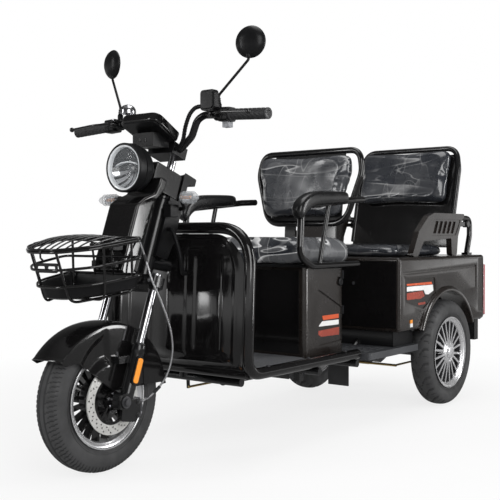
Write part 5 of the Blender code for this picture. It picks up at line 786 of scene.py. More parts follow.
def rear_wheel(side):
    word = word_for(side)
    body = word + "_wheel"
    tyre(word + "_rear_tyre", side * WHEEL_X, REAR_AXLE_Y, body, rear_groove, 264)
    place = out_place(side, WHEEL_X, REAR_AXLE_Y, AXLE_Z)
    shape = bmesh.new()
    rim_ring(shape, place, barrel=1)
    lathe(shape,
          [(0.0, 0.0442), (0.018, 0.0438), (0.0245, 0.0415), (0.0260, 0.036), (0.0320, 0.0345),
           (0.0420, 0.030), (0.0460, 0.024), (0.0460, 0.0)], place, 56)
    lathe(shape, [(0.0690, 0.002), (0.0690, -0.031), (0.0630, -0.031), (0.0630, -0.006), (0.0125, -0.006),
                  (0.0125, 0.002)], place, 56, closed=True, paint=1)
    for index in range(10):
        for lean in (-1, 1):
            angle = angle_at(index, 10) + lean * math.radians(6.5)
            radial_bar(shape, place, angle, (0.036, 0.0042), (0.1248, 0.0034), (0.018, 0.0300),
                       (0.018, 0.0262), lean * 0.006)
            radial_bar(shape, place, angle, (0.036, 0.0060), (0.1245, 0.0052), (0.004, 0.0285),
                       (0.006, 0.0247), lean * 0.006, paint=1)
        at = place @ turned(angle_at(index + 0.5, 10))
        radial_bar(shape, at, 0.0, (0.044, 0.0030), (0.074, 0.0010), (0.010, 0.0230), (0.010, 0.0200))
    for index in range(5):
        at = place @ turned(angle_at(index, 5)) @ Matrix.Translation((0.0365, 0, 0.0318))
        bolt(shape, at, 0.0036, 0.0045)
    piece(word + "_rear_rim", shape, ["alloy", "castings"], body, [word + "_rear_rim"], sharp=30)


# Fork, fender and brake


def make_fork():
    shape = bmesh.new()
    for side in (1, -1):
        place = STEER @ Matrix.Translation((side * FORK_X, -FORK_AHEAD, 0))
        drum(shape, 0.0125, 0.055, CROWN_LOW + 0.012, place, 40, edge=0.001)
        drum(shape, 0.0150, CROWN_TOP - 0.003, CROWN_TOP + 0.008, place, 28, edge=0.002)
        drum(shape, 0.0160, CROWN_LOW - 0.010, CROWN_LOW + 0.002, place, 28, edge=0.003, paint=1)
    drum(shape, 0.0125, CROWN_LOW, STEERER_TOP, STEER, 32)
    piece("fork_tubes", shape, ["chrome", "frame_black"], "steering", ["fork_upper"], sharp=40)
    shape = bmesh.new()
    half = LEG_FACE_X
    outline = rounded_flat([(-half, -0.059), (half, -0.059), (half, -0.014), (0.040, 0.024), (-0.040, 0.024),
                            (-half, -0.014)], 0.016)
    prism(shape, outline, CROWN_LOW, CROWN_TOP, STEER)
    for side in (1, -1):
        place = STEER @ Matrix.Translation((side * FORK_X, -0.059, CROWN_LOW + 0.016)) @ UPRIGHT
        bolt(shape, place, 0.0045, 0.004, paint=1)
    piece("fork_crown", shape, ["frame_black", "chrome"], "steering", bevel=0.004, segments=3)


def fork_leg(side):
    """A lower leg with its axle lug and fender stay, and the caliper's arm on the left."""
    word = word_for(side)
    place = STEER @ Matrix.Translation((side * FORK_X, -FORK_AHEAD, 0))
    shape = bmesh.new()
    lathe(shape,
          [(0.0130, 0.1475), (0.0165, 0.1480), (0.0195, 0.1455), (0.0205, 0.141), (0.0205, 0.128),
           (0.0188, 0.124), (0.0185, 0.100), (0.0185, 0.010), (0.0178, -0.020), (0.0120, -0.028),
           (0.0, -0.028)], place, 40)
    lathe(shape, [(0.0130, 0.1470), (0.0160, 0.1475), (0.0158, 0.1520), (0.0130, 0.1530)], place, 32,
          closed=True, paint=1)
    low, high = sorted((side * (FORK_X - 0.016), side * LEG_FACE_X))
    lug = rounded_flat([(-0.018, AXLE_Z - 0.020), (0.014, AXLE_Z - 0.022), (0.030, AXLE_Z - 0.004),
                        (0.026, AXLE_Z + 0.022), (-0.010, AXLE_Z + 0.024), (-0.019, AXLE_Z + 0.006)], 0.009)
    prism(shape, lug, low, high, SIDE_VIEW)
    stay_at = steer_point(0, FORK_AHEAD, 0.108)
    side_block(shape, side, 0.0606, FORK_X - 0.004, (stay_at.y - 0.062, stay_at.z - 0.010),
               (stay_at.y + 0.006, stay_at.z + 0.010))
    if side > 0:
        arm = rounded_flat([(0.004, 0.150), (0.060, 0.140), (0.080, 0.158), (0.080, 0.204), (0.012, 0.208)],
                           0.008)
        prism(shape, arm, FORK_X - 0.013, FORK_X - 0.003, SIDE_VIEW)
        for z in (0.196, 0.158):
            bolt(shape, across_at(FORK_X - 0.003, 0.070, z), 0.0052, 0.005, paint=1)
    piece("fork_leg_" + word, shape, ["frame_black", "grip_rubber"], "fork_lower", ["fork_leg_" + word],
          bevel=0.0012)
    make_side_reflector(side, word)


def make_side_reflector(side, word):
    """An amber strip in a black holder, along the leg's outer face."""
    middle = steer_point(side * LEG_FACE_X, FORK_AHEAD + 0.002, 0.074)
    tilt = Matrix.Rotation(-RAKE, 4, "X")
    place = Matrix.Translation(middle) @ tilt @ Matrix.Diagonal((side, 1, 1, 1)) @ SIDE_VIEW
    shape = bmesh.new()
    holder = rounded_box((-0.0130, -0.042), (0.0130, 0.042), 0.012, 6)
    strip = rounded_box((-0.0095, -0.036), (0.0095, 0.036), 0.0090, 6)
    prism(shape, holder, -0.006, 0.0020, place)
    prism(shape, strip, 0.0010, 0.0045, place, paint=1)
    piece("fork_reflector_" + word, shape, ["matt_black", "lens_amber"], "fork_lower", bevel=0.0010)


def make_axle():
    shape = bmesh.new()
    place = across_at(0, 0, AXLE_Z)
    drum(shape, 0.007, -0.112, 0.112, place, 24)
    for side in (1, -1):
        out = out_place(side, 0.1068, 0, AXLE_Z)
        bolt(shape, out, 0.011, 0.0110)
        drum(shape, 0.0062, 0.0, 0.0118, out, 20, edge=0.001)
        sleeve = sorted((side * 0.048, side * 0.070))
        drum(shape, 0.0140, sleeve[0] if side < 0 else 0.0568, sleeve[1], place, 28, edge=0.002, paint=1)
    piece("front_axle", shape, ["castings", "gloss_black"], "fork_lower", ["front_axle"], sharp=35)


def make_caliper():
    shape = bmesh.new()
    outline = rounded_flat([(0.050, 0.150), (0.092, 0.149), (0.100, 0.160), (0.100, 0.196), (0.088, 0.206),
                            (0.060, 0.206), (0.050, 0.190)], 0.008)
    prism(shape, outline, 0.0558, 0.0715, SIDE_VIEW)
    prism(shape, outline, 0.0385, 0.0502, SIDE_VIEW)
    prism(shape, rounded_flat([(0.084, 0.154), (0.099, 0.158), (0.099, 0.198), (0.086, 0.203)], 0.004),
          0.040, 0.071, SIDE_VIEW)
    for z in (0.168, 0.190):
        drum(shape, 0.0090, 0.0, 0.0018, across_at(0.0712, 0.074, z), 28, edge=0.0008)
    place = axis_place((0.056, 0.0995, 0.186), (0, 1, 0))
    bolt(shape, place, 0.0060, 0.007, paint=1)
    for z in (0.160, 0.197):
        bolt(shape, across_at(0.0715, 0.093, z), 0.0030, 0.0028, paint=1)
    piece("brake_caliper", shape, ["castings", "chrome"], "fork_lower", ["brake_caliper"], bevel=0.0010)


def fender_radius(angle):
    nose = max(0.0, 1.0 - angle / math.radians(85))
    return 0.221 + 0.030 * nose**1.5


def fender_edge(angle):
    """The radius at which the side skirt ends: a straight front edge down to the fork, then a level one."""
    degrees = math.degrees(angle)
    if degrees < 43.2:
        return 0.205 - 0.032 * (degrees - 33) / 10.2
    if degrees < 92:
        return 0.0227 / (math.sin(angle) - 0.7592 * math.cos(angle))
    return min(0.196, 0.028 / max(0.05, math.sin(angle)))


def ramp_up(value, span):
    """0 below nothing, 1 past the span, with soft ends."""
    share = min(1.0, max(0.0, value / span))
    return share * share * (3 - 2 * share)


def make_fender():
    """A crown that follows the tyre; the deep skirt on each side is pressed in ahead of the fork."""
    start = math.radians(33)
    finish_at = math.radians(174)
    shoulder = 0.5

    def point(u, v):
        angle = start + (finish_at - start) * (v + 1) / 2
        degrees = math.degrees(angle)
        bend = min(1.0, abs(u) / shoulder)
        outward = 0.060 * math.sin(bend * math.pi / 2)
        crown = fender_radius(angle) - 0.012 * (1 - math.cos(bend * math.pi / 2))
        low = max(0.0, (abs(u) - shoulder) / (1 - shoulder))
        edge = fender_edge(angle)
        reach = crown + (min(edge, crown - 0.010) - crown) * low
        upper = 0.171 + 0.024 * (degrees - 44) / 34
        inside = min(ramp_up(83.5 - degrees, 5.0), ramp_up(upper - reach, 0.020),
                     ramp_up(reach - 0.104, 0.022))
        outward -= 0.0095 * max(0.0, inside) * (1.0 if degrees > 40 else 0.0)
        lip = 0.0025 * math.exp(-((1 - abs(v)) / 0.02) ** 2)
        return Vector((math.copysign(outward, u), -math.cos(angle) * (reach + lip),
                       AXLE_Z + math.sin(angle) * (reach + lip)))

    shape = bmesh.new()
    patch(shape, point, 76, 112)
    piece("front_fender", shape, ["gloss_black"], "fork_lower", ["front_fender"], sharp=60, wall=-0.0026)
    shape = bmesh.new()
    for side in (1, -1):
        for angle in (96, 108):
            at = steer_point(side * 0.0605, FORK_AHEAD + 0.052 - 0.001 * (angle - 96),
                             0.106 - 0.0006 * (angle - 96))
            bolt(shape, Matrix.Translation(at) @ Matrix.Rotation(math.radians(90 * side), 4, "Y"), 0.0036,
                 0.003)
    piece("fender_screws", shape, ["castings"], "fork_lower")


def make_hose():
    points = [
        (0.068, 0.094, 0.650), (0.092, 0.090, 0.606), (0.112, 0.098, 0.540), (0.122, 0.124, 0.480),
        (0.124, 0.160, 0.400), (0.122, 0.172, 0.330), (0.108, 0.162, 0.262), (0.082, 0.136, 0.212),
        (0.056, 0.108, 0.186),
    ]
    path = [Vector((0.0603, 0.094, 0.650)), *route(points, 8), Vector((0.056, 0.1003, 0.186))]
    shape = bmesh.new()
    sweep(shape, path, 0.0030, 12)
    for at, ahead, radius, length, paint in ((8, 9, 0.0046, 0.022, 1), (-10, -12, 0.0048, 0.026, 1),
                                             (-5, -7, 0.0040, 0.014, 2)):
        direction = (path[ahead] - path[at]).normalized()
        drum(shape, radius, 0.0, length, axis_place(path[at], direction), 16, paint, 0.0012)
    hose = piece("front_brake_hose", shape, ["hose_silver", "grip_rubber", "chrome"], None,
                 ["front_brake_hose"])
    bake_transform(hose)


# Column, lamp and bars


def make_panel():
    """The gloss panel: a broad face between two rolled edges, hung from a bridge over the head tube."""
    outline = [
        (-0.150, 0.330), (-0.150, BRIDGE_LOW - 0.080), (-0.130, BRIDGE_LOW - 0.055),
        (-0.096, BRIDGE_LOW - 0.027), (-0.087, BRIDGE_LOW + 0.008), (-0.087, BRIDGE_LOW + 0.030),
        (-0.057, BRIDGE_LOW + 0.030), (-0.057, BRIDGE_LOW), (-0.070, BRIDGE_LOW - 0.025),
        (-0.090, BRIDGE_LOW - 0.065), (-0.095, BRIDGE_LOW - 0.115), (-0.095, CROWN_TOP),
        (-0.0593, CROWN_TOP), (-0.0593, CROWN_LOW + 0.004), (-0.120, CROWN_LOW - 0.010),
    ]
    shape = bmesh.new()
    prism(shape, outline, -0.060, 0.060, STEER @ SIDE_VIEW)
    piece("front_panel", shape, ["gloss_black"], "steering", ["front_panel"], bevel=0.0075, segments=4)
    shape = bmesh.new()
    block(shape, (-0.030, -0.087, BRIDGE_LOW), (0.030, 0.033, BRIDGE_TOP), STEER)
    hinge = Vector((0, LAMP_HINGE_Y, LAMP_Z))
    for side in (1, -1):
        side_block(shape, side, 0.0103, 0.0163, (hinge.y - 0.004, hinge.z - 0.009),
                   (hinge.y + 0.022, hinge.z + 0.009))
    piece("panel_bridge", shape, ["gloss_black"], "steering", bevel=0.005, segments=3)


def make_headlight():
    place = Matrix.Translation((0, 0.098, LAMP_Z)) @ UPRIGHT
    shape = bmesh.new()
    outer = [(0.0665, 0.0035), (0.0700, 0.0038), (0.0720, 0.0015), (0.0720, -0.020), (0.0712, -0.026),
             (0.0700, -0.036), (0.0660, -0.052), (0.0580, -0.064), (0.0480, -0.0735), (0.0350, -0.0795),
             (0.0200, -0.0820), (0.0, -0.0820)]
    lathe(shape, [*outer, (0.0, -0.078), (0.040, -0.072), (0.060, -0.050), (0.0655, -0.006)], place, 96)
    for z in (-0.0225, -0.0245):
        lathe(shape, [(0.0716, z), (0.0726, z - 0.0006), (0.0716, z - 0.0012)], place, 96)
    drum(shape, 0.009, -0.010, 0.010, across_at(0, LAMP_HINGE_Y, LAMP_Z), 24, edge=0.001)
    block(shape, (-0.0098, 0.176, 0.857), (0.0098, 0.187, 0.871))
    piece("headlight_housing", shape, ["matt_black"], "headlight", ["headlight_housing"], sharp=35)
    shape = bmesh.new()
    lathe(shape, [(0.0658, 0.0012), (0.0648, 0.0024), (0.0610, 0.0012), (0.0590, -0.0040), (0.0585, -0.012),
                  (0.0630, -0.012)], place, 96, closed=True)
    piece("headlight_ring", shape, ["light_ring"], "headlight", sharp=35)
    shape = bmesh.new()
    rings = []
    for radius, height in ((0.0590, -0.010), (0.052, -0.022), (0.043, -0.032), (0.031, -0.040),
                           (0.019, -0.045)):
        rings.append([place @ Vector((radius * a, radius * b, height)) for a, b in circle(112)])
    skin(shape, rings, caps=False)
    # Painted shade and reflection: the bowl's upper half is gloss black as its shaded top, and gloss black
    # bands cross the bright reflector of the lower half as dark reflections.
    for index, face in enumerate(shape.faces):
        step = index % 112
        face.material_index = 1 if step < 56 or step % 8 in (0, 1, 2) else 0
    piece("headlight_bowl", shape, ["reflector", "gloss_black"], "headlight", sharp=25)
    shape = bmesh.new()
    brow = [(-0.050, 0.004), (-0.038, 0.0125), (-0.020, 0.0175), (0.0, 0.019), (0.020, 0.0175),
            (0.038, 0.0125), (0.050, 0.004), (0.038, 0.0090), (0.020, 0.0140), (0.0, 0.0155),
            (-0.020, 0.0140), (-0.038, 0.0090)]
    prism(shape, brow, -0.024, -0.0095, place, paint=1)
    lathe(shape, [(0.0, -0.046), (0.020, -0.046), (0.020, -0.038), (0.0135, -0.034), (0.0, -0.034)], place,
          40)
    piece("headlight_brow", shape, ["gloss_black", "light_ring"], "headlight", bevel=0.0008)
    shape = bmesh.new()
    lathe(shape,
          [(0.0, -0.0225), (0.005, -0.0230), (0.0095, -0.0260), (0.0120, -0.0310), (0.0125, -0.0345)],
          place, 40)
    lathe(shape, [(0.0, 0.0045), (0.020, 0.0040), (0.040, 0.0022), (0.0560, -0.0004), (0.0640, -0.0030),
                  (0.0640, -0.0050), (0.055, -0.0024), (0.030, 0.0012), (0.0, 0.0022)], place, 72)
    piece("headlight_lens", shape, ["lens_clear"], "headlight", ["headlight_lens"], sharp=60)


def make_cover():
    """The matt cover behind the head tube, with a bag hook at its top."""
    outline = rounded([(-0.006, 0.424, 0), (-0.006, 0.706, 0), (0.087, 0.706, 0), (0.087, 0.682, 0),
                       (0.063, 0.680, 0), (0.055, 0.670, 0), (0.055, 0.484, 0), (0.043, 0.424, 0)],
                      [0, 0.004, 0.006, 0.004, 0.004, 0.006, 0.03, 0.02], 4, closed=True)
    shape = bmesh.new()
    prism(shape, flat(outline), -0.036, 0.036, STEER @ SIDE_VIEW)
    cover = piece("column_cover", shape, ["matt_black"], "frame", ["column_cover"])
    cutter = bmesh.new()
    drum(cutter, 0.0245, 0.36, HEAD_TOP + 0.02, STEER, 40)
    carve(cover, cutter)
    cutter = bmesh.new()
    drum(cutter, 0.0476, HEAD_TOP - 0.002, 0.78, STEER, 48)
    carve(cover, cutter, bevel=0.0022)


def make_signals():
    centre = STEER @ Vector((0, 0.040, HEAD_TOP - 0.022))
    shape = bmesh.new()
    path = []
    for side in (1, -1):
        middle = Vector((side * 0.118, 0.208, 0.778))
        direction = (Vector((side * 0.202, 0.190, 0.776)) - middle).normalized()
        place = axis_place(middle, direction)
        lathe(shape, [(0.0, 0.001), (0.0078, 0.0), (0.0110, 0.006), (0.0110, 0.012), (0.0, 0.014)], place, 28)
        knots = [middle + direction * 0.004, Vector((side * 0.062, centre.y, centre.z))]
        path += knots if side > 0 else list(reversed(knots))
        lens = bmesh.new()
        stations = ((0.010, 0.30, 0.45), (0.016, 0.62, 0.80), (0.030, 0.92, 1.0), (0.050, 1.0, 0.96),
                    (0.068, 0.90, 0.80), (0.079, 0.66, 0.55), (0.0855, 0.26, 0.22))
        rings = []
        for along, wide, tall in stations:
            rings.append([place @ Vector((0.0175 * wide * a, 0.0175 * tall * b, along)) for a,
                          b in circle(28)])
        skin(lens, rings)
        for along in (0.024, 0.034, 0.044, 0.054, 0.064):
            sweep(lens, [place @ Vector((0.0168 * a, 0.0168 * b, along)) for a, b in circle(28)], 0.0014, 6,
                  closed=True)
        word = word_for(side)
        piece("signal_lens_" + word, lens, ["lens_milky"], "frame", sharp=60)
        drum(shape, 0.0045, 0.020, 0.056, place, 20, paint=1)
        lathe(shape, [(0.0, 0.012), (0.0100, 0.0125), (0.0135, 0.022), (0.0125, 0.022), (0.0, 0.016)],
              place, 28, paint=2)
        for turn in (0.0, 0.5):
            across = turned(math.pi * turn)
            block(shape, (-0.0006, -0.0115, 0.026), (0.0006, 0.0115, 0.066), place @ across, paint=2)
    sweep(shape, rounded(path, [0, 0.03, 0.03, 0], 6), 0.0060, 16)
    piece("turn_signals", shape, ["matt_black", "lens_amber", "chrome"], "frame", ["turn_signals"])
    shape = bmesh.new()
    block(shape, (0.037, 0.226, 0.722), (0.066, 0.262, 0.760))
    block(shape, (0.037, 0.234, 0.760), (0.050, 0.252, 0.770))
    piece("flasher_relay", shape, ["matt_black"], "frame", bevel=0.0015)


LOOM_RADIUS = 0.0062
LOOM_RIDGE = 0.16
LOOM_TURNS = 26


def wrapped(along, angle):
    """The radius of a loom in a spiral wrap."""
    wave = math.sin(2 * math.pi * LOOM_TURNS * along + angle)
    return LOOM_RADIUS * (1 - LOOM_RIDGE / 2 + LOOM_RIDGE * (0.5 + 0.5 * wave))


def make_loom(name, body, start, points, end):
    shape = bmesh.new()
    sweep(shape, [Vector(start), *route(points, 26), Vector(end)], wrapped, 14)
    piece(name, shape, ["matt_black"], body, [name], sharp=60)


def make_looms():
    make_loom("frame_loom", "frame", (0.0363, 0.246, 0.686), [
        (0.050, 0.246, 0.686), (0.068, 0.241, 0.664), (0.082, 0.241, 0.632), (0.087, 0.246, 0.602),
        (0.082, 0.258, 0.572), (0.072, 0.274, 0.552),
    ], (0.072, 0.287, 0.552))
    make_loom("bar_loom", "steering", (0.0523, 0.2620, 0.9280),
              [(0.0660, 0.2620, 0.9280), (0.0900, 0.2540, 0.9500), (0.1100, 0.2430, 0.9880),
               (0.1260, 0.2430, 1.0220), (0.1390, 0.2500, 1.0400), (0.1520, 0.2537, 1.0450),],
              (accessory_place().x - 0.0273, 0.2537, 1.0450))


def bar_centre():
    return steer_point(0, 0.030, 0.752)


def bar_run(side):
    centre = bar_centre()
    end = Vector((side * 0.393, centre.y - 0.012, centre.z + 0.084))
    inner = Vector((side * 0.150, centre.y + 0.003, centre.z + 0.100))
    return end, (inner - end).normalized()


def bar_frame(side):
    end, inward = bar_run(side)
    return axis_place(end, inward)


def bar_place(side, inset):
    end, inward = bar_run(side)
    return end + inward * inset


def perch_place(side):
    return bar_place(side, 0.190)


def accessory_place():
    return perch_place(1) + Vector((-0.012, -0.030, 0.040))


def make_handlebar():
    centre = bar_centre()
    half = [centre + Vector(step)
            for step in ((0.050, -0.001, 0.0), (0.098, 0.002, 0.040), (0.118, 0.003, 0.088))]
    left_end, inward = bar_run(1)
    half += [left_end + inward * 0.248, left_end]
    corners = [*[Vector((-p.x, p.y, p.z)) for p in reversed(half)], *half]
    shape = bmesh.new()
    sweep(shape, rounded(corners, [0, 0.04, 0.04, 0.04, 0.05, 0.05, 0.04, 0.04, 0.04, 0], 8), 0.011, 24)
    piece("handlebar", shape, ["frame_black"], "steering", ["handlebar"])
    shape = bmesh.new()
    block(shape, (-0.052, -0.061, STEERER_TOP + 0.0003), (0.052, 0.001, STEERER_TOP + 0.0363), STEER)
    for side in (1, -1):
        for back in (-0.050, -0.010):
            place = STEER @ Matrix.Translation((side * 0.036, back, STEERER_TOP + 0.0360))
            bolt(shape, place, 0.0042, 0.004, paint=1)
    piece("bar_clamp", shape, ["matt_black", "chrome"], "steering", bevel=0.003)


def make_grips():
    for side, name, body in ((1, "left_grip", "steering"), (-1, "throttle_grip", "throttle")):
        place = bar_frame(side)
        rings = []
        count = 84
        for index in range(count + 1):
            height = 0.140 * index / count
            ring = []
            for step in range(60):
                angle = angle_at(step, 60)
                chevron = (height * 60 + 0.9 * abs(math.sin(angle * 2))) % 1.0
                size = 0.0156 + (0.0009 if 0.010 < height < 0.128 and chevron < 0.62 else 0.0)
                size = 0.0194 if height > 0.1335 else (0.0165 if height < 0.006 else size)
                ring.append(place @ Vector((size * math.cos(angle), size * math.sin(angle), height)))
            rings.append(ring)
        shape = bmesh.new()
        skin(shape, rings)
        piece(name, shape, ["grip_rubber"], body, [name], sharp=50)


def lever_pivot(at):
    """The brake lever's pin, from the place of its perch."""
    return Vector((at.x, at.y - 0.034, at.z))


def make_pods():
    for side in (1, -1):
        word = word_for(side)
        place = bar_frame(side) @ Matrix.Translation((0, 0, 0.1403))
        shape = bmesh.new()
        outline = rounded_box((-0.021, -0.021), (0.021, 0.021), 0.010)
        prism(shape, outline, 0.0, 0.0165, place)
        prism(shape, outline, 0.0185, 0.036, place)
        prism(shape, rounded_box((-0.019, -0.019), (0.019, 0.019), 0.009), 0.016, 0.019, place)
        drum(shape, 0.0175, 0.033, 0.060, place, 36, edge=0.002)
        at = perch_place(side)
        pivot = lever_pivot(at)
        for level in (1, -1):
            low = min(level * 0.0056, level * 0.011)
            outline = rounded_flat([(pivot.x - 0.011, pivot.y - 0.011), (pivot.x + 0.011, pivot.y - 0.011),
                                    (pivot.x + 0.012, at.y), (pivot.x - 0.012, at.y)], 0.007)
            prism(shape, outline, pivot.z + low, pivot.z + low + 0.0054, Matrix())
        bolt(shape, Matrix.Translation((pivot.x, pivot.y, pivot.z + 0.011)), 0.0048, 0.0035, paint=1)
        socket = Matrix.Translation((at.x, at.y, at.z))
        lathe(shape, [(0.0046, 0.010), (0.009, 0.010), (0.009, 0.0305), (0.0080, 0.0325), (0.0046, 0.0325)],
              socket, 28, closed=True)
        piece("switch_pod_" + word, shape, ["matt_black", "chrome"], "steering", ["switch_pod_" + word],
              bevel=0.0012)
        if side > 0:
            make_accessory(at)
    button = bar_place(1, 0.158)
    low = Vector((button.x - 0.012, button.y - 0.006, button.z - 0.037))
    shape = bmesh.new()
    block(shape, low, low + Vector((0.024, 0.020, 0.020)))
    for rib in range(4):
        block(shape, low + Vector((0.003, 0.003 + 0.004 * rib, -0.0008)),
              low + Vector((0.021, 0.005 + 0.004 * rib, 0.0)))
    piece("horn_button", shape, ["button_grey"], "horn", ["horn_button"], bevel=0.0012)


def make_accessory(at):
    centre = accessory_place()
    shape = bmesh.new()
    outline = rounded_box((-0.027, -0.030), (0.027, 0.030), 0.012, 6)
    place = axis_place(centre, (0, -1, 0))
    prism(shape, outline, -0.013, 0.009, place)
    prism(shape, [(x * 0.86, y * 0.86) for x, y in outline], 0.008, 0.0125, place)
    block(shape, (centre.x + 0.006, centre.y, at.z + 0.006), (centre.x + 0.018, at.y - 0.004, at.z + 0.024))
    piece("accessory_box", shape, ["matt_black"], "steering", bevel=0.0030, segments=3)


def make_levers():
    for side in (1, -1):
        word = word_for(side)
        at = perch_place(side)
        pivot = lever_pivot(at)
        path = [pivot, pivot + Vector((side * 0.022, -0.012, -0.001)),
                pivot + Vector((side * 0.050, -0.030, -0.003)),
                pivot + Vector((side * 0.100, -0.031, -0.006)),
                pivot + Vector((side * 0.158, -0.030, -0.010))]
        points = route(path, 10)
        shape = bmesh.new()
        section = [(0.0050 * a, 0.0036 * b) for a, b in circle(20)]
        sweep(shape, points, 1.0, section=section, up=(0, 0, 1))
        drum(shape, 0.008, -0.0053, 0.0053, Matrix.Translation(pivot), 28, edge=0.001)
        place = axis_place(points[-1], (side, 0, 0))
        ball = [(0.0078 * math.cos(math.radians(d)), 0.0078 * math.sin(math.radians(d)))
                for d in range(-90, 91, 15)]
        lathe(shape, ball, place, 28)
        piece(word + "_brake_lever", shape, ["gloss_black"], word + "_lever", [word + "_brake_lever"],
              sharp=60)


def make_mirrors():
    for side in (1, -1):
        word = word_for(side)
        at = perch_place(side)
        base = Vector((at.x, at.y, at.z + 0.0165))
        centre = Vector((side * 0.286, 0.329, 1.230))
        path = [base + Vector((0, 0, -0.002)), base + Vector((0, 0, 0.040)),
                centre + Vector((side * -0.004, -0.004, -0.0515)),
                centre + Vector((side * -0.002, -0.006, -0.026))]
        shape = bmesh.new()
        sweep(shape, rounded(path, [0, 0.02, 0.012, 0], 8), 0.0040, 16)
        place = Matrix.Translation(centre) @ turned(side * math.radians(15)) @ UPRIGHT
        lathe(shape,
              [(0.0, 0.0200), (0.010, 0.0197), (0.022, 0.0182), (0.033, 0.0145), (0.041, 0.0090),
               (0.0458, 0.0030), (0.0475, -0.0005), (0.0470, -0.0030), (0.0440, -0.0030), (0.0435, -0.0015),
               (0.0, -0.0015)], place, 72)
        lathe(shape, [(0.0042, 0.0), (0.0085, 0.002), (0.0090, 0.010), (0.0070, 0.020), (0.0042, 0.022)],
              axis_place(path[2] + Vector((0, 0, 0.004)), path[3] - path[2]), 24, closed=True)
        for step in range(3):
            drum(shape, 0.0072 - 0.0006 * step, 0.002 + 0.006 * step, 0.007 + 0.006 * step,
                 Matrix.Translation(base + Vector((0, 0, 0.014))), 24, edge=0.001)
        piece(word + "_mirror", shape, ["matt_black"], word + "_mirror", [word + "_mirror"])
        shape = bmesh.new()
        lathe(shape,
              [(0.0, -0.0032), (0.020, -0.0030), (0.0432, -0.0024), (0.0432, -0.0012), (0.0, -0.0012)],
              place, 64)
        piece(word + "_mirror_glass", shape, ["mirror_glass"], word + "_mirror", sharp=60)


def make_dash():
    place = Matrix.Translation((0, 0.208, 0.987)) @ Matrix.Rotation(-math.radians(28), 4, "X")
    outline = flat(rounded([(-0.078, -0.061, 0), (0.078, -0.061, 0), (0.0718, 0.061, 0), (-0.0718, 0.061, 0)],
                           [0.030, 0.030, 0.020, 0.020], 8, closed=True))
    shape = bmesh.new()
    prism(shape, outline, -0.0125, 0.015, place)
    piece("dash", shape, ["gloss_black"], "steering", ["dash"], bevel=0.0055, segments=4)
    shape = bmesh.new()
    prism(shape, [(x * 0.87, y * 0.85) for x, y in outline], 0.0148, 0.0156, place)
    piece("dash_screen", shape, ["gloss_black"], "steering", bevel=0.0003)
    shape = bmesh.new()
    prism(shape, [(x * 0.93, y * 0.92) for x, y in outline], -0.0165, -0.010, place)
    block(shape, (-0.042, 0.176, 0.930), (0.042, 0.246, 0.972))
    for x in (-0.012, 0.012):
        drum(shape, 0.0050, 0.0, 0.0030, axis_place((x, 0.1765, 0.950), (0, -1, 0)), 18, paint=1, edge=0.0008)
    for x in (-0.060, 0.060):
        for y in (-0.044, 0.040):
            drum(shape, 0.0030, -0.0172, -0.0160, place @ Matrix.Translation((x * 0.90, y * 0.9, 0)), 14)
    top = STEER @ Vector((0, -0.036, STEERER_TOP + 0.0646))
    block(shape, (-0.013, 0.228, top.z - 0.007), (0.013, top.y + 0.006, top.z + 0.007))
    piece("dash_back", shape, ["matt_black", "gloss_black"], "steering", bevel=0.0025)
    shape = bmesh.new()
    post = STEER @ Matrix.Translation((0, -0.036, STEERER_TOP + 0.0366))
    lathe(shape, [(0.0, 0.0), (0.0165, 0.0), (0.0165, 0.006), (0.013, 0.009), (0.013, 0.034), (0.0, 0.034)],
          post, 36)
    piece("dash_post", shape, ["chrome"], "steering", sharp=35)


def make_bell():
    end, inward = bar_run(-1)
    at = end + inward * (0.230 / abs(inward.x))
    place = Matrix.Translation((at.x, at.y - 0.010, at.z + 0.011))
    shape = bmesh.new()
    lathe(shape,
          [(0.0, 0.0465), (0.008, 0.0460), (0.014, 0.0440), (0.020, 0.0400), (0.0245, 0.0330),
           (0.0260, 0.0250), (0.0260, 0.0180), (0.0245, 0.0180), (0.0235, 0.030), (0.0, 0.040)], place, 56)
    drum(shape, 0.0040, 0.040, 0.0485, place, 20, edge=0.0015)
    lathe(shape,
          [(0.0, 0.004), (0.009, 0.004), (0.009, 0.009), (0.006, 0.011), (0.006, 0.030), (0.0, 0.030)],
          place, 24, paint=1)
    lathe(shape, [(0.0113, -0.007), (0.0150, -0.007), (0.0150, 0.007), (0.0113, 0.007)],
          axis_place(at, inward), 36, closed=True, paint=1)
    piece("bell", shape, ["chrome", "castings"], "steering", ["bell"], sharp=35)


# Basket


def basket_point(x, y, drop):
    back = y + 0.200
    tilt = math.radians(9.0)
    return Vector((x, -0.200 + back * math.cos(tilt) + drop * math.sin(tilt),
                   0.622 + back * math.sin(tilt) - drop * math.cos(tilt)))


def basket_ring(scale, drop, inset=0.0, steps=8):
    back = 0.014 - 0.0032 - inset
    nose = 0.014 - 0.0032 - 0.214 * (0.5 + scale / 2) + inset
    corners = [(0.055 * scale - inset * 0.5, nose, 0), (0.1445 * scale - inset, nose + 0.0642, 0),
               (0.168 * scale - inset, back, 0)]
    outline = [*corners, *reversed([(-x, y, z) for x, y, z in corners])]
    radii = [0.07, 0.16, 0.020, 0.020, 0.16, 0.07]
    return [basket_point(point.x, point.y, drop) for point in rounded(outline, radii, steps, closed=True)]


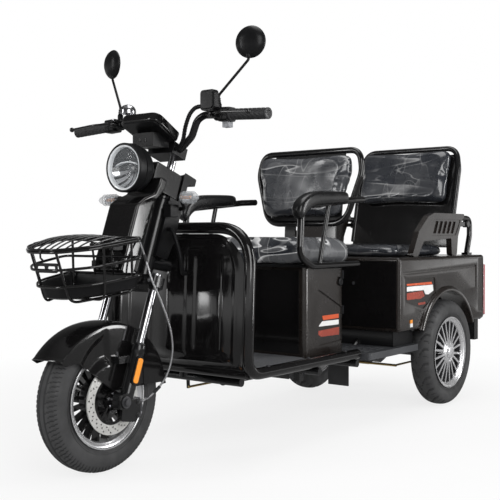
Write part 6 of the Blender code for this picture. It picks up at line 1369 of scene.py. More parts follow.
def make_basket():
    shape = bmesh.new()
    for scale, drop, radius in ((1.0, 0.0, 0.0040), (0.97, 0.048, 0.0038), (0.90, 0.096, 0.0036)):
        sweep(shape, basket_ring(scale, drop), radius, 12, closed=True)
    for side in (1, -1):
        corners = [basket_point(side * 0.050, -0.199, -0.002), basket_point(side * 0.050, -0.172, 0.142),
                   basket_point(side * 0.120, -0.0074, 0.142), basket_point(side * 0.120, 0.0108, -0.002)]
        sweep(shape, rounded(corners, [0, 0.03, 0.02, 0], 8), 0.0038, 12)
        corners = [basket_point(side * 0.148, -0.120, 0.0), basket_point(side * 0.124, -0.114, 0.142),
                   basket_point(0, -0.114, 0.142)]
        sweep(shape, rounded(corners, [0, 0.035, 0], 8), 0.0036, 12)
        upright = [basket_point(side * 0.040, 0.0108, -0.001), basket_point(side * 0.037, 0.0088, 0.102)]
        sweep(shape, upright, 0.0032, 12)
    piece("basket", shape, ["gloss_black"], "steering", ["basket"])
    shape = bmesh.new()
    levels = ((0.80, 0.134, 0.010), (0.83, 0.128, 0.003), (0.865, 0.104, 0.002), (0.875, 0.0985, 0.0),
              (0.875, 0.0985, 0.004), (0.850, 0.104, 0.006), (0.81, 0.128, 0.010), (0.78, 0.131, 0.016))
    skin(shape, [basket_ring(scale, drop, inset) for scale, drop, inset in levels])
    piece("basket_tray", shape, ["matt_black"], "steering", bevel=0.0012)
    make_basket_brackets()
    make_lid()


def make_basket_brackets():
    shape = bmesh.new()
    foot = steer_point(0, 0.150, 0)
    for side in (1, -1):
        for drop in (0.020, 0.070):
            start = basket_point(side * 0.040, 0.0108, drop)
            face = foot.y + (start.z - 0.010 - foot.z) * math.tan(RAKE)
            block(shape, (start.x - 0.009, start.y - 0.003, start.z - 0.010),
                  (start.x + 0.009, face - 0.0003, start.z + 0.010))
    piece("basket_arms", shape, ["matt_black"], "steering", bevel=0.0015)
    shape = bmesh.new()
    middle = basket_ring(0.97, 0.048, 0.004)
    nose = min(point.y for point in middle)
    z = basket_point(0, nose, 0.044).z
    plate = rounded_box((-0.044, z - 0.013), (0.044, z + 0.013), 0.006)
    prism(shape, plate, -0.0015, 0.0015, Matrix.Translation((0, nose + 0.0005, 0)) @ UPRIGHT)
    made = piece("basket_plate", shape, ["matt_black"], "steering")
    slots = bmesh.new()
    for x in (-0.021, 0.021):
        hole = rounded_box((x - 0.015, z - 0.0045), (x + 0.015, z + 0.0045), 0.004)
        prism(slots, hole, -0.01, 0.01, Matrix.Translation((0, nose + 0.0005, 0)) @ UPRIGHT)
    carve(made, slots)


def lid_dome(x, part):
    """How far the lid's wires rise over its rim, at x and at a share of the way back."""
    return -0.020 * (1 - (abs(x) / 0.168) ** 2) * math.sin(math.pi * part) ** 0.8


def make_lid():
    lift = -0.0067
    shape = bmesh.new()
    sweep(shape, basket_ring(0.985, lift), 0.0032, 12, closed=True)
    for index in range(13):
        x = 0.148 * (2 * index / 12 - 1)
        swell = max(0.0, (abs(x) - 0.055) / 0.113)
        front_y = -0.197 + 0.1327 * swell**1.5
        points = []
        for step in range(15):
            part = step / 14
            dome = lid_dome(x, part)
            points.append(basket_point(x * (1 - 0.04 * part), front_y + (0.0098 - front_y) * part,
                                       lift + dome))
        sweep(shape, points, 0.0021, 10)
    for y in (-0.118, -0.058):
        points = []
        reach = 0.134 if y < -0.1 else 0.152
        for step in range(17):
            x = reach * (step / 8 - 1)
            part = (y + 0.197) / 0.207
            dome = lid_dome(x, part)
            points.append(basket_point(x, y, lift + dome + 0.003))
        sweep(shape, points, 0.0021, 10)
    hook = [basket_point(0, -0.196, lift), basket_point(0, -0.209, lift + 0.001),
            basket_point(0, -0.2105, lift + 0.020), basket_point(0, -0.203, lift + 0.028)]
    sweep(shape, rounded(hook, [0, 0.006, 0.006, 0], 6), 0.0026, 12)
    piece("basket_lid", shape, ["gloss_black"], "basket_lid", ["basket_lid"])


# Hoop, shield and floor


HOOP_X = 0.282
HOOP_Z = 0.257
HOOP_RISE = 0.433


def shield_half_width(z):
    """The panel's half width at a height: straight sides and round top corners."""
    corner = 0.118
    above = max(0.0, z - (0.6722 - corner))
    return 0.2639 - corner + math.sqrt(max(0.0, corner**2 - above**2))


def make_hoop():
    tube = 0.0175
    corners = [(HOOP_X, 0.940, HOOP_Z), (HOOP_X, 0.318, HOOP_Z), (HOOP_X, 0.338, HOOP_Z + HOOP_RISE)]
    whole = corners + [(-x, y, z) for x, y, z in reversed(corners)]
    shape = bmesh.new()
    sweep(shape, rounded(whole, [0, 0.060, 0.125, 0.125, 0.060, 0], 12), tube, 24)
    sweep(shape, [(-0.275, 0.3307, HOOP_Z), (0.275, 0.3307, HOOP_Z)], 0.0140, 20)
    for side in (1, -1):
        for y in (0.420, 0.640, 0.860):
            place = Matrix.Translation((side * HOOP_X, y, HOOP_Z + tube - 0.001))
            bolt(shape, place, 0.0045, 0.004, paint=1)
    piece("guard_hoop", shape, ["gloss_black", "castings"], "frame", ["guard_hoop"])


def neck_run():
    """The down tube's start on the head tube and its bend above the floor."""
    neck = steer_point(0, -0.008, 0.408)
    return neck, Vector((0, 0.362, neck.z - 0.026))


def make_shield():
    """The moulded leg shield: swollen forward, with a raised rib round it and pressed side panels."""
    low = 0.272
    high = 0.6719

    def point(u, v):
        rise = (v + 1) / 2
        rise = 1 - (1 - rise) ** 1.35
        z = low + (high - low) * rise
        x = u * shield_half_width(z)
        share = (z - HOOP_Z) / HOOP_RISE
        plane = 0.318 + 0.020 * share
        e = min(1.0, abs(x) / 0.2645)
        bulge = 0.55 * (1 - e**4) + 0.45 * math.exp(-((x / 0.060) ** 2))
        ends = ramp_up(share, 0.17) * ramp_up(1 - share, 0.20)
        border = max(abs(u), abs(2 * rise - 1) * 0.985)
        rib = 0.0045 * math.exp(-((border - 0.90) / 0.020) ** 2)
        side = 0.0050 * ramp_up(abs(x) - 0.088, 0.010) * ramp_up(0.196 - abs(x), 0.014)
        side *= ramp_up(0.86 - rise, 0.05)
        side *= ramp_up(rise - 0.10, 0.05)
        step = 0.0035 * ramp_up(abs(x) - 0.060, 0.008)
        return Vector((x, plane - 0.050 * bulge * ends - rib + side + step * ends - 0.003, z))

    shape = bmesh.new()
    patch(shape, point, 128, 96)
    shield = piece("leg_shield", shape, ["gloss_black"], "frame", ["leg_shield"], sharp=55, wall=0.0035)
    neck, bend = neck_run()
    opening = bmesh.new()
    along = (bend - neck).normalized()
    drum(opening, 0.0225, 0.10, 0.36, axis_place(neck, along), 40)
    carve(shield, opening)


def pedal_hole(front):
    """A cutter for the foot brake pedal's opening, from a station back to its rear edge.

    It is in the wrong place: the solids' own opening is at 0.440 to 0.540, further back, so the pedal's
    arm goes through the board and the mat.
    """
    shape = bmesh.new()
    block(shape, (-0.129, front, 0.20), (-0.091, 0.437, 0.30))
    return shape


def make_floor():
    shape = bmesh.new()
    block(shape, (-0.2642, 0.345, FLOOR_TOP_Z - 0.020), (0.2642, 0.950, FLOOR_TOP_Z))
    board = piece("floor_board", shape, ["matt_black"], "frame", ["floor_board"])
    carve(board, pedal_hole(0.355), bevel=0.0025)
    base = 0.2618
    shape = bmesh.new()
    half = 0.234
    front = 0.411
    back = 0.699
    outline = rounded_box((-half, front), (half, back), 0.020, 6)
    prism(shape, outline, base, base + 0.0030, Matrix())
    pitch = 0.0116
    half_rib = pitch / 2 * 0.42
    x = -half + 0.016
    while x < half - 0.010:
        block(shape, (x - half_rib, front + 0.016, base + 0.0025),
              (x + half_rib, back - 0.016, base + 0.0058))
        x += pitch
    for y in (front + 0.006, back - 0.010):
        block(shape, (-half + 0.014, y, base + 0.0025), (half - 0.014, y + 0.004, base + 0.0055))
    made = piece("floor_mat", shape, ["mat_rubber"], "frame", ["floor_mat"], bevel=0.0010)
    made.modifiers.clear()
    carve(made, pedal_hole(0.30), bevel=0.0010)


def make_chassis():
    """The welded tubes, the ribbed step plate before the bench and what hangs under the floor."""
    shape = bmesh.new()
    lathe(shape,
          [(0.0128, HEAD_LOW), (0.0235, HEAD_LOW + 0.001), (0.0235, HEAD_TOP - 0.010),
           (0.0262, HEAD_TOP - 0.008), (0.0262, HEAD_TOP - 0.0005), (0.0128, HEAD_TOP)], STEER, 40,
          closed=True)
    path = [*neck_run(), Vector((0, 0.366, CHASSIS_Z))]
    sweep(shape, rounded(path, [0, 0.05, 0], 10), 0.020, 24)
    kick_z = CHASSIS_Z + 0.100
    rear_end = CARGO_BACK_Y - 0.020
    for y, z, half in ((0.366, CHASSIS_Z, 0.225), (0.695, CHASSIS_Z, 0.290), (0.930, CHASSIS_Z, 0.290),
                       (1.260, kick_z, 0.330), (rear_end - 0.010, kick_z, 0.330)):
        sweep(shape, [(-half, y, z), (half, y, z)], 0.0125, 20)
    drum(shape, 0.008, -0.150, -0.090, across_at(0, 0.386, CHASSIS_Z), 16)
    for side in (1, -1):
        rail = [(side * RAIL_X, 0.366, CHASSIS_Z), (side * RAIL_X, 1.120, CHASSIS_Z),
                (side * RAIL_X, 1.240, kick_z), (side * RAIL_X, rear_end, kick_z)]
        sweep(shape, rounded(rail, [0, 0.05, 0.05, 0], 8), 0.0158, 20)
        tower = Matrix.Translation((side * 0.186, REAR_AXLE_Y, 0))
        drum(shape, 0.017, 0.272, kick_z + 0.040, tower, 24, edge=0.002)
        side_block(shape, side, 0.152, 0.186, (REAR_AXLE_Y - 0.013, kick_z - 0.009),
                   (REAR_AXLE_Y + 0.013, kick_z + 0.009))
        side_block(shape, side, 0.275, 0.313, (rear_end - 0.028, kick_z - 0.100),
                   (rear_end + 0.009, kick_z + 0.006))
        side_block(shape, side, 0.188, 0.212, (0.690, 0.186), (0.714, 0.2352))
    piece("chassis", shape, ["frame_black"], "frame", ["chassis"])
    shape = bmesh.new()
    outline = rounded_box((-0.325, 0.956), (0.325, 1.323), 0.012, 4)
    prism(shape, outline, 0.2355, 0.2600, Matrix())
    for index in range(23):
        x = -0.286 + 0.026 * index
        for y in (0.975, 1.060):
            block(shape, (x - 0.004, y, 0.2590), (x + 0.004, y + 0.062, 0.2615))
    piece("step_plate", shape, ["step_grey"], "frame", bevel=0.0012)
    shape = bmesh.new()
    front = CARGO_FRONT_Y + 0.014
    block(shape, (-0.300, front, 0.2590), (0.300, front + 0.003, 0.345))
    for side in (1, -1):
        side_block(shape, side, 0.297, 0.300, (front, 0.2590), (1.318, 0.345))
    piece("cargo_riser", shape, ["matt_black"], "frame", bevel=0.0008)
    shape = bmesh.new()
    for side in (1, -1):
        side_block(shape, side, 0.088, 0.176, (1.058, 0.118), (1.063, 0.236))
    piece("mud_flaps", shape, ["grip_rubber"], "frame", bevel=0.0020)


# Seats


CUSHION_STEPS = 20
CUSHION_VOXEL = 0.006
CUSHION_PRESSURE = 4.0
FOLD_DEPTH = 0.0035
FOLD_SCALE = 6.0


def puffed(made, cap):
    """The sewn form of a pad: the cloth blows up a little from its closed form, never past the cap."""
    scene = bpy.context.scene
    remesh = made.modifiers.new("Even", "REMESH")
    remesh.mode = "VOXEL"
    remesh.voxel_size = CUSHION_VOXEL
    baked(made)
    start = [vertex.co.copy() for vertex in made.data.vertices]
    cloth = made.modifiers.new("Cloth", "CLOTH")
    settings = cloth.settings
    settings.quality = 4
    settings.mass = 0.3
    settings.tension_stiffness = 22
    settings.compression_stiffness = 22
    settings.shear_stiffness = 12
    settings.bending_stiffness = 1.2
    settings.use_pressure = True
    settings.uniform_pressure_force = CUSHION_PRESSURE
    settings.effector_weights.gravity = 0.0
    cloth.collision_settings.use_collision = False
    cloth.point_cache.frame_start = 1
    cloth.point_cache.frame_end = CUSHION_STEPS
    for step in range(1, CUSHION_STEPS + 1):
        scene.frame_set(step)
    bpy.context.view_layer.update()
    evaluated = made.evaluated_get(bpy.context.evaluated_depsgraph_get())
    moved = [vertex.co.copy() for vertex in evaluated.data.vertices]
    made.modifiers.clear()
    scene.frame_set(1)
    for vertex, before, after in zip(made.data.vertices, start, moved):
        shift = after - before
        if shift.length > cap:
            shift.length = cap
        vertex.co = before + shift
    made.data.update()


def kept_inside(made, low, high):
    """Every point held inside the box round the pad's own solid, not inside the solid's domed form."""
    for vertex in made.data.vertices:
        for axis in range(3):
            vertex.co[axis] = min(max(vertex.co[axis], low[axis]), high[axis])
    made.data.update()


def wrinkle(made, seed):
    """The film and the vinyl pulled into soft folds, deepest near the pad's sides."""
    low = Vector([min(vertex.co[axis] for vertex in made.data.vertices) for axis in range(3)])
    high = Vector([max(vertex.co[axis] for vertex in made.data.vertices) for axis in range(3)])
    centre = (low + high) / 2
    half = (high - low) / 2
    offset = Vector((seed, 0, 0))
    for vertex in made.data.vertices:
        place = vertex.co - centre
        edge = max(abs(place[axis]) / half[axis] for axis in range(3))
        pull = Vector((place.x * FOLD_SCALE * 0.55, place.y * FOLD_SCALE * 0.9,
                       place.z * FOLD_SCALE * 2.2)) + offset
        fold = noise.fractal(pull, 0.9, 2.2, 3) + 0.5 * noise.noise(pull * 3.1)
        vertex.co -= vertex.normal * FOLD_DEPTH * max(0.0, fold) * (0.35 + 0.65 * edge**3)
    made.data.update()


def cushion_form(half_x, half_y, height, taper=1.0):
    """A crowned cushion round the origin, flat below; its sides pull in between the corners."""
    profile = ((0.90, 0.0), (0.965, 0.06), (0.992, 0.20), (1.0, 0.40), (0.996, 0.58), (0.978, 0.72),
               (0.940, 0.83), (0.870, 0.905), (0.74, 0.955), (0.52, 0.985), (0.26, 0.997))
    rings = []
    for share, rise in profile:
        ring = []
        for step in range(112):
            angle = angle_at(step, 112)
            c = math.cos(angle)
            s = math.sin(angle)
            power = 7.0 * share**2 + 2.0
            size = share * (abs(c) ** power + abs(s) ** power) ** (-1 / power)
            size *= 1 - 0.014 * (1 - abs(math.sin(2 * angle)))
            y = half_y * s * size
            narrow = 1.0 if taper == 1.0 else taper + (1 - taper) * min(1.0, (half_y + y) / (1.4 * half_y))
            ring.append(Vector((half_x * c * size * narrow, y, height * rise)))
        rings.append(ring)
    shape = bmesh.new()
    skin(shape, rings)
    return shape


def make_pad(name, body, place, half_x, half_y, height, cap, seed, taper=1.0):
    """A sewn pad on its place: blown up as cloth, kept in its own solid, then creased."""
    shape = cushion_form(half_x * 0.985, half_y * 0.985, height * 0.94, taper)
    bmesh.ops.recalc_face_normals(shape, faces=shape.faces)
    made = linked(name, shape)
    puffed(made, cap)
    kept_inside(made, (-half_x, -half_y, 0.0002), (half_x, half_y, height - 0.0002))
    wrinkle(made, seed)
    made.data.transform(Matrix.Translation((0, FRONT_AXLE_Y, 0)) @ place)
    made.data.materials.clear()
    made.data.materials.append(FINISH["loose_film" if name == "driver_cushion" else "seat_vinyl"])
    made.data.shade_smooth()
    soften(made, 1)
    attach(made, body)
    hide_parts(name)


def back_place():
    return Matrix.Translation((0, 1.040, 0.712)) @ Matrix.Rotation(math.radians(-7.0), 4, "X")


def rear_place():
    return Matrix.Translation((0, 1.772, 0.618)) @ Matrix.Rotation(math.radians(-14.0), 4, "X")


def make_pads():
    make_pad("driver_cushion", "driver_seat", Matrix.Translation((0, 0.845, 0.5724)), 0.230, 0.185, 0.090,
             0.012, 1.7)
    turn = Matrix.Translation((0, -0.0045, 0.134)) @ UPRIGHT
    make_pad("driver_back_pad", "driver_seat", back_place() @ turn, 0.2105, 0.1205, 0.058, 0.010, 5.1,
             taper=0.80)
    make_pad("bench_cushion", "bench", Matrix.Translation((0, 1.510, 0.5863)), 0.245, 0.235, 0.046, 0.006,
             8.3)
    turn = Matrix.Translation((0, -0.0053, 0.440 - 0.0115 - 0.002 - 0.1225)) @ UPRIGHT
    make_pad("rear_back_pad", "rear_backrest", rear_place() @ turn, 0.2225, 0.1225, 0.058, 0.010, 3.9,
             taper=0.97)


def make_seat_box():
    shape = bmesh.new()
    outline = rounded_box((-SEAT_BOX_HALF, 0.705), (SEAT_BOX_HALF, 0.950), 0.020, 5)
    prism(shape, outline, 0.2618, BOX_TOP_Z, Matrix())
    box = piece("seat_box", shape, ["brown_black"], "frame", ["seat_box"])
    cutters = bmesh.new()
    corners = [(0.7645, 0.4703), (0.7916, 0.4852), (0.9399, 0.4173), (0.9402, 0.3020), (0.7980, 0.2953),
               (0.7648, 0.3212)]
    for side in (1, -1):
        prism(cutters, rounded_flat(corners, 0.010, 4), -0.0052, 0.05, on_side(side, SEAT_BOX_HALF))
    block(cutters, (-0.214, 0.713, 0.268), (0.214, 0.942, 0.60))
    carve(box, cutters, bevel=0.0030, segments=3)
    stripes("seat_box", 0.2170,
            (("decal_orange", [(0.8193, 0.3939), (0.9246, 0.3946), (0.9247, 0.3797), (0.8254, 0.3790)]),
             ("decal_white", [(0.7954, 0.3590), (0.8194, 0.3755), (0.9247, 0.3743), (0.9247, 0.3574)]),
             ("decal_red",
              [(0.7955, 0.3446), (0.9273, 0.3484), (0.9274, 0.3214), (0.8135, 0.3234), (0.7955, 0.3315)]),))
    place = across_at(0.2223, 0.924, 0.5058)
    shape = bmesh.new()
    lathe(shape,
          [(0.0, 0.0052), (0.0080, 0.0055), (0.0105, 0.0060), (0.0128, 0.0052), (0.0135, 0.0030),
           (0.0135, 0.0), (0.0, 0.0)], place, 48)
    drum(shape, 0.0028, -0.006, 0.006, Matrix.Translation((0.2253, 0.924, 0.5213)) @ UPRIGHT, 20, edge=0.0005)
    block(shape, (0.2283, 0.9232, 0.4985), (0.2290, 0.9248, 0.5131))
    piece("charge_cap", shape, ["matt_black"], "charge_cap", ["charge_cap"], sharp=35)


def stripes(name, x, shapes):
    """Plain stripe decals on both sides, each a hair proud of its panel."""
    made = bmesh.new()
    finishes = []
    for paint, (colour, corners) in enumerate(shapes):
        finishes.append(colour)
        for side in (1, -1):
            prism(made, rounded_flat(corners, 0.0025, 3), -0.0002, 0.0004, on_side(side, x), paint)
    piece(name + "_stripes", made, finishes, "frame")


def armrest_path(side):
    x = side * ARM_X
    join_at = back_place() @ Vector((side * 0.2405, -0.004, 0.084))
    corners = [join_at, (x, join_at.y - 0.075, 0.792), (x, 0.650, 0.762), (x, 0.640, 0.597),
               (x, 0.715, 0.567), (x, 1.000, 0.567)]
    return rounded(corners, [0, 0.06, 0.045, 0.05, 0.05, 0], 8)


def make_driver_frame():
    shape = bmesh.new()
    block(shape, (-0.239, 0.685, PAN_LOW_Z), (0.239, 1.020, PAN_LOW_Z + 0.0098))
    for side in (1, -1):
        sweep(shape, armrest_path(side), SEAT_TUBE, 20, paint=1)
        x = side * ARM_X
        sweep(shape, [(x, 0.755, 0.5671), (x, 0.815, 0.780)], 0.008, 16, paint=1)
    piece("seat_pan", shape, ["matt_black", "gloss_black"], "driver_seat", ["seat_pan"])
    frame_at = back_place()
    corners = [(0.172, 0, 0), (0.230, 0, 0.188), (0.214, 0, 0.268), (-0.214, 0, 0.268), (-0.230, 0, 0.188),
               (-0.172, 0, 0)]
    shape = bmesh.new()
    path = [frame_at @ point
            for point in rounded(corners, [0.075, 0.10, 0.055, 0.055, 0.10, 0.075], 10, closed=True)]
    sweep(shape, path, SEAT_TUBE, 20, closed=True)
    block(shape, (-0.155, -0.004, 0.006), (0.155, 0.004, 0.262), frame_at, paint=1)
    piece("driver_back_frame", shape, ["gloss_black", "matt_black"], "driver_seat", ["driver_back_frame"])
    shape = bmesh.new()
    top = frame_at @ Vector((0, 0, 0.004))
    foot = PAN_LOW_Z - 0.0063
    outline = rounded_flat([
        (0.954, foot), (1.066, foot), (1.076, top.z), (1.070, top.z + 0.006), (top.y - 0.004, top.z + 0.004),
        (top.y - 0.004, top.z - 0.003), (1.068, top.z - 0.002), (1.060, foot + 0.006), (0.954, foot + 0.006),
    ], 0.006, 3)
    for side in (1, -1):
        prism(shape, outline, side * 0.090 - 0.024, side * 0.090 + 0.024, SIDE_VIEW)
        for y in (0.972, 0.996):
            bolt(shape, Matrix.Translation((side * 0.090, y + 0.030, foot + 0.006)), 0.0045, 0.0035)
    piece("back_brackets", shape, ["gloss_black"], "driver_seat", bevel=0.0015)
    for side in (1, -1):
        make_arm_pad(side)


def make_arm_pad(side):
    """A moulded pad over the tube, with a bulbous front that droops round its bend."""
    word = word_for(side)
    x = side * ARM_X
    knots = ((-0.001, -0.066, 0.010, 0.56), (0.003, -0.050, 0.0195, 0.80), (0.012, -0.034, 0.0245, 0.92),
             (0.030, -0.018, 0.0262, 0.98), (0.070, -0.002, 0.0255, 1.0), (0.120, 0.003, 0.0240, 1.0),
             (0.180, 0.006, 0.0232, 1.0), (0.262, 0.010, 0.0215, 0.95), (0.280, 0.010, 0.0190, 0.86),
             (0.285, 0.010, 0.0125, 0.66))
    rings = []
    for index, (along, lift, half_height, width) in enumerate(knots):
        y = 0.628 + along
        z = 0.788 + lift
        lean = (1.3, 1.0, 0.75, 0.40, 0.10, 0.0, 0.0, 0.0, 0.0, 0.0)[index]
        ring = []
        for step in range(36):
            angle = angle_at(step, 36)
            c = math.cos(angle)
            s = math.sin(angle)
            square = (abs(c) ** 3 + abs(s) ** 3) ** (-1 / 3)
            across = 0.025 * width * c * square
            up = half_height * s * square
            ring.append(Vector((x + across, y - up * lean * 0.8, z + up * (1 - 0.30 * lean))))
        rings.append(ring)
    shape = bmesh.new()
    skin(shape, rings)
    piece(word + "_arm_pad", shape, ["pad_black"], "driver_seat", [word + "_arm_pad"],
          levels=2)


def make_rear_frame():
    frame_at = rear_place()
    half = 0.236
    corners = [(half, 0, 0.024), (half + 0.004, 0, 0.343), (half - 0.016, 0, 0.440), (0.016 - half, 0, 0.440),
               (-half - 0.004, 0, 0.343), (-half, 0, 0.024)]
    shape = bmesh.new()
    path = [frame_at @ point for point in rounded(corners, [0, 0.12, 0.06, 0.06, 0.12, 0], 10)]
    sweep(shape, path, SEAT_TUBE, 20)
    hinge = frame_at.inverted() @ Vector((0, REAR_HINGE_Y, REAR_HINGE_Z))
    for side in (1, -1):
        side_block(shape, side, half - 0.010, half + 0.0125, (-0.004, hinge.z - 0.018),
                   (hinge.y, hinge.z + 0.018), frame_at)
        pin = sorted((side * (half - 0.004), side * 0.2647))
        drum(shape, 0.010, pin[0], pin[1], across_at(0, REAR_HINGE_Y, REAR_HINGE_Z), 24)
    piece("rear_back_frame", shape, ["frame_black"], "rear_backrest", ["rear_back_frame"])
    shape = bmesh.new()
    block(shape, (-half + 0.001, -0.005, 0.0), (half - 0.001, 0.005, 0.410), frame_at)
    for x in (-0.150, 0.150):
        bolt(shape, frame_at @ Matrix.Translation((x, -0.005, 0.060)) @ UPRIGHT, 0.0050, 0.003)
    piece("rear_board", shape, ["gloss_black"], "rear_backrest", bevel=0.0018)


# Cargo body


def make_cargo():
    """The cargo body. Its top is one closed sheet: the solids' storage tub under the bench isn't made."""
    shape = bmesh.new()
    block(shape, (-CARGO_HALF, CARGO_FRONT_Y, 0.315), (CARGO_HALF, CARGO_BACK_Y, CARGO_TOP_Z))
    body = piece("cargo_body", shape, ["brown_black"], "frame", ["cargo_body"], bevel=0.012, segments=5)
    baked(body)
    cutters = bmesh.new()
    block(cutters, (-0.326, CARGO_FRONT_Y + 0.008, 0.20), (0.326, CARGO_BACK_Y - 0.008, CARGO_TOP_Z - 0.006))
    front = rounded_flat([(1.1902, 0.5058), (1.4348, 0.5076), (1.4437, 0.4399), (1.3375, 0.3906),
                          (1.1907, 0.4247)], 0.010, 4)
    crease = [(1.1723, 0.5256), (1.8121, 0.5366), (1.8149, 0.4533), (1.8225, 0.4533), (1.8225, 0.5455),
              (1.1723, 0.5345)]
    rear = rounded_box((1.842, 0.575), (1.893, 0.350), 0.012, 4)
    for side in (1, -1):
        place = on_side(side, CARGO_HALF)
        prism(cutters, front, -0.0030, 0.05, place)
        prism(cutters, crease, -0.0032, 0.05, place)
        prism(cutters, rear, -0.0016, 0.05, place)
        arch = out_place(side, CARGO_HALF, REAR_AXLE_Y, AXLE_Z)
        drum(cutters, 0.2405, -0.090, 0.050, arch, 128)
    carve(body, cutters, bevel=0.0018, segments=3)
    make_arches()
    stripes("cargo", 0.3322,
            (("decal_orange", [(1.2098, 0.4895), (1.4100, 0.4899), (1.4184, 0.4799), (1.2098, 0.4831)]),
             ("decal_white",
              [(1.2098, 0.4789), (1.4217, 0.4783), (1.4269, 0.4557), (1.3857, 0.4429), (1.3613, 0.4442),
               (1.3451, 0.4611), (1.2099, 0.4618)]),
             ("decal_red",
              [(1.2100, 0.4555), (1.3371, 0.4586), (1.3533, 0.4387), (1.3214, 0.4302), (1.2101, 0.4307)]),
             ("decal_red", [(1.2978, 0.4149), (1.3615, 0.4162), (1.3567, 0.4077), (1.3026, 0.4066)]),))
    make_front_shade_sheets()
    for side in (1, -1):
        make_tail_light(side)
        make_rear_armrest(side)


def make_front_shade_sheets():
    """Thin gloss black sheets on the front faces of the cargo body and the seat box: painted shade, making
    these faces darker than the brown-black sides.
    """
    shape = bmesh.new()
    # The sheets are painted shade on the front faces, darker than the body's own brown-black.
    front = CARGO_FRONT_Y - 0.0012
    for low, high in ((-0.322, 0.088), (0.092, 0.322)):
        block(shape, (low, front, 0.329), (high, front + 0.0024, 0.573))
    block(shape, (-0.200, 0.7038, 0.276), (0.200, 0.7062, 0.552))
    for low, high in ((0.505, 0.537), (0.372, 0.404)):
        block(shape, (0.086, front - 0.0030, low), (0.100, front + 0.001, high), paint=1)
    bolt(shape, Matrix.Translation((0.142, front, 0.490)) @ UPRIGHT, 0.0045, 0.003, paint=1)
    piece("front_shade_sheets", shape, ["gloss_black", "castings"], "frame", bevel=0.0010)


ARCH_RADIUS = 0.262
ARCH_LIP = ((0.2625, -0.0040), (0.2620, 0.0020), (0.2560, 0.0085), (0.2485, 0.0110), (0.2420, 0.0108),
            (0.2402, 0.0085), (0.2402, -0.0900), (0.2440, -0.0900), (0.2440, -0.0040))


def make_arches():
    """A rolled, flared lip round each wheel opening, with the liner behind it."""
    shape = bmesh.new()
    for side in (1, -1):
        base = Vector((side * CARGO_HALF, REAR_AXLE_Y, AXLE_Z))
        start = math.asin((0.315 - AXLE_Z) / ARCH_RADIUS)
        rings = []
        for step in range(73):
            angle = start + (math.pi - 2 * start) * step / 72
            direction = Vector((0, math.cos(angle), math.sin(angle)))
            rings.append([base + direction * radius + Vector((side * across, 0, 0))
                          for radius, across in ARCH_LIP])
        skin(shape, rings)
    piece("wheel_arches", shape, ["brown_black"], "frame", sharp=38)
    shape = bmesh.new()
    for side in (1, -1):
        for low, paint in ((0.3292, 0), (0.3430, 1)):
            side_block(shape, side, 0.3345, 0.3375, (1.2300, low), (1.2480, low + 0.0135), paint=paint)
    piece("arch_reflectors", shape, ["decal_white", "lens_amber"], "frame", bevel=0.0008)


def make_tail_light(side):
    word = word_for(side)
    low, high = sorted((side * 0.333, side * 0.273))
    shape = bmesh.new()
    block(shape, (low, CARGO_BACK_Y + 0.0003, 0.327), (high, CARGO_BACK_Y + 0.006, 0.547), paint=1)
    block(shape, (low + 0.002, CARGO_BACK_Y + 0.005, 0.330), (high - 0.002, CARGO_BACK_Y + 0.020, 0.544))
    for index in range(13):
        z = 0.339 + 0.0165 * index
        block(shape, (low + 0.006, CARGO_BACK_Y + 0.010, z - 0.0022),
              (high - 0.006, CARGO_BACK_Y + 0.022, z + 0.0022))
    piece(word + "_tail_light", shape, ["lens_red", "lens_milky"], "frame", [word + "_tail_light"],
          bevel=0.0016)


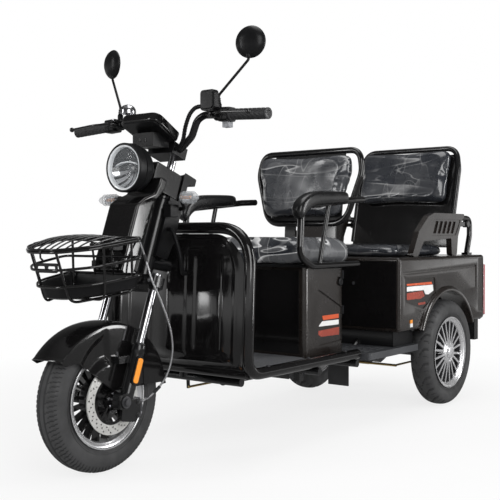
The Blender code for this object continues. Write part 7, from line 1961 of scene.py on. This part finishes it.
def make_rear_armrest(side):
    """A moulded arm with five slanted louvres, its front leg, and the bent tube behind it."""
    word = word_for(side)
    foot = CARGO_TOP_Z + 0.0003
    top = 0.758
    front = 1.335
    rear = 1.805
    outline = [
        (front, foot), (front + 0.048, foot), (front + 0.098, foot + 0.058), (rear - 0.125, foot + 0.070),
        (rear - 0.120, foot), (rear - 0.072, foot), (rear - 0.060, foot + 0.078), (rear - 0.020, top - 0.024),
        (rear, top - 0.014), (rear, top), (front + 0.190, top), (front + 0.140, top - 0.014),
        (front + 0.058, foot + 0.098),
    ]
    shape = bmesh.new()
    prism(shape, rounded_flat(outline, 0.012, 4), -0.012, 0.012, on_side(side, REAR_ARM_X))
    arm = piece(word + "_rear_armrest", shape, ["brown_black"], "frame", [word + "_rear_armrest"])
    cutters = bmesh.new()
    panel = rounded_flat([(1.5279, 0.7318), (1.7729, 0.7329), (1.7224, 0.6690), (1.4927, 0.6667)], 0.008, 4)
    prism(cutters, panel, 0.0095, 0.05, on_side(side, REAR_ARM_X))
    for index in range(5):
        low = 1.5150 + 0.0400 * index
        slot = rounded_flat([(low, 0.6760), (low + 0.026, 0.6760), (low + 0.052, 0.7250),
                             (low + 0.026, 0.7250)], 0.004, 3)
        prism(cutters, slot, 0.0035, 0.05, on_side(side, REAR_ARM_X))
    carve(arm, cutters, bevel=0.0026, segments=3)
    x = side * REAR_ARM_X
    shape = bmesh.new()
    path = rounded([(x, rear - 0.020, top - 0.016), (x, rear + 0.078, top - 0.018),
                    (x, rear + 0.078, top - 0.090), (x, rear + 0.050, foot + 0.007)], [0, 0.050, 0.04, 0],
                   10)
    sweep(shape, path, SEAT_TUBE, 20)
    at = across_at(x, REAR_HINGE_Y, REAR_HINGE_Z)
    drum(shape, 0.014, -0.012, 0.012, at, 28, edge=0.0015)
    block(shape, (x - 0.006, rear - 0.046, 0.708), (x + 0.006, rear + 0.074, 0.724))
    block(shape, (x - 0.014, rear + 0.030, foot), (x + 0.014, rear + 0.072, foot + 0.009))
    piece(word + "_rear_loop", shape, ["gloss_black"], "frame", sharp=45)


def refinish(names):
    """The solids that stay as they are get these finishes on their own slots."""
    for name in names:
        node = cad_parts[name]
        for entry in node.material_slots:
            key = entry.material.name.split(".")[0]
            entry.material = FINISH.get(key, FINISH["frame_black"])


def build():
    make_studio()
    make_finishes()
    front_wheel()
    for side in (1, -1):
        rear_wheel(side)
        fork_leg(side)
    make_fork()
    make_axle()
    make_caliper()
    make_fender()
    make_hose()
    make_panel()
    make_headlight()
    make_cover()
    make_signals()
    make_looms()
    make_handlebar()
    make_grips()
    make_pods()
    make_levers()
    make_mirrors()
    make_dash()
    make_bell()
    make_basket()
    make_hoop()
    make_shield()
    make_floor()
    make_chassis()
    make_seat_box()
    make_driver_frame()
    make_rear_frame()
    make_cargo()
    make_pads()
    refinish(["battery_pack", "rear_axle", "brake_pedal", "brake_rod"])


build()
